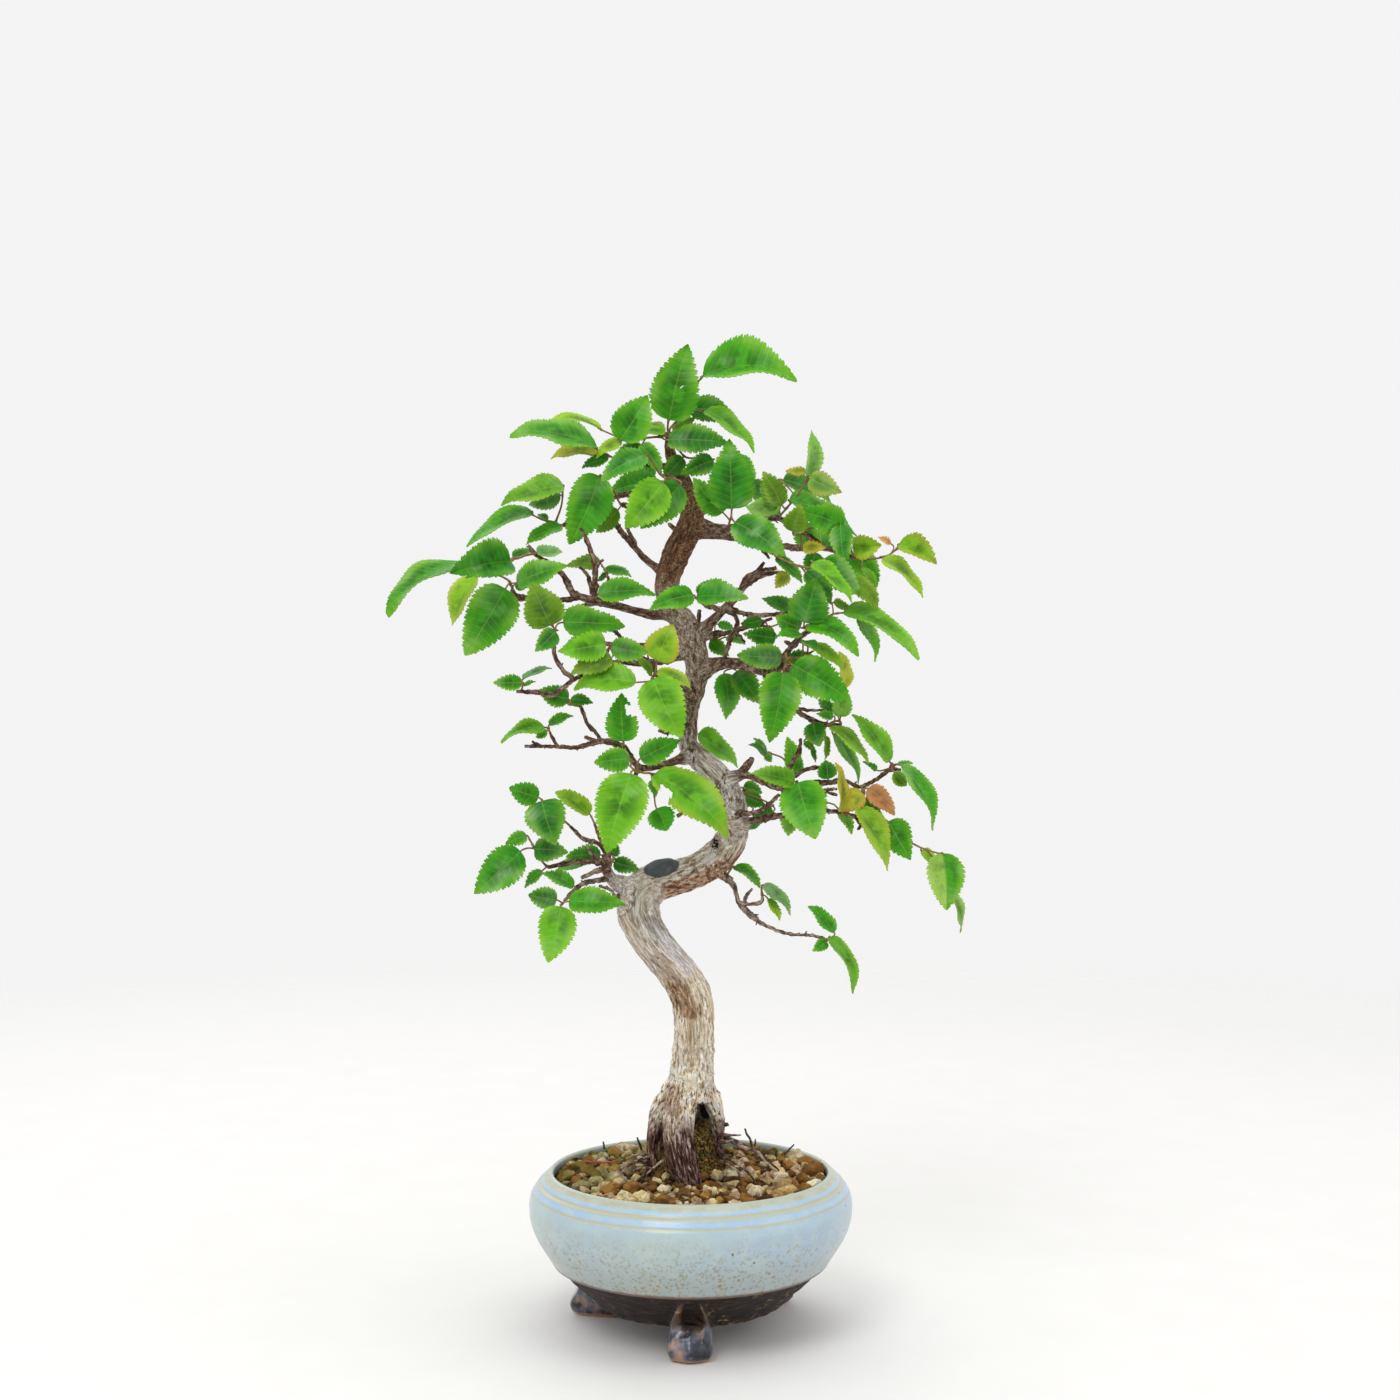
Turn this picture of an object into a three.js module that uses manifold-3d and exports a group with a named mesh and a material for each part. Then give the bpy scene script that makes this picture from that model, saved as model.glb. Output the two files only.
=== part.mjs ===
// A Korean hornbeam bonsai in its glazed bowl, in millimetres, +Z up.
// The pot's axis is x = 0, y = 0 and its feet stand on z = 0. The tree is looked at from -Y.
//
// The pot is one fired piece with three feet. The soil fills it and carries coarse grains on top.
// A plastic mesh and a bent wire keep the soil off the drain hole. The tree is one grown piece of
// wood, from its roots to its twigs, with a blob of wound putty on the bend of the trunk. Each
// leafy shoot of this year is a piece of its own: its stem, leaf stalks and toothed blades are one.
//
// Places on the tree are written as an eye in front of it sees them: x and z are where the line
// of sight crosses the plane y = 0, and y is the depth at which the point lies on that line.
import * as THREE from 'three';
import { mergeVertices } from 'three/addons/utils/BufferGeometryUtils.js';
import Module from 'manifold-3d';

const EYE = new THREE.Vector3(3.8, -780, 249);

// How much deeper the crown is than the depths written below, in front of the trunk and behind it.
const FRONT_DEPTH = 1.7;
const REAR_DEPTH = 1.15;

// Gap between pieces that rest on each other, and the size of slivers that are smoothed away.
const GAP = 0.3;
const SLIVER = 0.07;
const HAIR = 0.001;

// Pot: outer radii at their heights, from the rim down to the flat base.
const RIM_TOP = 61.5;
const RIM_INSIDE_R = 54.6;
const BELLY_R = 64.4;
const BELLY_Z = 47.8;
const BASE_R = 38;
const BASE_Z = 9.8;
const FLOOR_Z = 15.5;
const DRAIN_R = 6;
const POT_SIDES = 36;

// Feet: angles round the pot, and the sections of one foot from the ground up, each with its
// half width and the radii of its inner face, its two ridges, the flanks between them and its
// middle. The toe swells in the middle, and higher up the ridges stand over a hollow.
const FOOT_ANGLES = [270, 160, 40];
const FOOT_SECTIONS = [
  [0, 7.2, 30.5, 47, 48.6, 49],
  [2.6, 8.6, 29.5, 49.2, 51.2, 51.8],
  [6, 8.8, 29.5, 48.8, 50.4, 51],
  [9.4, 8.5, 29.8, 47, 48, 48.6],
  [11.6, 8.1, 30, 45.8, 45.4, 45.8],
  [13.2, 7.8, 30, 45.4, 42.6, 41.6],
  [17, 6.9, 41.5, 46.6, 43.8, 43.2],
  [20.5, 5.6, 45, 49, 47.2, 46.8],
  [23.4, 4.2, 48.5, 51, 50, 49.8],
];
const FOOT_SHOULDER = 4;

// Soil: a low mound, higher between the roots, with coarse grains standing out of it.
const SOIL_RIM_Z = 57.6;
const SOIL_TRUNK_Z = 60.4;
const SOIL_BOTTOM_Z = 18.4;
const HEAP_R = 10;
const HEAP_Z = 79;
const GRAINS = 26;
const GRAIN_R = [2.4, 3.5];
const SOIL_SIDES = 18;

const GRAIN_FIELD = 51;
const GRAIN_SEED = 41;
const GOLDEN_ANGLE = 2.39996;

// Wound putty: half sizes, tilt and place as x, z and depth.
const PUTTY_SIZE = [7.2, 5.6, 4.2];
const PUTTY_TILT = -0.2;
const PUTTY_PLACE = [-11.8, 181.4, -1.5];

// Drainage mesh and its wire.
const MESH_SIDE = 19;
const MESH_THICK = 0.8;
const MESH_HOLE = 3.4;
const MESH_PITCH = 4.8;
const WIRE_R = 0.45;
const WIRE_LEG_X = 4.8;
const WIRE_FOOT_X = 13;

// Wood: how round the limbs are, and the relief of the trunk.
const TRUNK_STEPS = 36;
const TRUNK_SIDES = 9;
const FLUTE = 0.05;
const LIMB_ROOT = 0.75;

// Leaves: thickness of a blade, its width beside its length, and its usual arch and fold.
const BLADE = 0.64;
const WIDTH_SHARE = 0.6;
const ARCH = 0.06;
const FOLD = 0.16;
const STALK = 0.46;
const STALK_ROOT = 0.2;
const STEM_R = [0.75, 0.5];
const STEM_SIDES = 3;
const BIG_LEAF = 23.5;
const SMALL_LEAF = 15.5;

// Outline of a leaf: how it swells from its base and narrows to its tip, the place of its
// shoulder, the stretch that carries teeth, how far peaks and notches stand from the outline, and
// the point of the midrib where its facets meet.
const BASE_POWER = 0.55;
const TIP_POWER = 0.95;
const SHOULDER = 0.1;
const TOOTHED = 0.72;
const TOOTH_LEAN = 0.85;
const TOOTH_PEAK = 1.05;
const TOOTH_NOTCH = 0.9;
const HEART = 0.45;
const ARCH_SLOPE = 2.8;
const SIDE_LEAN = 0.4;

// Stalks: the turn above which a stalk is bent near the blade, and where the bend lies.
const SHARP_TURN = 1.2;
const KNEE = 1.1;

// A leaf that would cross its neighbour slides along the line of sight: first by the nearest
// of these steps, with its tip swung by each of the swings in turn.
const SLIDES = [0, -2, 2, -4, 4, -6, 6, -8, 8, -10, 10, -12, 12, -15, 15, -18, 18];
const SWINGS = [0, -4, 4, -8, 8];

// Stems and stalks: how a stem's foot is moved to the wood, how deep a stalk's foot lies along
// its stem, how far it rakes back, and how much of a blade its own stem may touch.
const SEAT_SHORTEST = 0.4;
const SEAT_REACH = 4;
const SEAT_STEP = 0.1;
const STALK_SINK = 0.6;
const STALK_RAKE = 0.35;
const BLADE_FOOT = 0.15;

// Leaf colours by their kind: mid, bright, dark, olive, yellow-green, gold, shiny, pale, orange,
// grey-green.
const LEAF_COLOURS = {
  m: '#3f8f1f', b: '#5fb02a', d: '#2a6a16', o: '#5d8a22', y: '#8fbf2c',
  g: '#b0ba3a', s: '#2f8a2a', p: '#93c35c', r: '#c98a4a', w: '#6f9a5e',
};

// The trunk from above the roots to its tip: x, z, y and radius.
const TRUNK = [
  [-1.6, 83, 1, 11.6], [-1, 89, 0.5, 11.2], [0.3, 97, 0, 9.6], [1.2, 109, -1, 8.3],
  [1.4, 120, -1.5, 8.3], [0.4, 130, -1.5, 8.5], [-2.4, 136, -1, 8.2], [-6.4, 141.5, -0.5, 7.8],
  [-10.6, 146.4, 0, 7.5], [-15, 152, 0.5, 7.5], [-18.7, 158, 1, 7.8], [-20.9, 164.5, 2, 8.3],
  [-20, 171.3, 2.5, 8.2], [-14.5, 175.6, 3, 7.4], [-7.5, 177.6, 3, 6.8], [0, 179.8, 2.5, 6.4],
  [6.5, 183, 1.5, 6.5], [12, 187.3, 0, 6.4], [16, 193, -1.5, 6], [17.6, 199.5, -3, 5.8],
  [17, 206, -4, 5.4], [14.8, 213, -4.5, 5.3], [10, 219.5, -4, 5.2], [4, 225, -2.5, 4.8],
  [-0.6, 230.3, 0, 4.2], [-1, 236, 2, 3.8], [-0.5, 242, 3.5, 3.6], [0.2, 248, 4, 3.9],
  [2, 254.5, 4, 4.4], [2.8, 262, 4, 4.9], [1.3, 270, 3, 5.3], [-1, 277.5, 2, 5],
  [-5, 283, 1, 4.8], [-8.2, 288.5, 0, 4.8], [-9.4, 294, 0, 4.8], [-8.4, 300, 0, 5],
  [-4.4, 310, -1, 5.3], [-0.4, 318, -1, 5], [0.8, 325, 0, 4.3], [-1, 332, 1, 3.6],
  [-4.5, 340, 2, 2.9], [-8, 347.5, 2.5, 2.2], [-8.6, 356.5, 3, 1.3],
];

// Surface roots, and the thick roots that stand free above the soil. Only these reach into it.
const ROOTS = [
  [[-6.5, 93, 0, 6], [-11.4, 84.5, -2.5, 4.6], [-14.2, 75, -3, 3.2], [-14.9, 66, -3, 3.2],
    [-16.4, 58, -4, 3.6], [-18, 50, -5, 3]],
  [[-1.5, 94, -1, 7.5], [-4.4, 83, -5, 6.4], [-4.2, 73, -7, 6], [-2.2, 63.5, -8.5, 5.5],
    [-0.2, 55, -10, 4.6], [0.5, 47, -11, 3.6]],
  [[5, 94, 1, 6], [10, 84.5, 0, 3.7], [10.8, 77.5, 0, 3], [10.6, 70, 1, 3.6], [11.5, 61, 2, 3.6],
    [13, 51, 3, 2.8]],
  [[2.5, 92, 4, 7], [4.5, 80, 9, 5.4], [6, 68, 13, 4.6], [8.5, 56, 17, 3.6]],
  [[-5, 92, 4, 7], [-8.5, 79, 9, 5.2], [-11.5, 67, 13, 4.4], [-15, 55, 17, 3.4]],
  [[11, 74, 1, 2], [16, 73.2, 0, 1.1], [22, 70.4, -1, 1], [28, 67.6, -1, 0.9], [35.5, 60.6, -2, 0.8]],
  [[10, 69, 0, 2], [17, 64, -6, 1.1], [24, 58, -11, 0.9], [27, 54.5, -13, 0.8]],
  [[-15.5, 63, -4, 2], [-20, 59, -9, 1.3], [-25, 55.5, -13, 1], [-28, 52.5, -16, 0.8]],
];

// Branches and woody twigs: x, z, y and radius. Each starts inside the limb that it grows from.
const LIMBS = [
  // Left, upper tier.
  [[-6.5, 284, 1, 3], [-12, 283.2, -2, 2.3], [-16, 283.2, -4, 2], [-22, 284.6, -6, 1.7],
    [-30, 286.8, -8, 1.7], [-36, 288.3, -10, 1.8], [-42, 289.7, -11, 1.6], [-47, 291.8, -12, 1.3],
    [-51, 299, -13, 1.1], [-56, 303, -14, 1], [-61.5, 307, -14.5, 0.9], [-65, 311, -15, 0.6]],
  [[-38.6, 288.6, -10, 1.3], [-38.2, 296, -11, 1.1], [-38.2, 303, -12, 1.1], [-40, 309, -12, 0.9],
    [-43.8, 317.8, -12, 0.7]],
  [[-39.4, 291.5, -10.5, 0.9], [-40, 295, -12, 0.8], [-41.2, 299, -14, 0.7], [-44.2, 302, -16, 0.5]],
  [[-38.3, 302.5, -12, 0.7], [-35, 305.2, -13, 0.5]],
  [[-34, 288, -9, 1.1], [-41, 287.2, -6, 0.9], [-48.8, 284.5, -3, 0.6]],
  [[-43.5, 290.2, -11, 1.2], [-51, 289, -10, 0.9], [-60, 289.3, -10, 0.9], [-66, 289.7, -11, 1],
    [-74.5, 288.6, -12, 0.6]],
  [[-66.5, 289.8, -11, 1.1], [-70.5, 291.2, -13, 1], [-71.2, 293, -14, 0.8]],
  [[-30.8, 288, -8, 0.8], [-31.4, 292.5, -9, 0.7], [-33.2, 298.2, -10, 0.6]],
  [[-10, 299.5, 0, 2.4], [-13.5, 302, 3, 1.7], [-18, 305.2, 7, 1.5], [-22.5, 310.3, 10, 1.3],
    [-28, 316.6, 13, 1.1], [-31, 320.5, 15, 0.8]],
  [[-22, 309.6, 10, 1.1], [-23.6, 314, 12, 0.9], [-25.4, 318.2, 15, 0.7]],
  [[-6.5, 317.5, -1, 1], [-8.6, 319.5, -2, 0.6]],
  // Crown.
  [[-1.5, 333.5, 0, 2], [-6, 336.6, -4, 1.6], [-10, 338, -7, 1.1]],
  [[-5.5, 341.5, 2, 1.7], [-14, 343, 0, 1.2], [-24, 344.2, -2, 1], [-31, 345.8, -3.5, 0.8]],
  [[-2.5, 336, 3, 2], [-10, 334.5, 12, 1.6], [-22, 332, 23, 1.4], [-36, 328.5, 33, 1.1],
    [-45, 322, 37, 1], [-51, 318.8, 38, 0.8]],
  [[-2, 329.5, 2, 1.9], [-12, 328, 5, 1.4], [-20, 326.4, 7, 1.2], [-27.4, 327, 8, 1.1]],
  // Right, upper tier.
  [[2.5, 318.6, -1, 3], [9, 317.6, -4, 2.3], [15, 317.2, -8, 1.7], [20, 314.6, -11, 1.3],
    [27, 311.2, -15, 0.9], [33, 307.6, -19, 0.7]],
  [[26.5, 311.6, -14.5, 0.7], [31.4, 305.8, -17, 0.5]],
  [[14, 317.2, -7, 1.6], [25, 319.4, -8, 1.2], [35, 321.6, -8, 1.1], [45, 316.2, -9, 1],
    [55, 309.4, -10, 0.9], [65, 306, -12, 0.7]],
  [[4, 276, 1, 2.6], [9, 281, -3, 2], [13, 285, -6, 1.8], [17, 288.8, -8, 1.6],
    [22, 295, -11, 1.5], [28, 298.6, -13, 1.3], [35, 300.2, -15, 1]],
  [[20.5, 293, -10, 1], [22, 297.6, -8, 1], [27, 300.4, -8, 0.9], [34.5, 301.8, -8, 0.7]],
  [[26.5, 300.4, -8, 0.7], [29.6, 304.2, -8, 0.6]],
  [[13, 285, -6, 1.2], [7, 286.8, -10, 1], [3.4, 288.8, -12.5, 0.8]],
  [[3.6, 284.8, -4.5, 0.8], [3, 279, -1.5, 0.9], [1.5, 275.5, 1, 1]],
  [[14.5, 286.4, -7, 1.2], [20, 284, -9, 0.9], [30, 283, -12, 0.8], [43, 284.6, -15, 0.6]],
  [[14, 284.8, -6, 1], [18.2, 282.4, -7, 0.9], [18.6, 279, -7, 0.8], [16.2, 274, -6, 0.8],
    [14.6, 269, -5, 0.8], [13, 264.4, -3, 0.8]],
  [[3.6, 274.6, 2, 2], [12, 275.4, 1, 1.1], [17, 276.3, -1, 0.9], [22, 278, -3, 0.9],
    [28, 279, -5, 0.8], [31.2, 277.8, -6, 0.6]],
  [[18, 276, -1.4, 0.7], [22, 272, -2, 0.5]],
  [[27, 279, -5, 0.7], [32.6, 281.8, -6, 0.5]],
  // Right, middle tier.
  [[3, 259.5, 3.5, 3.4], [9.5, 262.4, 0, 2.5], [15, 263.8, -4, 2.2], [19.5, 263, -7, 1.9],
    [24, 261.2, -11, 1.6], [30, 260.2, -15, 1.4], [35.6, 261.5, -18, 1.3], [37, 266, -19, 1.1],
    [41, 270.8, -21, 1.1], [43.6, 274, -22, 1], [47, 276.2, -23, 0.8], [50.2, 277.2, -24, 0.6]],
  [[35.8, 262.3, -18, 0.9], [40.4, 259.4, -17, 0.6]],
  [[41, 270.8, -21, 0.9], [37.6, 272.6, -20, 0.5]],
  [[43, 273, -21.8, 0.8], [47.6, 270.6, -21, 0.5]],
  [[29, 260.2, -14.5, 1.3], [35, 253.5, -14, 1.1], [40, 247.4, -13, 1.1], [44, 243.6, -13, 1],
    [48, 241.4, -13, 1], [52, 239.6, -13, 1], [59.6, 238.9, -13, 0.7]],
  [[41.5, 245.8, -13, 0.8], [46, 245, -12, 0.6], [54.4, 245, -12, 0.5]],
  // Right, lower tier.
  [[16, 218, -4.5, 2.4], [22, 219, -7, 1.6], [28, 216.8, -10, 1.2], [35, 213.8, -13, 1.1],
    [42, 214.2, -16, 1], [50, 215.8, -17, 1.2], [56, 216, -17, 1], [61, 217, -17, 0.8],
    [67.5, 214.3, -17, 0.7], [71, 215.4, -17, 0.8], [76, 218.4, -18, 0.8], [80, 221.2, -18, 0.9],
    [84.2, 221, -18, 0.6]],
  [[19.5, 219.6, -5.5, 1.5], [22.6, 222.4, -7, 1.4], [24.6, 225.8, -8, 1.1]],
  [[23.4, 223.6, -7.5, 0.9], [19.4, 221, -9, 0.6]],
  [[33.5, 214.4, -12.4, 0.9], [38.6, 220.6, -10, 0.8], [41.4, 224.8, -10, 0.9], [43.4, 228.4, -11, 0.8],
    [44.2, 233.6, -12, 0.6]],
  [[36, 214, -13.4, 0.9], [42, 218.8, -15, 0.8], [47, 221.4, -16, 0.8], [52.8, 222.2, -17, 0.6]],
  [[44, 215, -16.4, 0.7], [52, 213.1, -21, 0.6], [58.6, 213.4, -24, 0.5]],
  [[51, 213.3, -20.6, 0.6], [58.6, 210.9, -23, 0.5]],
  [[15.8, 204.6, -4, 1.6], [23, 203.6, -9, 1], [28.4, 205, -12, 0.9], [35.4, 211, -16, 0.7]],
  [[28, 204.8, -11.8, 0.7], [33.2, 207, -15, 0.5]],
  [[16.5, 199.5, -3.5, 2.6], [21.6, 200.2, -5, 1.9], [28, 201.4, -8, 1.3], [34, 202.5, -11, 1.2],
    [41, 203.4, -14, 1], [50, 204.8, -17, 0.9], [61, 203.9, -20, 0.8], [66, 202.2, -20, 0.7],
    [72.6, 199.4, -18, 0.6]],
  [[65.6, 202.4, -20, 0.6], [68.2, 199, -21, 0.6], [66.8, 197.2, -22, 0.5]],
  [[12, 180.5, 0, 2], [14, 177.6, -2, 1.6], [17.6, 174.6, -3, 1.2], [18.4, 171, -4, 1.2],
    [21, 165.4, -5, 1.1], [29.8, 159, -6, 0.9], [39.8, 155.4, -7, 0.7], [50, 154.6, -9, 0.7],
    [53.8, 153.2, -10, 0.5]],
  [[19.6, 167.9, -4.5, 0.8], [25, 167.3, -6, 0.7], [28.8, 168.8, -7, 0.8], [28.6, 171, -7, 0.5]],
  [[21.8, 167.6, -5, 0.6], [22, 170, -6, 0.7], [24.6, 173.6, -7, 0.5]],
  [[20.6, 166.6, -5, 0.8], [27, 161.6, -8, 0.5]],
  [[14.2, 178.4, -2, 1.1], [16.4, 177.4, -4, 0.6]],
  // Left, middle tier.
  [[-0.5, 250.5, 3, 2.2], [-4, 253.6, -3, 1.9], [-10, 258.2, -9, 1.6], [-14, 259.4, -13, 1.1]],
  [[-14, 259.4, -13, 0.9], [-15, 263.2, -14, 0.7], [-19, 266.4, -15, 0.5]],
  [[-1.5, 267.6, 2, 1.8], [-10, 264.6, -4, 1.2], [-20, 263.6, -8, 1.2], [-28, 264.2, -12, 1.1],
    [-35, 262.6, -15, 1], [-41.5, 259.6, -18, 0.9], [-47, 257, -19, 0.9], [-52, 253, -20, 0.9],
    [-55, 251.2, -20, 1], [-62, 252.1, -20, 0.8], [-69.5, 252.4, -20, 0.7]],
  [[-32, 263.6, -14, 1], [-34.6, 266.4, -15, 1], [-33, 269.2, -16, 0.7]],
  [[-35, 266.6, -15, 0.8], [-37, 264, -16, 0.5]],
  [[-46.5, 257.2, -19, 0.9], [-51, 261, -20, 0.8], [-54, 266, -20, 0.8], [-54.8, 270, -20, 0.8],
    [-54.4, 276.8, -19, 0.6]],
  [[-26, 264.4, -11, 0.8], [-28.6, 275, -6, 0.8], [-32, 277.4, -6, 0.5]],
  [[-0.5, 226.5, -1, 2.6], [-6, 224.6, -6, 1.8], [-12, 222.8, -10, 1.5], [-20, 222, -14, 1.4],
    [-24, 226, -15, 1.3], [-26.5, 230, -15, 1.2], [-30, 231.6, -16, 1.1], [-36, 232.6, -16, 1.1],
    [-40, 231.6, -16, 1], [-46, 230.1, -16, 0.9], [-54, 230.4, -15, 0.7], [-66.5, 230.5, -14, 0.6]],
  [[-37, 232.4, -16, 0.8], [-42.2, 234.2, -18, 0.6]],
  [[-60.5, 230.5, -14.5, 0.6], [-63.4, 232.6, -14, 0.5]],
  [[-20.6, 222.6, -14, 1.1], [-22, 219, -16, 0.8]],
  [[-35.4, 232.4, -16, 0.8], [-38, 236, -15, 0.7], [-41.4, 239.8, -14, 0.7], [-42.8, 243.6, -14, 0.7],
    [-44.4, 246.8, -14, 0.7], [-48, 247.2, -14, 0.5]],
  [[-53, 230.4, -15, 0.7], [-54.2, 232, -15, 0.6], [-56.2, 236, -15, 0.5]],
  [[11, 213, -4.5, 1.5], [3, 207.6, -8, 1], [-5.4, 202.6, -10, 0.8]],
  [[-1, 238, 1.5, 1.1], [-9, 236, -3, 0.8], [-12.6, 236.6, -5, 0.6]],
  // Left, lower tier, from the crook of the trunk.
  [[-26, 174.5, 2, 3.4], [-31, 177, -1, 2.6], [-33.4, 181, -4, 2.1], [-33.6, 185, -6, 1.8],
    [-32.8, 188.2, -7, 1.3]],
  [[-33, 184, -5, 1.4], [-42, 184.6, -8, 1], [-50, 183.6, -10, 0.9], [-57, 182.2, -12, 0.8]],
  [[-32.5, 180.6, -3, 1.5], [-36.5, 181, -8, 1], [-43.6, 177.8, -11, 0.8]],
  [[-31.5, 178.4, -2, 1.5], [-36, 177, -4, 1], [-42, 176, -6, 0.9], [-46.4, 173, -10, 0.8],
    [-50.4, 168.6, -13, 0.7]],
  [[-33.6, 183, -5, 1.1], [-38, 186.2, -9, 0.8], [-42, 190.4, -11, 0.6]],
  [[-33, 187, -6.4, 1], [-37, 191.6, -7, 0.9], [-43, 193.6, -8, 0.8], [-48, 198.4, -9, 0.6]],
  [[-33, 187.6, -6.6, 0.9], [-36.4, 194, -4, 0.7], [-38.4, 199.6, -3, 0.6]],
  [[-27.5, 171, 1, 1.2], [-30, 170.6, -2, 0.7], [-32, 173, -4, 0.6], [-36.4, 174.6, -6, 0.5]],
  // Rear limbs, which carry the shoots behind the trunk.
  [[0, 326, 1, 2.2], [-5, 331, 12, 1.6], [-9, 333.6, 26, 1.1]],
  [[0.5, 322, 1, 2.2], [10, 328, 13, 1.6], [18, 332, 28, 1.1]],
  [[-0.5, 316, 1, 2.4], [16, 314.4, 16, 1.8], [34, 311, 30, 1.4], [48, 309, 40, 1]],
  [[2.5, 263, 5, 2.4], [14, 264.6, 16, 1.7], [30, 263, 28, 1.3], [42, 262, 36, 0.9]],
  [[0, 271, 4, 2.4], [-12, 270.4, 15, 1.7], [-26, 271, 28, 1.2], [-36, 271.6, 36, 0.9]],
];

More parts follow.
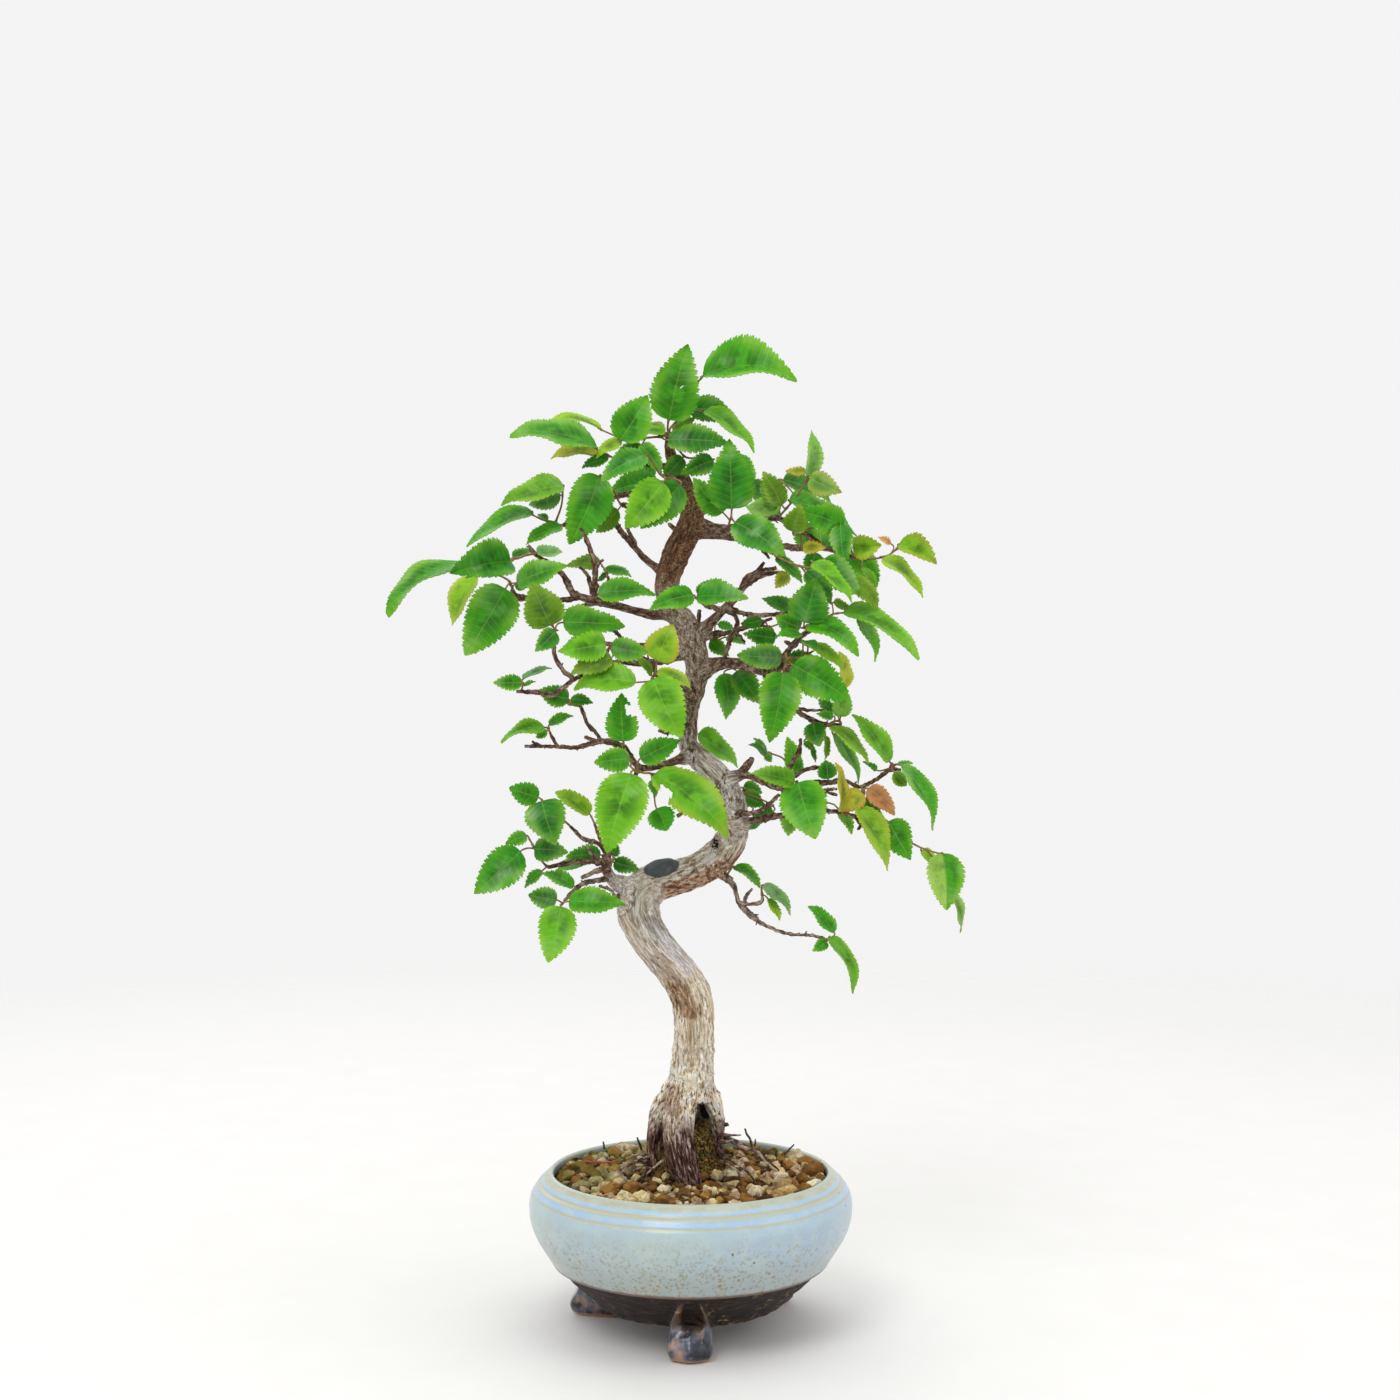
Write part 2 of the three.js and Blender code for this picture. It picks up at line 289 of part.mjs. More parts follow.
// Leafy shoots of this year: name, stem as x, z, y, and leaves. A leaf is its kind of colour, the
// x and z of its base and of its tip, the width that shows, its depth, and where they differ from
// the usual, how much deeper its tip lies, its arch and its fold.
const SHOOTS = [
  ['shoot_top', [[[-9, 356.4, 3], [-8.8, 361, 2], [-6, 368, 5], [0, 373, 6], [5, 378.5, 4]]], [
    ['m', -8.5, 361, -1, 391.5, 20, 0, -4],
    ['m', 5, 378.5, 42.5, 378, 16, 4, -2, 0.1, 0.8]]],
  ['shoot_top_right', [[[-7.6, 358.4, 5], [-4, 361.6, 7], [0, 364.3, 8], [6, 364.4, 8]]], [
    ['d', 0, 366, 21.5, 358, 10, 11, 5],
    ['b', 6, 365, 26, 348.5, 7, 5, -3],
    ['o', -6, 356, 2, 362, 5, 10, 2]]],
  ['shoot_top_left', [[[-9.6, 354.5, 0], [-14, 354.2, -3], [-20, 353.6, -5], [-27, 353, -7],
    [-31, 355, -3], [-36, 357.2, 1]]], [
    ['d', -9, 353, 15, 352, 11.5, -4, -4],
    ['m', -28, 353, -17, 371, 16, -8, 1],
    ['b', -10, 356, -29, 354.5, 4, -3, -8],
    ['o', -12, 355.5, -18, 359.5, 6, -2, 2],
    ['d', -20, 351, -29.5, 348, 6, -3, 2],
    ['y', -28, 353, -38, 346, 5, -6, 2],
    ['y', -36, 357.5, -57, 361, 3, 3, 2, 0.1],
    ['m', -20, 351, -11, 339, 7, -9, -3]]],
  ['shoot_crown_left', [[[-31.6, 346.2, -4], [-35, 348, -5], [-38.5, 350, -6]]], [
    ['m', -37.5, 350, -72, 356, 10, -7, -6, 0.1],
    ['g', -37, 347, -56, 346, 5, -3, 4, 0.1],
    ['d', -33, 346, -43.5, 342, 5, -6, -1]]],
  ['shoot_crown_front', [[[-10.8, 338.2, -8], [-13, 340.4, -12], [-15, 344, -13], [-17.6, 347, -14]]], [
    ['s', -18, 347, -36, 337, 10, -15, -5],
    ['b', -11, 336, -26, 318, 16, -16, -2],
    ['d', -4, 335, -20, 317.5, 15, -10, 1]]],
  ['shoot_crown_mid', [[[-7, 351, 0], [-4.6, 348.9, -2], [-2, 346.2, -3], [3, 345.6, -2],
    [9, 345.2, -2]]], [
    ['d', -3, 346, -11, 338, 8, -3, 2],
    ['d', 9, 345, -4, 339, 9, -5, -2]]],
  ['shoot_crown_right', [[[15.4, 319.4, -9], [16.2, 322, -11], [16.5, 325.5, -13]]], [
    ['s', 16.5, 325.5, 15.5, 353.5, 19, -14, -7],
    ['s', 18, 320, 38, 307, 14, -16, -6],
    ['m', 13, 324, 1, 338, 11, -10, 0]]],
  ['shoot_left_near', [[[-28.4, 328, 7], [-31, 333, 2], [-35.6, 338.6, -4]]], [
    ['m', -36.5, 338.5, -48.5, 311.5, 18, -6, -4],
    ['b', -34, 328, -45, 314.5, 8, 2, 2],
    ['o', -29, 325, -38, 316, 8, 7, 5]]],
  ['shoot_left_shoulder', [[[-52, 319, 38], [-55, 320.3, 38], [-59, 321, 37], [-63.5, 323.2, 36]],
    [[-54, 320, 38], [-51.6, 327, 37], [-51, 333.6, 36]]], [
    ['m', -63.5, 324.5, -90, 311, 7, 36, -3],
    ['m', -51.5, 318.5, -66, 311.5, 6, 36, -4],
    ['m', -57.5, 321, -61, 323.5, 3, 38],
    ['b', -51, 335, -76, 327.5, 10, 35, -5],
    ['w', -52, 331, -65, 327, 9, 34, -4]]],
  ['shoot_left_far', [[[-62, 307.6, -15], [-66, 306.8, -16], [-71, 305.2, -17], [-80, 303.6, -19.6],
    [-89, 303.4, -22]]], [
    ['m', -90, 304, -122, 284, 7.5, -23.2, -13, 0.1],
    ['s', -72, 304.5, -96, 300, 15, -20, -7, 0.08, 0.7],
    ['d', -71, 306, -63, 309, 4, -12, 4],
    ['w', -61.5, 308, -51, 308.4, 5, -12, 5]]],
  ['shoot_left_mid', [[[-71.3, 293.7, -15], [-72.6, 296.6, -17], [-76, 298.6, -17], [-80, 300, -16],
    [-85.5, 300.4, -15]]], [
    ['m', -69.5, 296, -49.5, 303, 10, -19, -3],
    ['m', -70, 295.2, -65.5, 294, 4, -15, 2],
    ['m', -74, 293.5, -90, 267, 16.5, -22, -7],
    ['y', -86, 299, -96, 279, 8.5, -14, 4],
    ['m', -81, 300.8, -90, 298, 2.5, -20, -3]]],
  ['shoot_left_low', [[[-54.4, 277.2, -19], [-55.4, 279, -20]]], [
    ['o', -55.8, 279, -63.5, 295.5, 16, -21, -3],
    ['m', -51, 280, -26, 279, 12, -16, 5],
    ['d', -54, 276.4, -62, 268.5, 8, -22, -5]]],
  ['shoot_left_twigs', [[[-33.3, 298.6, -10], [-33.8, 300.6, -9], [-35.4, 302.6, -7]]], [
    ['o', -36, 303.5, -49.5, 303, 6, -7, 2],
    ['d', -34.6, 301, -23.5, 298.5, 4, -8, -2],
    ['d', -33, 299.4, -37.4, 296.6, 2.4, -9, -1]]],
  ['shoot_branch_left', [[[-37.6, 290.4, -12.6], [-36.4, 291.6, -14]]], [
    ['m', -37, 291.5, -14, 292, 9, -14, 1]]],
  ['shoot_trunk_front', [[[3, 289, -13.4], [2, 290, -15]]], [
    ['m', 1, 291, -16.5, 285.5, 9.5, -15.5, -3],
    ['s', 3, 290.4, 23, 290, 10, -15, -5, 0.06, 0.5],
    ['d', 3, 291.4, 7, 297, 4, -13]]],
  ['shoot_left_spur', [[[-32.8, 269.6, -17], [-32, 270.6, -19]]], [
    ['m', -31.5, 270.5, -17, 268, 9.5, -19, -2],
    ['b', -34, 271.5, -53, 268.5, 12, -20, -4],
    ['m', -34, 268.4, -39, 268.6, 3.4, -13, 2],
    ['o', -31.6, 266, -48, 259.5, 9.5, -9, 5]]],
  ['shoot_front_low', [[[-15, 258.2, -14], [-15.4, 257, -17], [-16, 256, -19]],
    [[-15.1, 257.9, -15.2], [-13.8, 261, -15.6], [-13.6, 264, -15.2]]], [
    ['b', -22, 256, -47, 254, 10.5, -22, 9, 0.12],
    ['o', -15.6, 259, -21.5, 266, 3.4, -17, -3],
    ['y', -13.6, 259.8, 0.5, 253.5, 5, -18, 2, 0.14],
    ['b', -15, 257.5, -3.5, 234, 18, -21, -4],
    ['y', -13.5, 264.8, -7, 279.4, 14, -15.5]]],
  ['shoot_twig_end', [[[-67.4, 253.5, -20], [-67.1, 256, -21]]], [
    ['m', -67.5, 256, -79, 256, 6.5, -22, -1],
    ['w', -67, 257.4, -55.5, 262, 2.6, -20, 3],
    ['m', -66.4, 254.8, -62, 256.5, 1.8, -21]]],
  ['shoot_twig_top', [[[-48.6, 247.3, -14], [-49.6, 248, -14]]], [
    ['d', -48.8, 249.4, -61, 253, 9, -13.5, 1],
    ['d', -48, 249, -39, 248, 5, -15, -2]]],
  ['shoot_bare_twig', [[[-56.4, 236.5, -15], [-57, 238, -15.4]]], [
    ['b', -58.4, 238, -76, 232.5, 5.6, -16, -3, 0.14],
    ['m', -56.5, 239, -47, 243, 4, -15, 2],
    ['m', -57.4, 236.6, -62, 234, 3.6, -17, -1]]],
  ['shoot_spur_left', [[[-26.8, 230.9, -17.2], [-26.8, 232, -18.6]]], [
    ['m', -27, 232.4, -27.6, 252, 13, -19, 2]]],
  ['shoot_spur_right', [[[-21.4, 220.4, -16.4], [-18.6, 219.8, -19], [-15.6, 219.4, -20],
    [-14.8, 215, -20], [-14.4, 210, -20]], [[-20.6, 220.2, -18], [-22.6, 221, -20], [-24.4, 223, -20]]], [
    ['m', -20, 225.6, -4, 233, 10.5, -17.5, -1],
    ['b', -14.4, 219.4, 16, 194.5, 16.5, -21, -6, 0.08],
    ['m', -13.6, 205.6, -9.4, 196.6, 11, -20, 1],
    ['m', -15.4, 217, -13.6, 210.4, 4, -23, -2],
    ['m', -24.4, 225.6, -38.5, 224, 10, -20, -3],
    ['b', -24, 219.5, -33.5, 188, 20, -22, -8]]],
  ['shoot_crook_far', [[[-48.4, 198.8, -9.6], [-53, 203, -11], [-59.4, 208.6, -13]]], [
    ['m', -60.8, 210, -72.5, 214, 9.5, -13, -2],
    ['s', -59.4, 208.6, -54, 191, 16.5, -16, -4]]],
  ['shoot_crook_top', [[[-38.6, 200, -2.6], [-39.8, 202.6, -2]]], [
    ['y', -40.4, 203.4, -54, 212.5, 7.5, -2, 3]]],
  ['shoot_crook_tip', [[[-57.6, 182.6, -12], [-60.6, 186, -13], [-62.6, 190, -14], [-64.6, 193.6, -14]]], [
    ['m', -65.6, 194.8, -74, 191.5, 6, -14, -2],
    ['s', -68, 188.5, -86.5, 171.5, 15.5, -15, -5],
    ['d', -62.4, 189.4, -49, 188, 10, -15, -2],
    ['m', -59.4, 180.6, -66.5, 174, 4.4, -13, 1]]],
  ['shoot_crook_spur', [[[-31.4, 184.4, -2.4], [-30.6, 185.6, 0]]], [
    ['d', -36, 187, -50, 186.4, 8, 0, 3],
    ['d', -30.6, 184, -20.5, 181, 7, 1, -1],
    ['d', -31, 186.6, -29, 191.4, 4.4, 1, 1],
    ['m', -36.4, 184, -55, 180.5, 4.6, 2, 2]]],
  ['shoot_crook_low', [[[-50.8, 167.9, -13.4], [-51.8, 167, -15]]], [
    ['d', -53.5, 169, -65, 171, 9, -14, 2],
    ['m', -46.6, 174.6, -60, 180, 6, -9, -1],
    ['b', -52, 166.4, -57, 144, 15, -17, -5],
    ['m', -48.6, 168.4, -26, 167.4, 10.5, -17, -3]]],
  ['shoot_trunk_right', [[[16.6, 182, -1.6], [17.4, 182.4, -2]]], [
    ['m', 17.6, 182.4, 28, 174, 5, -2, -2, 0.14]]],
  ['shoot_low_right', [[[28.6, 171.6, -7.2], [28.4, 173.6, -8], [28.8, 175.2, -8]]], [
    ['w', 29, 175, 40.5, 163.4, 5, -8, -3],
    ['y', 31, 169.4, 36, 161, 3.6, -9, -2]]],
  ['shoot_low_right_tip', [[[54.4, 153, -10.3], [55.6, 153.8, -11]]], [
    ['m', 57.4, 156, 47.5, 167, 6, -8, 3],
    ['b', 55.8, 154.2, 66, 132, 5.6, -12, -4, 0.1],
    ['m', 54.4, 152.4, 49, 148.6, 5, -13, -4]]],
  ['shoot_right_crown', [[[36, 322.8, -9], [38, 325.2, -10], [41, 328.8, -10.6], [44, 333, -10.6],
    [46.6, 337.2, -10.6]]], [
    ['o', 36.6, 327, 29, 340.5, 9, -12, -1],
    ['d', 35, 326, 28, 336, 7, -6, 3],
    ['d', 37, 337, 57, 328, 7.5, -4, 4],
    ['p', 35.5, 323.8, 22, 327, 9, -7, 4],
    ['m', 39.4, 329, 67, 316, 7, -12, 2],
    ['g', 46, 340, 38, 340.6, 4, -8, 2],
    ['p', 47, 338.4, 49, 357, 6.5, -10, 2],
    ['p', 47.6, 337.6, 60.5, 332, 10, -11, -2]]],
  ['shoot_right_front', [[[46, 317, -10.4], [50, 318, -13], [56, 318.6, -14], [60.4, 318.2, -14.4]],
    [[46.6, 317.2, -10.8], [44, 316.6, -13.6], [44.4, 312.6, -14.6]]], [
    ['m', 61, 318, 43, 325, 13, -13, -2],
    ['o', 41, 316.4, 44, 327, 10, -18, -2],
    ['s', 60, 319, 62, 303, 9.5, -16, -3],
    ['g', 45, 309.6, 54.4, 310, 5.4, -15, -2]]],
  ['shoot_right_reach', [[[65.9, 305.9, -12.2], [71, 305.2, -13], [79, 306.9, -14], [83.2, 310, -14]]], [
    ['y', 65, 310, 76.4, 311, 10, -14, -3, 0.06, 0.7],
    ['r', 80, 311.6, 75, 314.2, 3, -11],
    ['y', 83.4, 311.4, 98.5, 303.5, 9, -14.5, -3, 0.16, 0.75],
    ['m', 66, 308.6, 75, 294, 10, -10, 5],
    ['y', 77, 305.8, 93.5, 290.5, 5.6, -16, -2],
    ['b', 69, 302, 74, 291.2, 3.4, -17, -2]]],
  ['shoot_right_belly', [[[33.6, 307.2, -19.8], [40, 303.8, -23], [48, 302, -26], [51, 303.6, -27],
    [53, 305, -27]]], [
    ['b', 49, 304, 65, 288.5, 6, -31, -3],
    ['s', 53.5, 305.4, 68, 291, 12, -27, 2],
    ['d', 46, 300, 57, 287.4, 8, -23, 5],
    ['o', 64, 297.4, 75.5, 285.5, 7.5, -24, 4],
    ['g', 38.4, 300, 34, 293.6, 6.4, -16, 1],
    ['d', 34.4, 306, 45, 296, 5, -11, 2]]],
  ['shoot_right_heart', [[[50.8, 277.4, -24.4], [52, 280, -24.4], [56, 283, -23.6], [64, 284.2, -23]],
    [[51.2, 278.2, -24.4], [48, 277.6, -26], [45, 278, -27]]], [
    ['s', 45.5, 280, 50, 297.5, 16, -28, -3],
    ['m', 44, 278, 34, 282.5, 9, -24, 0],
    ['m', 44, 275.4, 34.4, 274.8, 4, -25, -1],
    ['m', 47, 279, 67.5, 267, 8.5, -28, -5, 0.16],
    ['b', 62, 285, 92, 266, 8, -23, -4, 0.08],
    ['o', 57.4, 288, 64, 285, 3.6, -20, 1],
    ['b', 67, 283, 74.7, 264.5, 5.4, -20, 3]]],
  ['shoot_right_drop', [[[38.2, 267, -21.2], [39.4, 264.4, -23]],
    [[38.8, 265.6, -22.2], [44, 266.2, -22], [50, 269, -21]]], [
    ['m', 41, 263, 64, 249, 15.5, -24, -4],
    ['d', 39.4, 265.4, 49, 267, 5, -18, 3],
    ['m', 37, 260, 31.5, 232, 16.5, -25, -4, 0.05, 0.35],
    ['y', 47.6, 270.6, 61, 261.4, 5, -23, -1, 0.12],
    ['g', 62, 254, 60, 268.5, 5, -15, 2],
    ['m', 45.6, 272.6, 50.4, 269, 3.6, -24],
    ['d', 36.4, 265.6, 18.5, 267, 10, -20, 4]]],
  ['shoot_inner_right', [[[31.6, 278.4, -6.4], [33, 277, -8]]], [
    ['d', 28.4, 281, 20, 279.4, 5.6, -2, 2],
    ['d', 34, 273.8, 21, 275.6, 8, -9, -1],
    ['d', 41, 284.4, 28.5, 290, 6, -8, 3]]],
  ['shoot_mid_right', [[[60.2, 239, -13.2], [59.6, 240.6, -14.4], [57.6, 240.4, -15], [54, 238.4, -16],
    [49.6, 236.4, -15], [46.4, 233.4, -14]]], [
    ['p', 60, 242.4, 61, 254.4, 8, -15, 1],
    ['m', 57, 242.6, 50.4, 243.6, 4, -17, -2],
    ['d', 57.4, 244.4, 51, 249.4, 5, -11, 3],
    ['d', 49, 239.8, 51.6, 230.5, 9, -17, -2],
    ['y', 56, 238.2, 71.5, 224, 5.4, -19, -3],
    ['y', 54, 234.6, 54, 225, 2.6, -15],
    ['b', 57, 235.4, 68, 215, 5, -11, 4],
    ['m', 45.6, 232.2, 50.4, 228.2, 3, -13, -1],
    ['d', 48.4, 229, 50, 224, 2, -14]]],
  ['shoot_far_right', [[[80, 222.4, -18], [80.6, 223.4, -19]]], [
    ['b', 79.6, 224.4, 65, 243.5, 8, -19, 1],
    ['m', 84.6, 222.6, 98, 197.5, 7, -20, -5, 0.1],
    ['o', 81.6, 220, 86.5, 214.5, 5.5, -21, -1],
    ['m', 83, 223.2, 89, 223.8, 2, -17],
    ['m', 74.4, 221, 69, 224.5, 2.4, -16]]],
  ['shoot_autumn', [[[68.6, 213.6, -18], [69.6, 212, -20], [68, 208.4, -21]]], [
    ['r', 71, 213.6, 82, 203, 8, -19, 2],
    ['g', 68.6, 212, 60, 204.6, 9, -22, -2],
    ['d', 70, 209.6, 76, 203.5, 6.4, -17, 3],
    ['g', 60.4, 204.6, 58.5, 224, 4, -25, 0, 0.04],
    ['y', 67, 206.4, 79.5, 181, 9, -23, -5],
    ['p', 69.4, 206.4, 78, 200, 6, -15, 4]]],
  ['shoot_tip_right', [[[73.4, 199, -17.6], [80, 195.8, -14.6], [88, 192, -12], [93, 189.6, -10],
    [100, 187.4, -9]]], [
    ['m', 101, 187.6, 102.4, 165, 15, -9.6, -5],
    ['y', 92.4, 188.6, 103, 172.5, 4, -7, 4],
    ['p', 104, 172, 108.5, 156, 3.4, -4, 6],
    ['m', 79, 200.4, 88, 185, 13, -18, -5]]],
  ['shoot_low_heart', [[[42, 215.2, -17.4], [42.6, 216.2, -20]]], [
    ['m', 43, 216, 50, 193.5, 18.5, -22, -6],
    ['b', 41.6, 216.4, 23.5, 220, 8, -21, -2]]],
  ['shoot_low_shade', [[[41.6, 204, -13], [42, 206, -11]]], [
    ['b', 41, 204.8, 39, 194.5, 8.5, -9, 1],
    ['b', 36.6, 211.6, 39, 204.4, 3.6, -10, 1],
    ['b', 59, 205.6, 65, 195.5, 4.6, -16, 0]]],
  ['shoot_twig_shade', [[[40.4, 222.6, -9], [40, 221, -7], [37, 225.6, -6], [31, 228, -5]]], [
    ['b', 40.6, 221.4, 39, 234.5, 7, -6, 3],
    ['m', 42.4, 219, 44, 226.4, 4.6, -7, 2],
    ['d', 30, 227.6, 25.5, 234, 3, -4],
    ['d', 30.6, 226.8, 23.6, 231.4, 3.6, -5, -3],
    ['m', 30.4, 227.2, 32.4, 224.2, 3.6, -6, -1]]],
  ['shoot_spur_shade', [[[53.4, 222.2, -17.2], [54.4, 221.4, -18]]], [
    ['d', 55, 217.4, 54, 225, 8, -20, 2]]],
  ['shoot_behind_right', [[[19.4, 214, 3], [21.6, 213.6, 6]]], [
    ['d', 21, 214, 28.8, 211.8, 7.5, 7, 2],
    ['d', 21, 211, 30, 206.6, 7.5, 7, -1],
    ['d', 33, 204.2, 22.5, 197, 5.4, -2, 4]]],
  ['shoot_behind_neck', [[[1.4, 237, 7], [2.4, 236, 11]]], [
    ['b', 3, 235.4, 19.5, 222.4, 9, 13, 5]]],
  ['shoot_under_branch', [[[17.6, 262.6, -1.4], [17.6, 261.4, 1]]], [
    ['m', 13.4, 259.6, 14.6, 241, 10.5, 2, 4],
    ['d', 18.4, 260.6, 28, 247.5, 11, 2, -2]]],
  ['shoot_inner_low', [[[9.6, 274.2, 3.6], [12, 272, 8]]], [
    ['m', 8, 272.6, 15.4, 266.6, 6.5, 6, 2],
    ['m', 14.4, 274, 22, 271.5, 3.6, 6, -2],
    ['m', 11, 279.4, 17.6, 277.6, 4, 8, 1]]],
  ['shoot_rear_crown', [[[-9.4, 334, 27], [-12, 336, 34], [-16, 337, 44]]], [
    ['d', -13, 336, -33, 332, 12, 38, 3],
    ['d', -15, 338, -27, 347, 9, 44, 6],
    ['m', -10, 335, -13, 320, 9, 32, 3],
    ['m', -17, 337, -23, 323, 10, 46, 5]]],
  ['shoot_rear_top', [[[18.4, 332.4, 29], [21, 335, 36], [24, 336, 45]]], [
    ['m', 20, 333, 12, 348, 10, 34, 4],
    ['d', 24, 336, 33, 329, 9, 44, 5],
    ['m', 22, 334, 10, 330, 10, 40, 5],
    ['m', 23, 336, 20, 348, 8, 47, 6]]],
  ['shoot_rear_right', [[[48.8, 308.9, 40.8], [53, 309, 46], [58, 308, 52]]], [
    ['m', 50, 309.5, 42, 322, 11, 43, 4],
    ['d', 54, 309.5, 60, 322, 11, 47, 5],
    ['d', 50, 308, 48, 298, 9, 43, 3],
    ['m', 58, 308, 68, 298, 10, 51, 5],
    ['m', 56, 309, 64, 318, 8, 54, 5]]],
  ['shoot_rear_middle', [[[42.8, 262, 36.8], [46, 262, 44], [50, 261, 52]]], [
    ['d', 44, 262, 36, 250, 10, 40, 4],
    ['m', 47, 262, 58, 254, 11, 46, 5],
    ['m', 48, 262.4, 56, 263, 8, 52, 6],
    ['d', 42.6, 262.6, 32, 266, 8, 38, 4]]],
  ['shoot_rear_left', [[[-36.8, 271.7, 36.8], [-40, 273, 44], [-44, 274, 52]]], [
    ['m', -38, 272.6, -50, 271, 9, 42, 4],
    ['d', -41, 274, -46, 285, 9, 46, 5],
    ['m', -43, 274, -34, 284, 10, 53, 6]]],
];

const wasm = await Module();
wasm.setup();
const { Manifold } = wasm;

// A depth as it stands in the crown.
function deep(depth) {
  return depth * (depth < 0 ? FRONT_DEPTH : REAR_DEPTH);
}

// The point at depth y on the line of sight that crosses the plane y = 0 at x and z.
function seen(x, z, y) {
  const share = (y - EYE.y) / -EYE.y;
  return new THREE.Vector3(x, 0, z).sub(EYE).multiplyScalar(share).add(EYE);
}

// A solid from points and triangles, turned outside out where its faces point in.
function solidFrom(points, triangles) {
  let volume = 0;
  const spare = new THREE.Vector3();
  for (const [a, b, c] of triangles) {
    volume += points[a].dot(spare.crossVectors(points[b], points[c]));
  }
  const faces = volume < 0 ? triangles.map(([a, b, c]) => [a, c, b]) : triangles;
  return new Manifold(new wasm.Mesh({
    numProp: 3,
    vertProperties: new Float32Array(points.flatMap((point) => point.toArray())),
    triVerts: new Uint32Array(faces.flat()),
  }));
}

// Several solids joined into one, without the slivers that joining leaves behind.
function joined(solids) {
  return Manifold.union(solids).asOriginal().simplify(SLIVER);
}

// A solid from a closed three.js geometry.
function solidOf(geometry) {
  const plain = geometry.index ? geometry.toNonIndexed() : geometry;
  plain.deleteAttribute('normal');
  plain.deleteAttribute('uv');
  const merged = mergeVertices(plain, 1e-4);
  const place = merged.attributes.position;
  const points = [];
  for (let i = 0; i < place.count; i += 1) {
    points.push(new THREE.Vector3().fromBufferAttribute(place, i));
  }
  const triangles = [];
  for (let i = 0; i < merged.index.count; i += 3) {
    const triangle = [0, 1, 2].map((corner) => merged.index.getX(i + corner));
    if (new Set(triangle).size === 3) {
      triangles.push(triangle);
    }
  }
  return solidFrom(points, triangles);
}

// Draws apart corners of a mesh that lie on one spot, each a hair's breadth into its own faces.
function partTwins(positions, triangles) {
  const corner = (index) => new THREE.Vector3().fromArray(positions, 3 * index);
  const spots = new Map();
  for (let index = 0; index < positions.length / 3; index += 1) {
    const spot = corner(index).divideScalar(HAIR).round().toArray().join();
    spots.set(spot, [...(spots.get(spot) ?? []), index]);
  }
  const twins = new Set([...spots.values()].filter((group) => group.length > 1).flat());
  const pulls = new Map([...twins].map((index) => [index, new THREE.Vector3()]));
  for (let i = 0; i < triangles.length; i += 3) {
    const [a, b, c] = triangles.slice(i, i + 3);
    for (const [own, one, other] of [[a, b, c], [b, c, a], [c, a, b]]) {
      if (twins.has(own)) {
        pulls.get(own).add(corner(one).sub(corner(own))).add(corner(other).sub(corner(own)));
      }
    }
  }
  for (const [index, pull] of pulls) {
    corner(index).addScaledVector(pull.normalize(), 20 * HAIR).toArray(positions, 3 * index);
  }
}

// The three.js geometry of a solid.
function geometryOf(solid) {
  const mesh = solid.getMesh();
  partTwins(mesh.vertProperties, mesh.triVerts);
  const geometry = new THREE.BufferGeometry();
  geometry.setAttribute('position', new THREE.BufferAttribute(mesh.vertProperties, 3));
  geometry.setIndex(new THREE.BufferAttribute(mesh.triVerts, 1));
  geometry.computeVertexNormals();
  return geometry;
}

// The largest of the bodies that a solid falls into.
function largestBody(solid) {
  const bodies = solid.decompose();
  bodies.sort((a, b) => b.volume() - a.volume());
  return bodies[0];
}

// A closed skin over rings of points, with a flat cap over the outline of the first and last.
function loft(rings, outline) {
  const around = outline.length;
  const points = rings.flat();
  const triangles = [];
  for (let ring = 0; ring < rings.length - 1; ring += 1) {
    for (let i = 0; i < around; i += 1) {
      const a = ring * around + i;
      const b = ring * around + ((i + 1) % around);
      triangles.push([a, b, b + around], [a, b + around, a + around]);
    }
  }
  const last = (rings.length - 1) * around;
  for (const [a, b, c] of THREE.ShapeUtils.triangulateShape(outline, [])) {
    triangles.push([a, c, b], [last + a, last + b, last + c]);
  }
  return solidFrom(points, triangles);
}

// A round outline with a number of sides, which keeps the area of its circle.
function roundOutline(sides) {
  const reach = 1 / Math.sqrt(Math.cos(Math.PI / sides));
  return Array.from({ length: sides }, (_, i) => {
    const angle = (2 * Math.PI * (i + 0.5)) / sides;
    return new THREE.Vector2(Math.cos(angle) * reach, Math.sin(angle) * reach);
  });
}

// A tapered tube through points, each with its radius. Its cross-section is carried along
// without twist, and relief(angle, share) raises or lowers its skin.
function tube(points, radii, sides, relief = () => 1) {
  const outline = roundOutline(sides);
  const side = new THREE.Vector3();
  const other = new THREE.Vector3();
  const rings = points.map((point, i) => {
    const before = points[Math.max(0, i - 1)];
    const after = points[Math.min(points.length - 1, i + 1)];
    const along = after.clone().sub(before).normalize();
    if (i === 0) {
      side.set(0.2, -1, 0.1);
    }
    side.addScaledVector(along, -side.dot(along)).normalize();
    other.crossVectors(along, side);
    return outline.map((corner) => {
      const raised = radii[i] * relief(corner.angle(), i / (points.length - 1));
      return point.clone()
        .addScaledVector(side, corner.x * raised)
        .addScaledVector(other, corner.y * raised);
    });
  });
  return loft(rings, outline);
}

// How many sides a limb of a radius has.
function sidesFor(radius) {
  if (radius > 3.2) {
    return 6;
  }
  return radius > 1.7 ? 4 : 3;
}

// A limb from rows of x, z, y and radius. grow makes it thicker and longer all round.
function limb(rows, grow = 0) {
  const points = rows.map(([x, z, y]) => seen(x, z, deep(y)));
  const radii = rows.map((row) => row[3] + grow);
  radii[0] *= LIMB_ROOT;
  if (grow > 0) {
    const last = points.length - 1;
    const start = points[0].clone().sub(points[1]).normalize();
    const end = points[last].clone().sub(points[last - 1]).normalize();
    points[0].addScaledVector(start, grow);
    points[last].addScaledVector(end, grow);
  }
  return tube(points, radii, sidesFor(rows[0][3]));
}

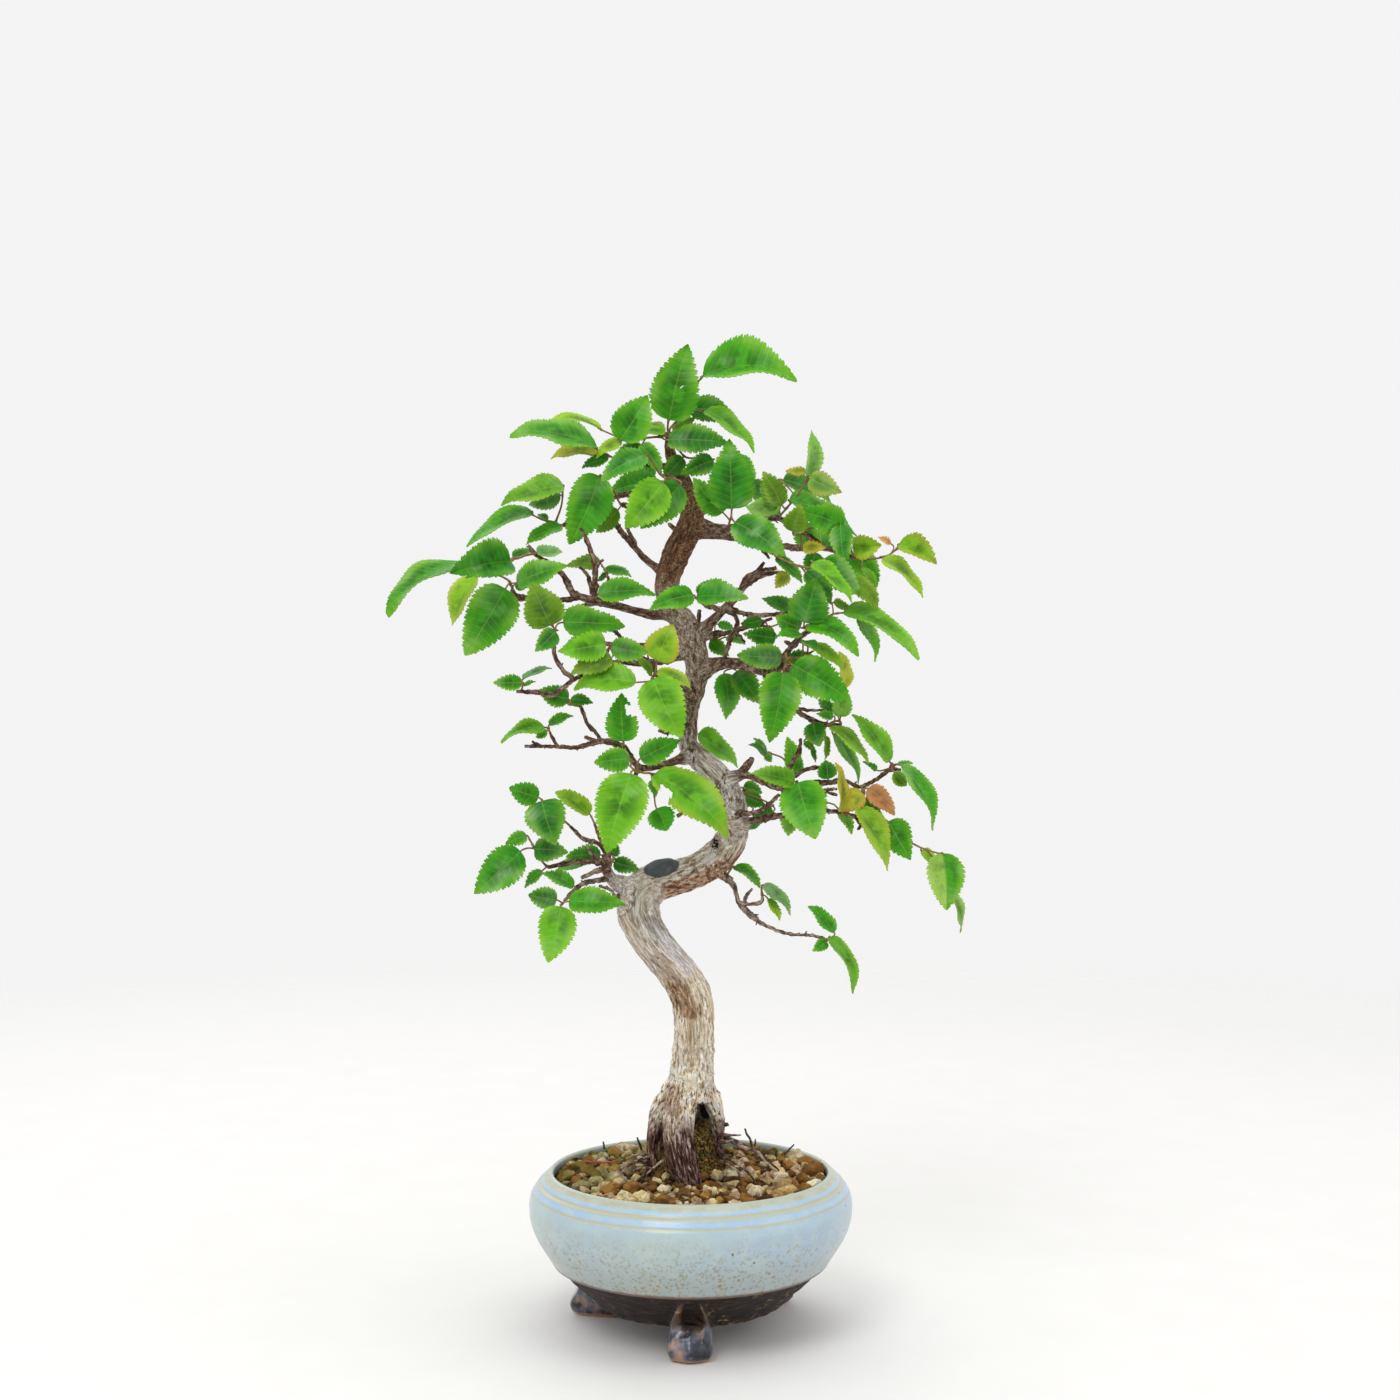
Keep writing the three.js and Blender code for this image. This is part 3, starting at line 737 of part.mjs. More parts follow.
// The trunk, a smooth curve through its rows with low flutes that wind up it.
function trunk(grow = 0) {
  const curve = new THREE.CatmullRomCurve3(TRUNK.map(([x, z, y]) => seen(x, z, y)), false, 'centripetal');
  const points = [];
  const radii = [];
  for (let step = 0; step <= TRUNK_STEPS; step += 1) {
    const share = step / TRUNK_STEPS;
    const place = share * (TRUNK.length - 1);
    const row = Math.min(TRUNK.length - 2, Math.floor(place));
    points.push(curve.getPoint(share));
    radii.push(THREE.MathUtils.lerp(TRUNK[row][3], TRUNK[row + 1][3], place - row) + grow);
  }
  return tube(points, radii, TRUNK_SIDES, (angle, share) => 1 + FLUTE * Math.cos(2 * angle + 9 * share));
}

// The woody base, which stands in the soil.
function rootStock(grow = 0) {
  return Manifold.union([trunk(grow), ...ROOTS.map((rows) => limb(rows, grow))]);
}

function treeWood() {
  return joined([rootStock(), ...LIMBS.map((rows) => limb(rows))]);
}

// The points of a stem from its rows of x, z and depth.
function stemPoints(rows) {
  return rows.map(([x, z, y]) => seen(x, z, deep(y)));
}

function stemTube(points) {
  const last = points.length - 1;
  const radii = points.map((_, i) => THREE.MathUtils.lerp(STEM_R[0], STEM_R[1], i / last));
  return tube(points, radii, STEM_SIDES);
}

// The first stem of a shoot, with its foot moved along its own line to stand just off the wood.
function seatStem(points, wood) {
  const [foot, next, ...rest] = points;
  const reach = foot.distanceTo(next);
  const outward = foot.clone().sub(next).normalize();
  let seated = null;
  for (let length = SEAT_SHORTEST; length < reach + SEAT_REACH; length += SEAT_STEP) {
    const moved = [next.clone().addScaledVector(outward, length), next, ...rest];
    if (wood.minGap(stemTube(moved), GAP) < GAP) {
      return seated;
    }
    seated = moved;
  }
  throw new Error(`a stem misses the wood near ${foot.toArray()}`);
}

// The place on a line of points that is nearest to a point, as a distance along the line.
function nearestAlong(points, target) {
  let best = { distance: Infinity, along: 0 };
  let passed = 0;
  for (let i = 0; i < points.length - 1; i += 1) {
    const line = new THREE.Line3(points[i], points[i + 1]);
    const share = line.closestPointToPointParameter(target, true);
    const distance = line.at(share, new THREE.Vector3()).distanceTo(target);
    if (distance < best.distance) {
      best = { distance, along: passed + share * line.distance() };
    }
    passed += line.distance();
  }
  return best;
}

// The point at a distance along a line of points.
function pointAlong(points, distance) {
  let left = Math.max(0, distance);
  for (let i = 0; i < points.length - 1; i += 1) {
    const length = points[i].distanceTo(points[i + 1]);
    if (left <= length) {
      return points[i].clone().lerp(points[i + 1], left / length);
    }
    left -= length;
  }
  return points[points.length - 1].clone();
}

// The way a leaf lies: its base, and the directions along it, across it and out of its upper
// face. A leaf that shows less than its own width is rolled so that its upper face looks up.
function lieOf(row, slide, swing) {
  const [, baseX, baseZ, tipX, tipZ, shown, depth, lean = 0, arch = ARCH, fold = FOLD] = row;
  const base = seen(baseX, baseZ, deep(depth) + slide);
  const tip = seen(tipX, tipZ, deep(depth) + slide + lean + swing);
  const along = tip.clone().sub(base).normalize();
  const length = base.distanceTo(tip);
  const width = Math.max(shown, WIDTH_SHARE * length);
  const roll = Math.acos(shown / width);
  const middle = base.clone().lerp(tip, 0.5);
  const toEye = EYE.clone().sub(middle);
  toEye.addScaledVector(along, -toEye.dot(along)).normalize();
  const upward = along.clone().cross(toEye);
  if (upward.dot(new THREE.Vector3(SIDE_LEAN * Math.sign(middle.x), 0, 1)) < 0) {
    upward.negate();
  }
  const out = toEye.clone().multiplyScalar(Math.cos(roll)).addScaledVector(upward, Math.sin(roll));
  const across = upward.multiplyScalar(Math.cos(roll)).addScaledVector(toEye, -Math.sin(roll));
  const thick = BLADE * Math.hypot(1, fold, ARCH_SLOPE * arch);
  return { base, along, across, out, length, half: width / 2, arch, fold, thick };
}

// A point of a blade at t of its length, offset mm from the midrib, on the skin at a level.
function bladePoint(lie, t, offset, level) {
  const rise = lie.length * lie.arch * 4 * t * (1 - t) + lie.fold * Math.abs(offset) + level * lie.thick;
  return lie.base.clone()
    .addScaledVector(lie.along, lie.length * t)
    .addScaledVector(lie.across, offset)
    .addScaledVector(lie.out, rise);
}

// How far the plain outline of a leaf stands from its midrib, as a share of the widest place.
function swell(t) {
  const widest = BASE_POWER / (BASE_POWER + TIP_POWER);
  const most = widest ** BASE_POWER * (1 - widest) ** TIP_POWER;
  return (t ** BASE_POWER * (1 - t) ** TIP_POWER) / most;
}

// One margin of a leaf between base and tip, as places along it and shares of the half width.
function marginOf(length) {
  let teeth = length < SMALL_LEAF ? 1 : 2;
  if (length >= BIG_LEAF) {
    teeth = 3;
  }
  const step = TOOTHED / Math.max(2, teeth);
  const rows = teeth > 1 ? [[SHOULDER, swell(SHOULDER)]] : [];
  for (let tooth = 0; tooth < teeth; tooth += 1) {
    const peak = SHOULDER + step * (tooth + TOOTH_LEAN);
    const notch = SHOULDER + step * (tooth + 1);
    rows.push([peak, swell(peak) * TOOTH_PEAK], [notch, swell(notch) * TOOTH_NOTCH]);
  }
  return rows;
}

// A corner ring of a stalk: its four corners round a point.
function stalkRing(point, across, out, width, thick) {
  return [[-1, 1], [1, 1], [1, -1], [-1, -1]].map(([side, level]) => point.clone()
    .addScaledVector(across, side * width)
    .addScaledVector(out, (level * thick) / 2));
}

// The rings of the stalk that runs from the base of a leaf to a point on its stem.
function stalkRings(lie, foot) {
  const toward = lie.base.clone().sub(foot);
  const reach = toward.length();
  toward.normalize();
  const turn = new THREE.Quaternion().setFromUnitVectors(lie.along, toward);
  const turned = [lie.across, lie.out].map((axis) => axis.clone().applyQuaternion(turn));
  const end = stalkRing(foot, ...turned, STALK_ROOT, STALK_ROOT);
  if (lie.along.angleTo(toward) < SHARP_TURN || reach < 3 * KNEE) {
    return [end];
  }
  const half = new THREE.Quaternion().slerp(turn, 0.5);
  const halfway = [lie.across, lie.out].map((axis) => axis.clone().applyQuaternion(half));
  const knee = lie.base.clone().addScaledVector(lie.along, -KNEE);
  return [stalkRing(knee, ...halfway, STALK, lie.thick), end];
}

// A blade from a place t on, with the rings of its stalk. Each half is split from the same point
// of the midrib on both faces.
function leafSolid(lie, start, rings) {
  const margin = marginOf(lie.length).filter(([t]) => t > start);
  const rim = [
    [start, -STALK],
    ...margin.map(([t, share]) => [t, -share * lie.half]),
    [1, 0],
    ...margin.reverse().map(([t, share]) => [t, share * lie.half]),
    [start, STALK],
  ];
  const points = [[HEART, 0], ...rim].flatMap(([t, offset]) => [
    bladePoint(lie, t, offset, 0.5),
    bladePoint(lie, t, offset, -0.5),
  ]);
  const triangles = [];
  for (let i = 1; i <= rim.length; i += 1) {
    const next = (i % rim.length) + 1;
    triangles.push([0, 2 * i, 2 * next], [1, 2 * next + 1, 2 * i + 1]);
    if (next > i) {
      triangles.push([2 * i, 2 * i + 1, 2 * next + 1], [2 * i, 2 * next + 1, 2 * next]);
    }
  }
  let ring = [2, 2 * rim.length, 2 * rim.length + 1, 3];
  for (const corners of rings) {
    const first = points.length;
    points.push(...corners);
    for (let i = 0; i < 4; i += 1) {
      const next = (i + 1) % 4;
      triangles.push([ring[i], ring[next], first + next], [ring[i], first + next, first + i]);
    }
    ring = [first, first + 1, first + 2, first + 3];
  }
  triangles.push([ring[0], ring[1], ring[2]], [ring[0], ring[2], ring[3]]);
  return solidFrom(points, triangles);
}

// The point inside its stem at which the stalk of a leaf starts.
function stalkFoot(lie, stems) {
  const places = stems.map((points) => ({ points, ...nearestAlong(points, lie.base) }));
  places.sort((a, b) => a.distance - b.distance);
  const { points, distance, along } = places[0];
  const back = Math.max(STALK_SINK, STALK_RAKE * distance);
  const foot = pointAlong(points, Math.max(STALK_SINK, along - back));
  if (foot.distanceTo(lie.base) < STALK_SINK) {
    return lie.base.clone().addScaledVector(lie.along, -STALK_SINK);
  }
  return foot;
}

function boxesMeet(a, b, margin) {
  return [0, 1, 2].every((axis) => a.min[axis] < b.max[axis] + margin && b.min[axis] < a.max[axis] + margin);
}

// Whether a solid stands clear of every other one by the gap.
function standsClear(solid, box, others) {
  return others.every((other) => !boxesMeet(box, other.box, GAP) || solid.minGap(other.solid, GAP) >= GAP);
}

function boxed(solid) {
  return { solid, box: solid.boundingBox() };
}

// A leaf at the first of its places that crosses nothing. Its own stems and stalks may only
// touch the foot of its blade.
function placeLeaf(row, shoot, others) {
  for (const slide of SLIDES) {
    for (const swing of SWINGS) {
      const lie = lieOf(row, slide, swing);
      const whole = boxed(leafSolid(lie, 0, stalkRings(lie, stalkFoot(lie, shoot.stems))));
      const blade = boxed(leafSolid(lie, BLADE_FOOT, []));
      const own = [...shoot.parts, ...shoot.leaves].filter(({ box }) => boxesMeet(blade.box, box, 0));
      if (standsClear(blade.solid, blade.box, shoot.blades)
        && standsClear(whole.solid, whole.box, others)
        && own.every(({ solid }) => blade.solid.intersect(solid).isEmpty())) {
        return { whole, blade };
      }
    }
  }
  throw new Error(`no free place for a leaf of ${shoot.name} with its base at ${row[1]}, ${row[2]}`);
}

// All the shoots: their stems are seated first, then their leaves find their places in turn.
function growShoots(wood, putty) {
  const fixed = [boxed(wood), boxed(putty)];
  const shoots = SHOOTS.map(([name, stemRows, leafRows]) => {
    const lines = stemRows.map(stemPoints);
    const stems = [seatStem(lines[0], wood), ...lines.slice(1)];
    const parts = stems.map((points) => boxed(stemTube(points)));
    return { name, stems, leafRows, parts, leaves: [], blades: [] };
  });
  for (const shoot of shoots) {
    for (const row of shoot.leafRows) {
      const others = shoots.filter((other) => other !== shoot)
        .flatMap(({ parts, leaves }) => [...parts, ...leaves]);
      const { whole, blade } = placeLeaf(row, shoot, [...fixed, ...others]);
      shoot.leaves.push(whole);
      shoot.blades.push(blade);
    }
  }
  return shoots;
}

// One foot: a stout block with a full toe and two ridges that run up the wall of the bowl.
function foot(angle) {
  const direction = THREE.MathUtils.degToRad(angle);
  const out = new THREE.Vector3(Math.cos(direction), Math.sin(direction), 0);
  const side = new THREE.Vector3(-out.y, out.x, 0);
  const corners = ([, half, inner, ridge, flank, middle]) => {
    const shoulder = ridge - Math.min(FOOT_SHOULDER, 0.55 * (ridge - inner));
    return [
      [inner, half * 0.8], [inner, -half * 0.8], [shoulder, -half], [ridge - 0.5, -half * 0.9],
      [ridge, -half * 0.7], [flank, -half * 0.35], [middle, 0], [flank, half * 0.35],
      [ridge, half * 0.7], [ridge - 0.5, half * 0.9], [shoulder, half],
    ];
  };
  const rings = FOOT_SECTIONS.map((section) => corners(section).map(([r, across]) => new THREE.Vector3()
    .addScaledVector(out, r)
    .addScaledVector(side, across)
    .setZ(section[0])));
  const outline = corners(FOOT_SECTIONS[0]).map(([r, across]) => new THREE.Vector2(r, across));
  return loft(rings, outline);
}

// A body turned about the pot's axis, from a profile of radii and heights.
function turned(profile, sides) {
  const points = profile.map(([r, z]) => new THREE.Vector2(r, z));
  const geometry = new THREE.LatheGeometry(points, sides);
  geometry.rotateX(Math.PI / 2);
  return solidOf(geometry);
}

// The bowl with its drain hole and three feet.
function pot() {
  const bowl = turned([
    [BASE_R, BASE_Z], [47.7, 20], [53, 25], [57.6, 30.8], [61.4, 36.6], [63.6, 42],
    [BELLY_R, BELLY_Z], [63, 54], [60, 57.5], [57, 60.5], [55.6, RIM_TOP], [RIM_INSIDE_R, 60.5],
    [55.5, 56], [59, 48], [56, 37], [50, 26.5], [42, 18.5], [36, FLOOR_Z], [DRAIN_R, FLOOR_Z],
    [DRAIN_R, BASE_Z], [BASE_R, BASE_Z],
  ], POT_SIDES);
  return Manifold.union([bowl, ...FOOT_ANGLES.map(foot)]);
}

// A repeatable sequence of numbers between 0 and 1.
function sequence(seed) {
  let state = seed;
  return () => {
    state = (state * 16807) % 2147483647;
    return state / 2147483647;
  };
}

// The height of the soil at a distance from the axis.
function soilHeight(distance) {
  return THREE.MathUtils.mapLinear(distance, 0, RIM_INSIDE_R, SOIL_TRUNK_Z, SOIL_RIM_Z);
}

// The soil with its coarse grains and the heap between the roots, cut free of the wood.
function soil() {
  const mass = turned([
    [0, SOIL_BOTTOM_Z], [40.9, SOIL_BOTTOM_Z], [49.5, 26.6], [55.6, 37], [58.6, 48], [55.1, 56],
    [54.7, SOIL_RIM_Z],
    [1.8 * HEAP_R, soilHeight(1.8 * HEAP_R)], [1.1 * HEAP_R, 68], [0.7 * HEAP_R, HEAP_Z], [0, HEAP_Z],
  ], SOIL_SIDES);
  const random = sequence(GRAIN_SEED);
  const grains = [];
  for (let i = 0; i < GRAINS; i += 1) {
    const distance = GRAIN_FIELD * Math.sqrt((i + 0.7) / GRAINS);
    const angle = i * GOLDEN_ANGLE + 0.5 * random();
    const radius = THREE.MathUtils.lerp(GRAIN_R[0], GRAIN_R[1], random());
    const grain = new THREE.IcosahedronGeometry(radius, 0);
    grain.rotateX(3 * random());
    grain.rotateY(3 * random());
    grain.scale(1, 0.8 + 0.2 * random(), 0.75);
    grain.translate(distance * Math.cos(angle), distance * Math.sin(angle), soilHeight(distance) + 0.3);
    grains.push(solidOf(grain));
  }
  return largestBody(joined([mass, ...grains]).subtract(rootStock(GAP + 0.1)));
}

// The plastic mesh over the drain hole.
function drainageMesh() {
  const plate = Manifold.cube([MESH_SIDE, MESH_SIDE, MESH_THICK], true);
  const holes = [];
  for (const x of [-MESH_PITCH, 0, MESH_PITCH]) {
    for (const y of [-MESH_PITCH, 0, MESH_PITCH]) {
      holes.push(Manifold.cube([MESH_HOLE, MESH_HOLE, 2 * MESH_THICK], true).translate([x, y, 0]));
    }
  }
  return plate.subtract(Manifold.union(holes)).translate([0, 0, FLOOR_Z + GAP + MESH_THICK / 2]);
}

// The wire that holds the mesh: over it, down through the drain hole and out under the base.
function drainageWire() {
  const top = FLOOR_Z + 2 * GAP + MESH_THICK + WIRE_R + 0.1;
  const under = BASE_Z - GAP - WIRE_R;
  const bend = 2 * WIRE_R;
  const half = [
    [WIRE_LEG_X - bend, top], [WIRE_LEG_X, top - bend], [WIRE_LEG_X, under + bend],
    [WIRE_LEG_X + bend, under], [WIRE_FOOT_X, under],
  ];
  const path = [...half.map(([x, z]) => [-x, z]).reverse(), ...half];
  const points = path.map(([x, z]) => new THREE.Vector3(x, 0, z));
  return tube(points, points.map(() => WIRE_R), 6);
}

// Wound putty smeared over the top of the lowest bend.
function woundPutty() {
  const blob = new THREE.SphereGeometry(1, 16, 10);
  blob.scale(...PUTTY_SIZE);
  blob.rotateY(PUTTY_TILT);
  blob.translate(...seen(...PUTTY_PLACE).toArray());
  return largestBody(solidOf(blob).subtract(trunk(GAP)));
}

const group = new THREE.Group();
group.name = 'korean_hornbeam_bonsai';

function addPiece(name, solid, colour, roughness, metalness = 0) {
  const material = new THREE.MeshStandardMaterial({ color: colour, roughness, metalness });
  const mesh = new THREE.Mesh(geometryOf(solid), material);
  mesh.name = name;
  group.add(mesh);
}

const wood = treeWood();
const putty = woundPutty();
addPiece('pot', pot(), '#9db8b4', 0.3);
addPiece('drainage_mesh', drainageMesh(), '#23262a', 0.6);
addPiece('drainage_wire', drainageWire(), '#b9bcc0', 0.35, 1);
addPiece('soil', soil(), '#8f6f4e', 0.95);
addPiece('tree_wood', wood, '#8a7460', 0.85);
addPiece('wound_putty', putty, '#5b646c', 0.8);
for (const { name, parts, leaves, leafRows } of growShoots(wood, putty)) {
  const solid = joined([...parts, ...leaves].map((piece) => piece.solid));
  addPiece(name, solid, LEAF_COLOURS[leafRows[0][0]], 0.5);
}

export default group;
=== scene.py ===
import math
import random
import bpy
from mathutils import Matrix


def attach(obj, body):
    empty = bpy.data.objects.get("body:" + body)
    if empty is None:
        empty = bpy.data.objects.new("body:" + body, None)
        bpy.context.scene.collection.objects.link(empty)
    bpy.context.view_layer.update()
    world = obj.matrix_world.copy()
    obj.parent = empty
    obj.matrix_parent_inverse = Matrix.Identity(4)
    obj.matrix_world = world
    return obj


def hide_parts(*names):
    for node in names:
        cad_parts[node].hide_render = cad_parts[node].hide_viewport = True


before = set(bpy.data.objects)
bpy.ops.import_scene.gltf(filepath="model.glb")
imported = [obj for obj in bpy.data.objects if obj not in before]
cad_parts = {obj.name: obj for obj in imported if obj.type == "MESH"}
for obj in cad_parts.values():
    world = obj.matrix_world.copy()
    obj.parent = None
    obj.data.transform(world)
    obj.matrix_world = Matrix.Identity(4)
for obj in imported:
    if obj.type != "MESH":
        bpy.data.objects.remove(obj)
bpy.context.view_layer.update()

from types import SimpleNamespace

import bmesh
import bpy
import numpy as np
from mathutils import Vector, noise
from mathutils.kdtree import KDTree

# A Korean hornbeam bonsai in a glazed bowl on three feet. Lengths are in mm until a mesh is made.
MM = 0.001
BODY = "root"

# The eye that the tables are seen from, and how the depths in them are stretched.
EYE = np.array((3.8, -780.0, 249.0))
FRONT_DEPTH = 1.7
REAR_DEPTH = 1.15
LENS = 50.14
SENSOR = 36

# The lie of a leaf, as in the solids.
BLADE = 0.64
WIDTH_SHARE = 0.6
ARCH = 0.06
FOLD = 0.16
BASE_POWER = (0.36, 0.46)
TIP_POWER = (0.76, 0.94)
HEART = 0.45
ARCH_SLOPE = 2.8
SIDE_LEAN = 0.4
STALK_SINK = 0.6
STALK_RAKE = 0.35
SLIDES = (0, -2, 2, -4, 4, -6, 6, -8, 8, -10, 10, -12, 12, -15, 15, -18, 18)
SWINGS = (0, -4, 4, -8, 8)

# The fine blade: its teeth and the veins that run to them, the rows of points beside each tooth
# (place between two veins, and how far the tooth stands out), and its relief as shares of the
# length. A hole narrower than HOLE_LIMIT draws the blade in round it.
VEIN_RAKE = 0.6
SKIN = 0.14
PLEAT = 0.009
WAVE = 0.026
CURL = 0.04
SWAY = 0.04
TWIST = 0.4
MIDRIB_GROOVE = 0.1
MIDRIB_KEEL = 0.3
TOOTH_ROWS = ((0.0, -1.0), (0.28, -0.05), (0.45, -0.4), (0.7, 0.12), (0.92, 0.15))
TOOTH_DEPTH = (0.55, 0.06)
BASE_ROWS = ((0, 0), (0.04, 0), (0.16, 0), (0.36, -0.4), (0.5, 0.1), (0.72, -0.7), (0.88, 0.1))
VEIN_PHASE = 0.6
COLUMNS = (-1, -0.72, -0.4, -0.1, 0, 0.1, 0.4, 0.72, 1)
NO_BLADE = {"blade": (0, 0, 0, 0), "tone": (0, 0, 0, 0), "rim": (0, 0, 0, 0)}
BASE_HALF = 0.32
TIP_HALF = 0.08
HOLE_LIMIT = 0.15

# Stalks and young stems: their radii and the reach of a stalk's swelling on its stem.
STALK_R = 0.3
STEM_R = (0.52, 0.34)
JOINT_REACH = 6

# Kinds of leaf: colour and gloss.
LEAF_KINDS = {
    "m": ("#459f14", 0.5), "b": ("#6cb51c", 0.45), "d": ("#2b8012", 0.5), "o": ("#68911c", 0.4),
    "y": ("#9ccb2b", 0.35), "g": ("#c8c436", 0.3), "s": ("#33901a", 0.95), "p": ("#95cb55", 0.5),
    "r": ("#e8966a", 0.3), "w": ("#74a862", 0.7),
}

# The wood. A limb whose foot is at least STOUT_FROM in radius shares the trunk's skin down to
# STOUT_TO. The relief of the bark has scales across and along the grain. The knot hole has its
# place in x, z and depth, and the rim stands out round it.
WOOD_VOXEL = 0.62
SKIN_ROUNDS = 3
SEAM_ROUNDS = 4
BARK_SCALES = ((0.42, 0.06), (1.2, 0.2), (0.2, 0.028), (0.7, 0.3))
LUMP_SCALE = 0.33
TRUNK_SIDES = 40
ROOT_SIDES = 24
STOUT_SIDES = 16
STOUT_FROM = 1.6
STOUT_TO = 1.25
FLUTE = 0.05
SPUR = ((-0.2, 0.42), (0.35, 0.34), (0.75, 0.3), (1.0, 0.14))
KNOT = (10.7, 191.2, -6.5)
KNOT_R = 1.9
KNOT_RIM = 0.6
KNOT_SQUASH = (1, 0, 0.62)
PUTTY_SIZE = (7.1, 5.6, 3.9)
PUTTY_TILT = -0.2
PUTTY_PLACE = (-11.7, 182.2, -1.5)
PUTTY_SIDES = 64
PUTTY_RINGS = 31

# The bowl: profiles of radii and heights, and its feet.
OUTER_WALL = (
    (51.6,26.9), (53.4,25.9), (54.9,26.0), (55.8,27.4), (57.9,30.7), (61.5,36.5), (63.7,42), (64.4,47.8),
    (64.1,51.2), (62.9,54.2), (60.3,57.3), (58.4,59.3), (57,60.5),
)
LIP = ((57, 60.5), (56.4, 61.15), (55.6, 61.5), (54.9, 61.2), (54.6, 60.5))
INNER_WALL = (
    (54.6,60.5), (54.8,58), (55.5,56), (58,52), (59,48), (58.3,42), (56,37), (50.8,27.8), (51.6,26.9),
)
WALL_MIDDLE = ((27, 37, 48, 56, 60.5, 61.5), (53.2, 58.9, 61.7, 58.5, 55.8, 55.4))
GROOVES = (57.6, 53.9)
BASE_PROFILE = (
    (6,9.8), (36.6,9.8), (37.7,10.2), (38.6,11.4), (42.6,15.4), (47.8,20.0), (51.4,23.4), (53.8,25.8),
    (54.4,27.4), (52.4,28.2), (50,26.5), (42,18.5), (36,15.5), (6,15.5),
)
WALL_SIDES = 200
BASE_SIDES = 120
CLAY_VOXEL = 0.76
CLAY_DENTS = 0.26
FOOT_ANGLES = (270, 160, 40)
FOOT_SHOULDER = 4
HOLLOW_SHIFT = 0.16
FOOT_SECTIONS = (
    (0,6.6,31,46,47,47.4), (0.6,7.6,30.4,48,49.4,50), (2.6,8.6,29.5,49.4,51.2,52),
    (4.5,8.8,29.5,49.4,51,52), (6,8.8,29.5,48.9,50.4,51.2), (9.4,8.5,29.8,47,48.2,49),
    (11.8,8.1,30,45.9,45.9,46.6), (12.9,7.9,30,45.8,42.8,42), (14,7.6,30,46.2,41.6,40.6),
    (17,6.8,41.5,48.2,43.4,42.8), (20.5,5.6,45,51,47,46.4), (23.8,4.4,48.5,53,49.8,49.4),
)

# The soil: the bed, then the grains in sizes (least and greatest radius, how many, and how many
# tries), and the moss.
BED_SIDES = 160
SOIL_RIM_Z = 58.9
SOIL_TRUNK_Z = 60.4
SOIL_HEAP = 20.2
RIM_INSIDE_R = 54.6
BED_R = 55.0
BED_UNDER = ((55.2, 54), (58.6, 48), (55.5, 37), (49.4, 26.7), (40.8, 18.6))
GRAIN_FIELD = 53.2
GRAIN_SIZES = ((2.3, 3.7, 140, 4000), (1.5, 2.3, 340, 9000), (0.9, 1.5, 850, 22000),
               (0.45, 0.9, 1700, 26000))
GRAIN_APART = 0.74
GRAIN_SPANS = ((0.95, 1.45), (0.8, 1.1), (0.65, 0.95))
GRAIN_CUTS = 7
SMALL_GRAIN = 0.9
CELL = 7
HEAP_EDGE = 15
MOSS_SPIKES = 900
MOSS_HEAP_R = 23

# Stems, rootlets and litter on the soil: rows of x, z, depth and radius.
DEAD_STEMS = (
    ((-19.6,69,10,0.5), (-20.6,72,9,0.45), (-21.4,74,8,0.3)),
    ((-34.4,69.4,16,0.5), (-34.8,71,16,0.4), (-34.9,72.4,16,0.3)),
    ((24.4,70,9,0.55), (23.9,73,9,0.5), (22.2,76,8,0.42), (21.8,77.6,8,0.4)),
    ((25.6,70.6,12,0.4), (26.1,72.4,12,0.35), (25.9,73.4,12,0.25)),
    ((37.4,67.6,14,0.4), (39.6,69.4,14,0.35), (41.4,71.2,13,0.3)),
    ((13.4,79,0,0.9), (14.6,79.2,-1,0.75), (15.2,78.8,-1.4,0.35)),
)
FINE_ROOTS = (
    ((11,74.6,-2,0.9), (14,75.2,-4,0.6), (17,74.9,-5,0.45), (20.2,75,-6,0.3)),
    ((11.6,72.4,-3,1.0), (14.4,72.2,-6,0.7), (18,72.8,-8,0.55), (20.4,71.4,-9,0.45)),
    ((16,72.6,-7,0.75), (21.4,70,-9,0.7), (26.6,68.4,-10,0.65), (29.4,65.2,-11,0.55), (31.4,62.6,-12,0.5),
     (34.8,60.6,-13,0.35)),
    ((13.4,66,-5,0.6), (17.6,64.4,-9,0.55), (21.6,61.6,-12,0.45), (25,59.6,-14,0.4)),
    ((12,64.8,-6,0.5), (15.8,62.6,-11,0.45), (19,60.4,-14,0.4), (21.6,58.2,-17,0.3)),
    ((-9.6,66.2,-11,0.5), (-12.4,63.8,-13,0.5), (-15,61.6,-15,0.4), (-17.8,59.4,-18,0.3)),
    ((-16,66.4,-4,0.5), (-20,65.4,-8,0.45), (-24.4,63.2,-12,0.35), (-28,61.8,-14,0.25)),
    ((-17,64.6,-5,0.45), (-21.4,64.2,-9,0.4), (-25.6,62.2,-12,0.3), (-27.4,60.2,-14,0.25)),
    ((-18,63,-6,0.4), (-21,61.6,-10,0.35), (-23.6,60.6,-12,0.3)),
    ((-16.4,67.4,-3,0.4), (-21.8,66.8,-6,0.35), (-26.2,65.4,-9,0.25)),
)
NEEDLE = ((-43, 64.6, -6, 0.28), (-38, 64.2, -8, 0.4), (-33, 64, -9, 0.42), (-29.4, 64.6, -10, 0.22))

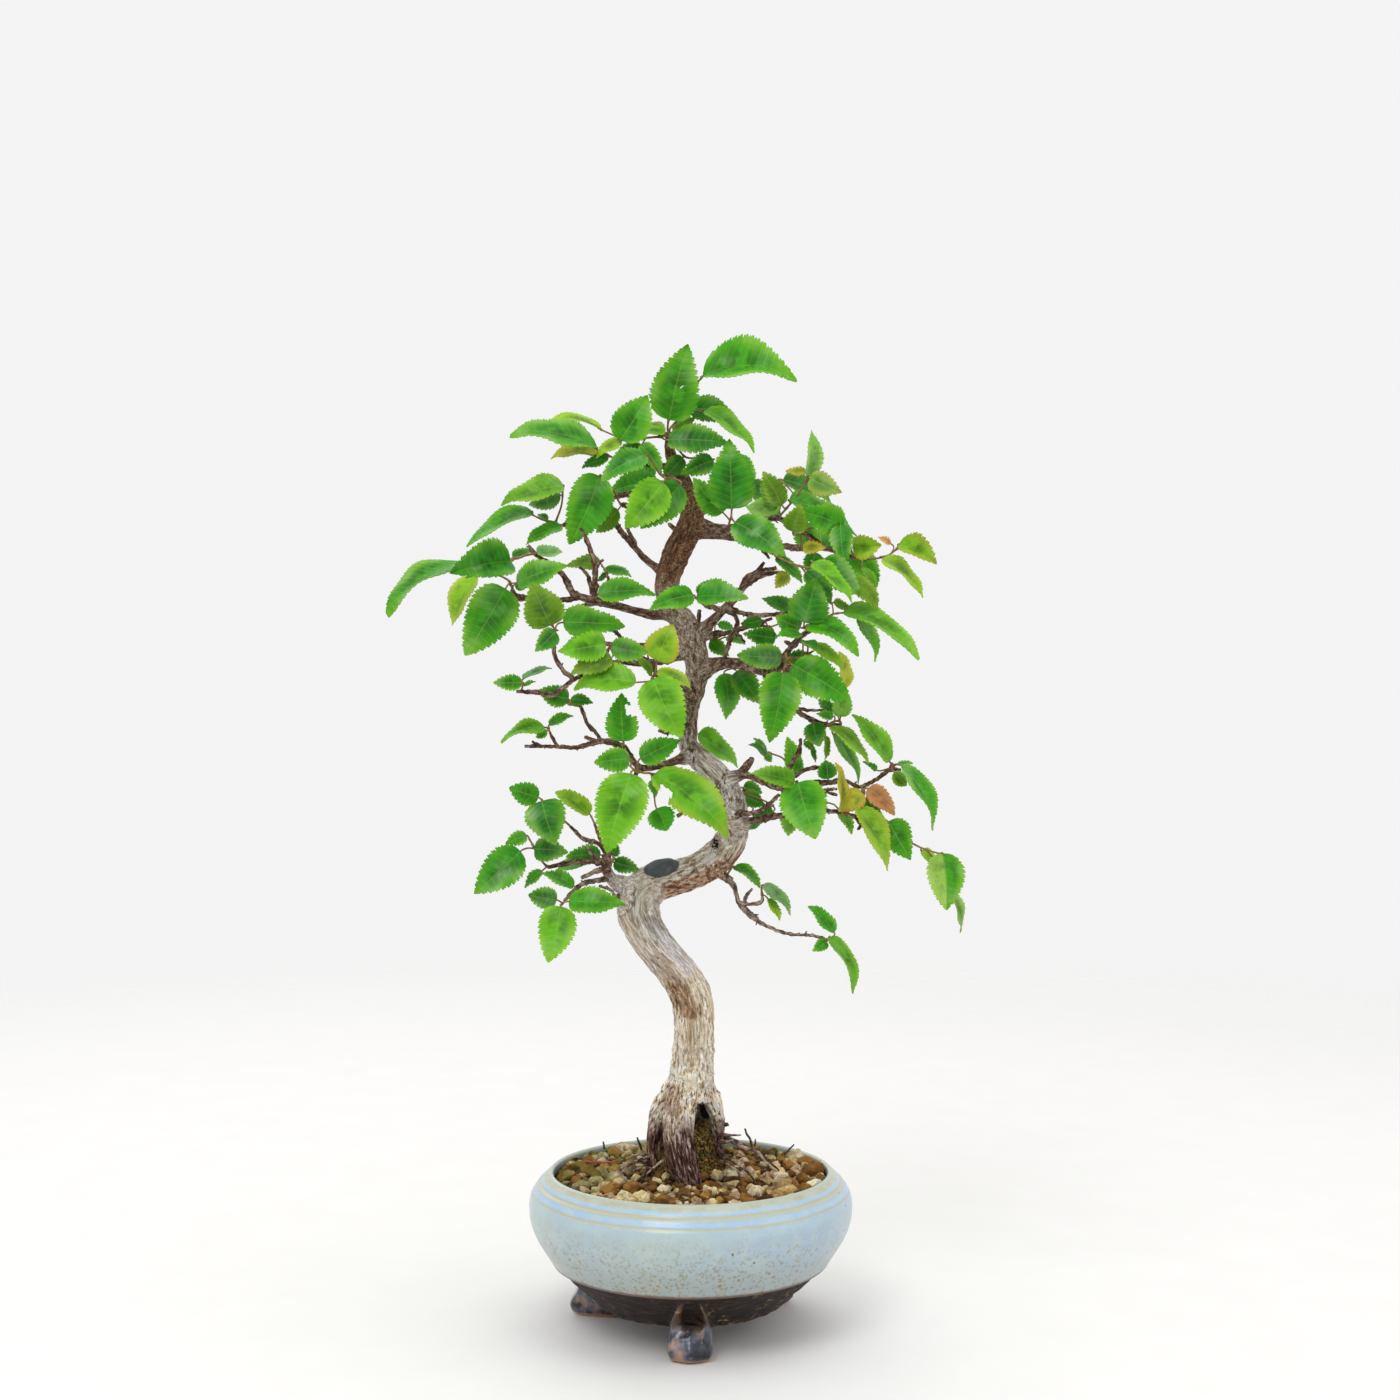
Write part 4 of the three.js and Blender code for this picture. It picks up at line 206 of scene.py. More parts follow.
# Marks on single leaves, by shoot and place in its table: bites and holes (place along, place
# across, and half sizes of both), a side of another colour (-1 is the left side), and a coloured
# rim with its strength.
GONE = {
    ("top", 0): ((0.45, 0.28, 0.013, 0.08),),
    ("spur_left", 0): ((0.6, 0.95, 0.11, 0.5), (0.7, 0.6, 0.06, 0.25)),
    ("spur_right", 1): ((0.24, -0.86, 0.075, 0.5), (0.2, -0.5, 0.05, 0.2)),
}
PALE_SIDES = {("tip_right", 0): (-1, "#a4cc58")}
RIMS = {
    ("spur_right", 1): ("#c9a648", 0.25), ("left_mid", 3): ("#d8d46a", 0.7),
    ("front_low", 2): ("#d6c94a", 0.5), ("front_low", 4): ("#d9a23c", 0.45),
    ("right_reach", 0): ("#b87434", 0.4), ("right_reach", 2): ("#b06a32", 0.4),
    ("right_crown", 7): ("#dd8f4c", 0.35), ("right_crown", 5): ("#c8863c", 0.35),
    ("right_front", 3): ("#c98a3a", 0.5), ("autumn", 0): ("#d2603a", 0.4),
    ("autumn", 1): ("#c2603a", 0.55), ("autumn", 3): ("#d9993c", 0.4), ("autumn", 4): ("#d9a45a", 0.25),
}

# The room: its colour and light, the lamps (name, place, target, size, power) and the floor.
ROOM = (0.9, 0.9, 0.9)
ROOM_LIGHT = 1.0
LIGHTS = (
    ("key", (-0.5, -1.1, 1.5), (0, 0, 0.2), 0.8, 8.5),
    ("top", (0.25, -0.1, 1.6), (0, 0, 0.2), 1.2, 4),
    ("side", (1.3, -0.5, 0.6), (0, 0, 0.2), 0.9, 1.5),
    ("rear", (-0.6, 1.2, 1.0), (0, 0, 0.2), 1.0, 2.5),
)
FLOOR_R = 1.6
FLOOR_SIDES = 96
FLOOR_FADE = (1300, 450)

# The tree. The trunk, each root and each limb are a row of points: x, z, depth and radius on the
# line of sight. Each shoot has its stems, rows of points x, z and depth, and its leaves: kind,
# base x and z, tip x and z, width shown, depth, lean, arch and fold.
TRUNK = [
  -0.9,91,0.5,10.8, 0.3,97,0,9.6, 1.2,109,-1,8.3, 1.4,120,-1.5,8.3, 0.4,130,-1.5,8.5, -2.4,136,-1,8.2,
  -6.4,141.5,-0.5,7.8, -10.6,146.4,0,7.5, -15,152,0.5,7.5, -18.7,158,1,7.8, -20.9,164.5,2,8.3,
  -20,171.3,2.5,8.2, -14.5,175.6,3,7.4, -7.5,177.6,3,6.8, 0,179.8,2.5,6.4, 6.5,183,1.5,6.5, 12,187.3,0,6.4,
  16,193,-1.5,6, 17.6,199.5,-3,5.8, 17,206,-4,5.4, 14.8,213,-4.5,5.3, 10,219.5,-4,5.2, 4,225,-2.5,4.8,
  -0.6,230.3,0,4.2, -1,236,2,3.8, -0.5,242,3.5,3.6, 0.2,248,4,3.9, 2,254.5,4,4.4, 2.8,262,4,4.9,
  1.3,270,3,5.3, -1,277.5,2,5, -5,283,1,4.8, -8.2,288.5,0,4.8, -9.4,294,0,4.8, -8.4,300,0,5,
  -4.4,310,-1,5.3, -0.4,318,-1,5, 0.8,325,0,4.3, -1,332,1,3.6, -4.5,340,2,2.9, -8,347.5,2.5,2.2,
  -8.6,356.5,3,1.3,
]

ROOTS = [
  [-6.5,93,0,6, -12.2,84.5,-2.5,3.8, -15.1,75,-3,2.3, -15.5,66,-3,2.3, -16.2,58,-4,2.8, -18,50,-5,2.6],
  [-1.5,94,-1,7.5, -4.8,83,-5,6.3, -4.9,73,-7,5.9, -3,63.5,-8.5,5.6, -0.2,55,-10,4.6, 0.5,47,-11,3.6],
  [5,94,1,6, 9.6,86,0,3.7, 11.1,78.5,0,2.6, 11,71,1.5,2.5, 11.8,61,3,2.8, 13,51,4,2.6],
  [2.5,92,4,7, 4.5,80,9,5.4, 6,68,13,4.6, 8.5,56,17,3.6],
  [-5,92,4,7, -8.5,79,9,5.2, -11.5,67,13,4.4, -15,55,17,3.4],
  [11,74.6,1,2, 16,73.4,0,1, 22,70.4,-1,0.85, 28,67.4,-1,0.7, 35.5,60.6,-2,0.5],
  [10,69,0,1.9, 16,65.4,-5,0.8, 23,60,-10,0.6, 27,54.5,-13,0.5],
  [-15.5,62,-4,1.6, -20,57.6,-9,0.7, -25,53.5,-13,0.6, -28,50.5,-16,0.5],
]

LIMBS = [
  # Left, upper tier.
  [-6.5,284,1,3, -12,283.2,-2,2.3, -16,283.2,-4,2, -22,284.6,-6,1.7, -30,286.8,-8,1.7, -36,288.3,-10,1.8,
   -42,289.7,-11,1.6, -47,291.8,-12,1.3, -51,299,-13,1.1, -56,303,-14,1, -61.5,307,-14.5,0.9,
   -65,311,-15,0.6],
  [-38.6,288.6,-10,1.3, -38.2,296,-11,1.1, -38.2,303,-12,1.1, -40,309,-12,0.9, -43.8,317.8,-12,0.7],
  [-39.4,291.5,-10.5,0.9, -40,295,-12,0.8, -41.2,299,-14,0.7, -44.2,302,-16,0.5],
  [-38.3,302.5,-12,0.7, -35,305.2,-13,0.5],
  [-34,288,-9,1.1, -41,287.2,-6,0.9, -48.8,284.5,-3,0.6],
  [-43.5,290.2,-11,1.2, -51,289,-10,0.9, -60,289.3,-10,0.9, -66,289.7,-11,1, -74.5,288.6,-12,0.6],
  [-66.5,289.8,-11,1.1, -70.5,291.2,-13,1, -71.2,293,-14,0.8],
  [-30.8,288,-8,0.8, -31.4,292.5,-9,0.7, -33.2,298.2,-10,0.6],
  [-10,299.5,0,2.4, -13.5,302,3,1.7, -18,305.2,7,1.5, -22.5,310.3,10,1.3, -28,316.6,13,1.1,
   -31,320.5,15,0.8],
  [-22,309.6,10,1.1, -23.6,314,12,0.9, -25.4,318.2,15,0.7],
  [-6.5,317.5,-1,1, -8.6,319.5,-2,0.6],
  # Crown.
  [-1.5,333.5,0,2, -6,336.6,-4,1.6, -10,338,-7,1.1],
  [-5.5,341.5,2,1.7, -14,343,0,1.2, -24,344.2,-2,1, -31,345.8,-3.5,0.8],
  [-2.5,336,3,2, -10,334.5,12,1.6, -22,332,23,1.4, -36,328.5,33,1.1, -45,322,37,1, -51,318.8,38,0.8],
  [-2,329.5,2,1.9, -12,328,5,1.4, -20,326.4,7,1.2, -27.4,327,8,1.1],
  # Right, upper tier.
  [2.5,318.6,-1,3, 9,317.6,-4,2.3, 15,317.2,-8,1.7, 20,314.6,-11,1.3, 27,311.2,-15,0.9, 33,307.6,-19,0.7],
  [26.5,311.6,-14.5,0.7, 31.4,305.8,-17,0.5],
  [14,317.2,-7,1.6, 25,319.4,-8,1.2, 35,321.6,-8,1.1, 45,316.2,-9,1, 55,309.4,-10,0.9, 65,306,-12,0.7],
  [4,276,1,2.6, 9,281,-3,2, 13,285,-6,1.8, 17,288.8,-8,1.6, 22,295,-11,1.4, 28,298.6,-13,1.1,
   35,300.2,-15,0.6],
  [20.5,293,-10,1, 22,297.6,-8,1, 27,300.4,-8,0.9, 34.5,301.8,-8,0.7],
  [26.5,300.4,-8,0.7, 29.6,304.2,-8,0.6],
  [13,285,-6,1.2, 7,286.8,-10,1, 3.4,288.8,-12.5,0.8],
  [3.6,284.8,-4.5,0.8, 3,279,-1.5,0.9, 1.5,275.5,1,1],
  [14.5,286.4,-7,1.2, 20,284,-9,0.9, 30,283,-12,0.8, 43,284.6,-15,0.6],
  [14,284.8,-6,1, 18.2,282.4,-7,0.9, 18.6,279,-7,0.8, 16.2,274,-6,0.8, 14.6,269,-5,0.8, 13,264.4,-3,0.8],
  [3.6,274.6,2,2, 12,275.4,1,1.1, 17,276.3,-1,0.9, 22,278,-3,0.9, 28,279,-5,0.8, 31.2,277.8,-6,0.6],
  [18,276,-1.4,0.7, 22,272,-2,0.5],
  [27,279,-5,0.7, 32.6,281.8,-6,0.5],
  # Right, middle tier.
  [3,259.5,3.5,3.4, 9.5,262.4,0,2.5, 15,263.8,-4,2.2, 19.5,263,-7,1.9, 24,261.2,-11,1.6, 30,260.2,-15,1.4,
   35.6,261.5,-18,1.3, 37,266,-19,1.1, 41,270.8,-21,1.1, 43.6,274,-22,1, 47,276.2,-23,0.8,
   50.2,277.2,-24,0.6],
  [35.8,262.3,-18,0.9, 40.4,259.4,-17,0.6],
  [41,270.8,-21,0.9, 37.6,272.6,-20,0.5],
  [43,273,-21.8,0.8, 47.6,270.6,-21,0.5],
  [29,260.2,-14.5,1.3, 35,253.5,-14,1.1, 40,247.4,-13,1.1, 44,243.6,-13,1, 48,241.4,-13,1, 52,239.6,-13,1,
   59.6,238.9,-13,0.7],
  [41.5,245.8,-13,0.8, 46,245,-12,0.6, 54.4,245,-12,0.5],
  # Right, lower tier.
  [16,218,-4.5,2.4, 22,219,-7,1.6, 28,216.8,-10,1.2, 35,213.8,-13,1.1, 42,214.2,-16,1, 50,215.8,-17,1.2,
   56,216,-17,1, 61,217,-17,0.8, 67.5,214.3,-17,0.7, 71,215.4,-17,0.8, 76,218.4,-18,0.8, 80,221.2,-18,0.9,
   84.2,221,-18,0.6],
  [19.5,219.6,-5.5,1.5, 22.6,222.4,-7,1.4, 24.6,225.8,-8,1.1],
  [23.4,223.6,-7.5,0.9, 19.4,221,-9,0.6],
  [33.5,214.4,-12.4,0.9, 38.6,220.6,-10,0.8, 41.4,224.8,-10,0.9, 43.4,228.4,-11,0.8, 44.2,233.6,-12,0.6],
  [36,214,-13.4,0.9, 42,218.8,-15,0.8, 47,221.4,-16,0.8, 52.8,222.2,-17,0.6],
  [44,215,-16.4,0.7, 52,213.1,-21,0.6, 58.6,213.4,-24,0.5],
  [51,213.3,-20.6,0.6, 58.6,210.9,-23,0.5],
  [15.8,204.6,-4,1.6, 23,203.6,-9,1, 28.4,205,-12,0.9, 35.4,211,-16,0.7],
  [28,204.8,-11.8,0.7, 33.2,207,-15,0.5],
  [16.5,199.5,-3.5,2.6, 21.6,200.2,-5,1.9, 28,201.4,-8,1.3, 34,202.5,-11,1.2, 41,203.4,-14,1,
   50,204.8,-17,0.9, 61,203.9,-20,0.8, 66,202.2,-20,0.7, 72.6,199.4,-18,0.6],
  [65.6,202.4,-20,0.6, 68.2,199,-21,0.6, 66.8,197.2,-22,0.5],
  [12,180.5,0,2, 13.6,177.8,-2,1.3, 17.2,175,-3,1.2, 18.4,171,-4,0.9, 21,165.4,-5,0.85, 29.8,159,-6,0.75,
   39.8,155.4,-7,0.55, 50,154.6,-9,0.6, 53.8,153.2,-10,0.5],
  [19.6,167.9,-4.5,0.8, 25,167.3,-6,0.7, 28.8,168.8,-7,0.8, 28.6,171,-7,0.5],
  [21.8,167.6,-5,0.6, 22,170,-6,0.7, 24.6,173.6,-7,0.5],
  [20.6,166.6,-5,0.8, 27,161.6,-8,0.5],
  [14.2,178.4,-2,1.1, 16.4,177.4,-4,0.6],
  # Left, middle tier.
  [-0.5,250.5,3,2.2, -4,253.6,-3,1.9, -10,258.2,-9,1.6, -14,259.4,-13,1.1],
  [-14,259.4,-13,0.9, -15,263.2,-14,0.7, -19,266.4,-15,0.5],
  [-1.5,267.6,2,1.8, -10,264.6,-4,1.2, -20,263.6,-8,1.2, -28,264.2,-12,1.1, -35,262.6,-15,1,
   -41.5,259.6,-18,0.9, -47,257,-19,0.9, -52,253,-20,0.9, -55,251.2,-20,1, -62,252.1,-20,0.8,
   -69.5,252.4,-20,0.7],
  [-32,263.6,-14,1, -34.6,266.4,-15,1, -33,269.2,-16,0.7],
  [-35,266.6,-15,0.8, -37,264,-16,0.5],
  [-46.5,257.2,-19,0.9, -51,261,-20,0.8, -54,266,-20,0.8, -54.8,270,-20,0.8, -54.4,276.8,-19,0.6],
  [-26,264.4,-11,0.8, -28.6,275,-6,0.8, -32,277.4,-6,0.5],
  [-0.5,226.5,-1,2.6, -6,224.6,-6,1.8, -12,222.8,-10,1.5, -20,222,-14,1.4, -24,226,-15,1.3,
   -26.5,230,-15,1.2, -30,231.6,-16,1.1, -36,232.6,-16,1.1, -40,231.6,-16,1, -46,230.1,-16,0.9,
   -54,230.4,-15,0.7, -66.5,230.5,-14,0.6],
  [-37,232.4,-16,0.8, -42.2,234.2,-18,0.6],
  [-60.5,230.5,-14.5,0.6, -63.4,232.6,-14,0.5],
  [-20.6,222.6,-14,1.1, -22,219,-16,0.8],
  [-35.4,232.4,-16,0.8, -38,236,-15,0.7, -41.4,239.8,-14,0.7, -42.8,243.6,-14,0.7, -44.4,246.8,-14,0.7,
   -48,247.2,-14,0.5],
  [-53,230.4,-15,0.7, -54.2,232,-15,0.6, -56.2,236,-15,0.5],
  [11,213,-4.5,1.5, 3,207.6,-8,1, -5.4,202.6,-10,0.8],
  [-1,238,1.5,1.1, -9,236,-3,0.8, -12.6,236.6,-5,0.6],
  # Left, lower tier, from the crook of the trunk.
  [-26,174.5,2,3.4, -31,177,-1,2.6, -33.4,181,-4,2.1, -33.6,185,-6,1.8, -32.8,188.2,-7,1.3],
  [-33,184,-5,1.4, -42,184.6,-8,1, -50,183.6,-10,0.9, -57,182.2,-12,0.8],
  [-32.5,180.6,-3,1.5, -36.5,181,-8,1, -43.6,177.8,-11,0.8],
  [-31.5,178.4,-2,1.5, -36,177,-4,1, -42,176,-6,0.9, -46.4,173,-10,0.8, -50.4,168.6,-13,0.7],
  [-33.6,183,-5,1.1, -38,186.2,-9,0.8, -42,190.4,-11,0.6],
  [-33,187,-6.4,1, -37,191.6,-7,0.9, -43,193.6,-8,0.8, -48,198.4,-9,0.6],
  [-33,187.6,-6.6,0.9, -36.4,194,-4,0.7, -38.4,199.6,-3,0.6],
  [-27.5,171,1,1.2, -30,170.6,-2,0.7, -32,173,-4,0.6, -36.4,174.6,-6,0.5],
  # Rear limbs, which carry the shoots behind the trunk.
  [0,326,1,2.2, -5,331,12,1.6, -9,333.6,26,1.1],
  [0.5,322,1,2.2, 10,328,13,1.6, 18,332,28,1.1],
  [-0.5,316,1,2.4, 16,314.4,16,1.8, 34,311,30,1.4, 48,309,40,1],
  [2.5,263,5,2.4, 14,264.6,16,1.7, 30,263,28,1.3, 42,262,36,0.9],
  [0,271,4,2.4, -12,270.4,15,1.7, -26,271,28,1.2, -36,271.6,36,0.9],
]

SHOOTS = [
  ["top", [[-9,356.4,3, -8.8,361,2, -6,368,5, 0,373,6, 5,378.5,4]], [
    ["m",-8.5,361,-1,391.5,20,0,-4], ["m",5,378.5,42.5,378,16,4,-2,0.2,0.5]]],
  ["top_right", [[-7.6,358.4,5, -4,361.6,7, 0,364.3,8, 6,364.4,8]], [
    ["d",0,366,21.5,358,10,11,5], ["b",6,365,26,348.5,7,5,-3], ["o",-6,356,2,362,5,10,2]]],
  ["top_left", [[-9.6,354.5,0, -14,354.2,-3, -20,353.6,-5, -27,353,-7, -31,355,-3, -36,357.2,1]], [
    ["d",-9,353,15,352,11.5,-4,-4], ["m",-28,353,-17,371,16,-8,1], ["b",-10,356,-29,354.5,4,-3,-8],
    ["o",-12,355.5,-18,359.5,6,-2,2], ["d",-20,351,-29.5,348,6,-3,2], ["y",-28,353,-38,346,5,-6,2],
    ["y",-36,357.5,-57,361,3,3,2,0.1], ["m",-20,351,-11,339,7,-9,-3]]],
  ["crown_left", [[-31.6,346.2,-4, -35,348,-5, -38.5,350,-6]], [
    ["m",-37.5,350,-72,356,10,-7,-6,0.1], ["g",-37,347,-56,346,5,-3,4,0.1],
    ["d",-33,346,-43.5,342,5,-6,-1]]],
  ["crown_front", [[-10.8,338.2,-8, -13,340.4,-12, -15,344,-13, -17.6,347,-14]], [
    ["s",-18,347,-36,337,10,-15,-5], ["b",-11,336,-26,318,16,-16,-2], ["d",-4,335,-20,317.5,15,-10,1]]],
  ["crown_mid", [[-7,351,0, -4.6,348.9,-2, -2,346.2,-3, 3,345.6,-2, 9,345.2,-2]], [
    ["d",-3,346,-11,338,8,-3,2], ["d",9,345,-4,339,9,-5,-2]]],
  ["crown_right", [[15.4,319.4,-9, 16.2,322,-11, 16.5,325.5,-13]], [
    ["s",16.5,325.5,15.5,353.5,19,-14,-7], ["s",18,320,38,307,14,-16,-6], ["m",13,324,1,338,11,-10,0]]],
  ["left_near", [[-28.4,328,7, -31,333,2, -35.6,338.6,-4]], [
    ["m",-36.5,338.5,-48.5,311.5,18,-6,-4], ["b",-34,328,-45,314.5,8,2,2], ["o",-29,325,-38,316,8,7,5]]],
  ["left_shoulder", [[-52,319,38, -55,320.3,38, -59,321,37, -63.5,323.2,36], [-54,320,38, -51.6,327,37,
    -51,333.6,36]], [
    ["m",-63.5,324.5,-90,311,7,36,-3], ["m",-51.5,318.5,-66,311.5,6,36,-4], ["m",-57.5,321,-61,323.5,3,38],
    ["b",-51,335,-76,327.5,10,35,-5], ["w",-52,331,-65,327,9,34,-4]]],
  ["left_far", [[-62,307.6,-15, -66,306.8,-16, -71,305.2,-17, -80,303.6,-19.6, -89,303.4,-22]], [
    ["m",-90,304,-122,284,7.5,-23.2,-13,0.1], ["s",-72,304.5,-96,300,15,-20,-7,0.08,0.7],
    ["d",-71,306,-63,309,4,-12,4], ["w",-61.5,308,-51,308.4,5,-12,5]]],
  ["left_mid", [[-71.3,293.7,-15, -72.6,296.6,-17, -76,298.6,-17, -80,300,-16, -85.5,300.4,-15]], [
    ["m",-69.5,296,-49.5,303,10,-19,-3], ["m",-70,295.2,-65.5,294,4,-15,2],
    ["m",-74,293.5,-90,267,19.5,-22,-7], ["y",-86,299,-96,279,8.5,-14,4],
    ["m",-81,300.8,-90,298,2.5,-20,-3]]],
  ["left_low", [[-54.4,277.2,-19, -55.4,279,-20]], [
    ["o",-55.8,279,-63.5,295.5,16,-21,-3], ["m",-51,280,-26,279,12,-16,5],
    ["d",-54,276.4,-62,268.5,8,-22,-5]]],
  ["left_twigs", [[-33.3,298.6,-10, -33.8,300.6,-9, -35.4,302.6,-7]], [
    ["o",-36,303.5,-49.5,303,6,-7,2], ["d",-34.6,301,-23.5,298.5,4,-8,-2],
    ["d",-33,299.4,-37.4,296.6,2.4,-9,-1]]],
  ["branch_left", [[-37.6,290.4,-12.6, -36.4,291.6,-14]], [
    ["m",-37,291.5,-14,292,9,-14,1]]],
  ["trunk_front", [[3,289,-13.4, 2,290,-15]], [
    ["m",1,291,-16.5,285.5,9.5,-15.5,-3], ["s",3,290.4,23,290,10,-15,-5,0.06,0.5],
    ["d",3,291.4,7,297,4,-13]]],
  ["left_spur", [[-32.8,269.6,-17, -32,270.6,-19]], [
    ["m",-31.5,270.5,-17,268,9.5,-19,-2], ["b",-34,271.5,-53,268.5,12,-20,-4],
    ["m",-34,268.4,-39,268.6,3.4,-13,2], ["o",-31.6,266,-48,259.5,9.5,-9,5]]],
  ["front_low", [[-15,258.2,-14, -15.4,257,-17, -16,256,-19], [-15.1,257.9,-15.2, -13.8,261,-15.6,
    -13.6,264,-15.2]], [
    ["b",-22,256,-47,254,10.5,-22,9,0.12], ["o",-15.6,259,-21.5,266,3.4,-17,-3],
    ["y",-13.6,259.8,0.5,253.5,5,-18,2,0.14], ["b",-15,257.5,-3.5,234,18,-21,-4],
    ["y",-13.5,264.8,-7,279.4,14,-15.5]]],
  ["twig_end", [[-67.4,253.5,-20, -67.1,256,-21]], [
    ["m",-67.5,256,-79,256,6.5,-22,-1], ["w",-67,257.4,-55.5,262,2.6,-20,3],
    ["m",-66.4,254.8,-62,256.5,1.8,-21]]],
  ["twig_top", [[-48.6,247.3,-14, -49.6,248,-14]], [
    ["d",-48.8,249.4,-61,253,9,-13.5,1], ["d",-48,249,-39,248,5,-15,-2]]],
  ["bare_twig", [[-56.4,236.5,-15, -57,238,-15.4]], [
    ["b",-58.4,238,-76,232.5,5.6,-16,-3,0.14], ["m",-56.5,239,-47,243,4,-15,2],
    ["m",-57.4,236.6,-62,234,3.6,-17,-1]]],
  ["spur_left", [[-26.8,230.9,-17.2, -26.8,232,-18.6]], [
    ["m",-27,232.4,-27.6,252,13,-19,2]]],
  ["spur_right", [[-21.4,220.4,-16.4, -18.6,219.8,-19, -15.6,219.4,-20, -14.8,215,-20, -14.4,210,-20],
    [-20.6,220.2,-18, -22.6,221,-20, -24.4,223,-20]], [
    ["m",-20,225.6,-4,233,10.5,-17.5,-1], ["b",-14.4,219.4,16,194.5,16.5,-21,-6,0.08],
    ["m",-13.6,205.6,-9.4,196.6,11,-20,1], ["m",-15.4,217,-13.6,210.4,4,-23,-2],
    ["m",-24.4,225.6,-38.5,224,10,-20,-3], ["b",-24,219.5,-33.5,188,20,-22,-8]]],
  ["crook_far", [[-48.4,198.8,-9.6, -53,203,-11, -59.4,208.6,-13]], [
    ["m",-60.8,210,-72.5,214,9.5,-13,-2], ["s",-59.4,208.6,-54,191,16.5,-16,-4]]],
  ["crook_top", [[-38.6,200,-2.6, -39.8,202.6,-2]], [
    ["y",-40.4,203.4,-54,212.5,7.5,-2,3]]],
  ["crook_tip", [[-57.6,182.6,-12, -60.6,186,-13, -62.6,190,-14, -64.6,193.6,-14]], [
    ["m",-65.6,194.8,-74,191.5,6,-14,-2], ["s",-68,188.5,-86.5,171.5,15.5,-15,-5],
    ["d",-62.4,189.4,-49,188,10,-15,-2], ["m",-59.4,180.6,-66.5,174,4.4,-13,1]]],
  ["crook_spur", [[-31.4,184.4,-2.4, -30.6,185.6,0]], [
    ["d",-36,187,-50,186.4,8,0,3], ["d",-30.6,184,-20.5,181,7,1,-1], ["d",-31,186.6,-29,191.4,4.4,1,1],
    ["m",-36.4,184,-55,180.5,4.6,2,2]]],
  ["crook_low", [[-50.8,167.9,-13.4, -51.8,167,-15]], [
    ["d",-53.5,169,-65,171,9,-14,2], ["m",-46.6,174.6,-60,180,6,-9,-1], ["b",-52,166.4,-57,144,15,-17,-5],
    ["m",-48.6,168.4,-26,167.4,10.5,-17,-3]]],
  ["trunk_right", [[16.6,182,-1.6, 17.4,182.4,-2]], [
    ["m",17.6,182.4,28,174,5,-2,-2,0.14]]],
  ["low_right", [[28.6,171.6,-7.2, 28.4,173.6,-8, 28.8,175.2,-8]], [
    ["w",29,175,40.5,163.4,5,-8,-3], ["y",31,169.4,36,161,3.6,-9,-2]]],
  ["low_right_tip", [[54.4,153,-10.3, 55.6,153.8,-11]], [
    ["m",57.4,156,47.5,167,6,-8,3], ["b",55.8,154.2,66,132,5.6,-12,-4,0.1],
    ["m",54.4,152.4,49,148.6,5,-13,-4]]],
  ["right_crown", [[36,322.8,-9, 38,325.2,-10, 41,328.8,-10.6, 44,333,-10.6, 46.6,337.2,-10.6]], [
    ["o",36.6,327,29,340.5,9,-12,-1], ["d",35,326,28,336,7,-6,3], ["d",37,337,57,328,7.5,-4,4],
    ["p",35.5,323.8,22,327,9,-7,4], ["m",39.4,329,67,316,7,-12,2], ["g",46,340,38,340.6,4,-8,2],
    ["p",47,338.4,49,357,6.5,-10,2], ["p",47.6,337.6,60.5,332,10,-11,-2]]],
  ["right_front", [[46,317,-10.4, 50,318,-13, 56,318.6,-14, 60.4,318.2,-14.4], [46.6,317.2,-10.8,
    44,316.6,-13.6, 44.4,312.6,-14.6]], [
    ["m",61,318,43,325,13,-13,-2], ["o",41,316.4,44,327,10,-18,-2], ["s",60,319,62,303,9.5,-16,-3],
    ["g",45,309.6,54.4,310,5.4,-15,-2]]],
  ["right_reach", [[65.9,305.9,-12.2, 71,305.2,-13, 79,306.9,-14, 83.2,310,-14]], [
    ["y",65,310,76.4,311,10,-14,-3,0.06,0.7], ["r",80,311.6,75,314.2,3,-11],
    ["y",83.4,311.4,98.5,303.5,9,-14.5,-3,0.16,0.75], ["m",66,308.6,75,294,10,-10,5],
    ["y",77,305.8,93.5,290.5,5.6,-16,-2], ["b",69,302,74,291.2,3.4,-17,-2]]],
  ["right_belly", [[33.6,307.2,-19.8, 40,303.8,-23, 48,302,-26, 51,303.6,-27, 53,305,-27]], [
    ["b",49,304,65,288.5,6,-31,-3], ["s",53.5,305.4,68,291,12,-27,2], ["d",46,300,57,287.4,8,-23,5],
    ["o",64,297.4,75.5,285.5,7.5,-24,4], ["g",38.4,300,34,293.6,6.4,-16,1], ["d",34.4,306,45,296,5,-11,2]]],
  ["right_heart", [[50.8,277.4,-24.4, 52,280,-24.4, 56,283,-23.6, 64,284.2,-23], [51.2,278.2,-24.4,
    48,277.6,-26, 45,278,-27]], [
    ["s",45.5,280,50,297.5,16,-28,-3], ["m",44,278,34,282.5,9,-24,0], ["m",44,275.4,34.4,274.8,4,-25,-1],
    ["m",47,279,67.5,267,8.5,-28,-5,0.16], ["b",62,285,92,266,8,-23,-4,0.08],
    ["o",57.4,288,64,285,3.6,-20,1], ["b",67,283,74.7,264.5,5.4,-20,3]]],
  ["right_drop", [[38.2,267,-21.2, 39.4,264.4,-23], [38.8,265.6,-22.2, 44,266.2,-22, 50,269,-21]], [
    ["m",41,263,64,249,15.5,-24,-4], ["d",39.4,265.4,49,267,5,-18,3],
    ["m",37,260,31.5,232,16.5,-25,-4,0.05,0.35], ["y",47.6,270.6,61,261.4,5,-23,-1,0.12],
    ["g",62,254,60,268.5,5,-15,2], ["m",45.6,272.6,50.4,269,3.6,-24], ["d",36.4,265.6,18.5,267,10,-20,4]]],
  ["inner_right", [[31.6,278.4,-6.4, 33,277,-8]], [
    ["d",28.4,281,20,279.4,5.6,-2,2], ["d",34,273.8,21,275.6,8,-9,-1], ["d",41,284.4,28.5,290,6,-8,3]]],
  ["mid_right", [[60.2,239,-13.2, 59.6,240.6,-14.4, 57.6,240.4,-15, 54,238.4,-16, 49.6,236.4,-15,
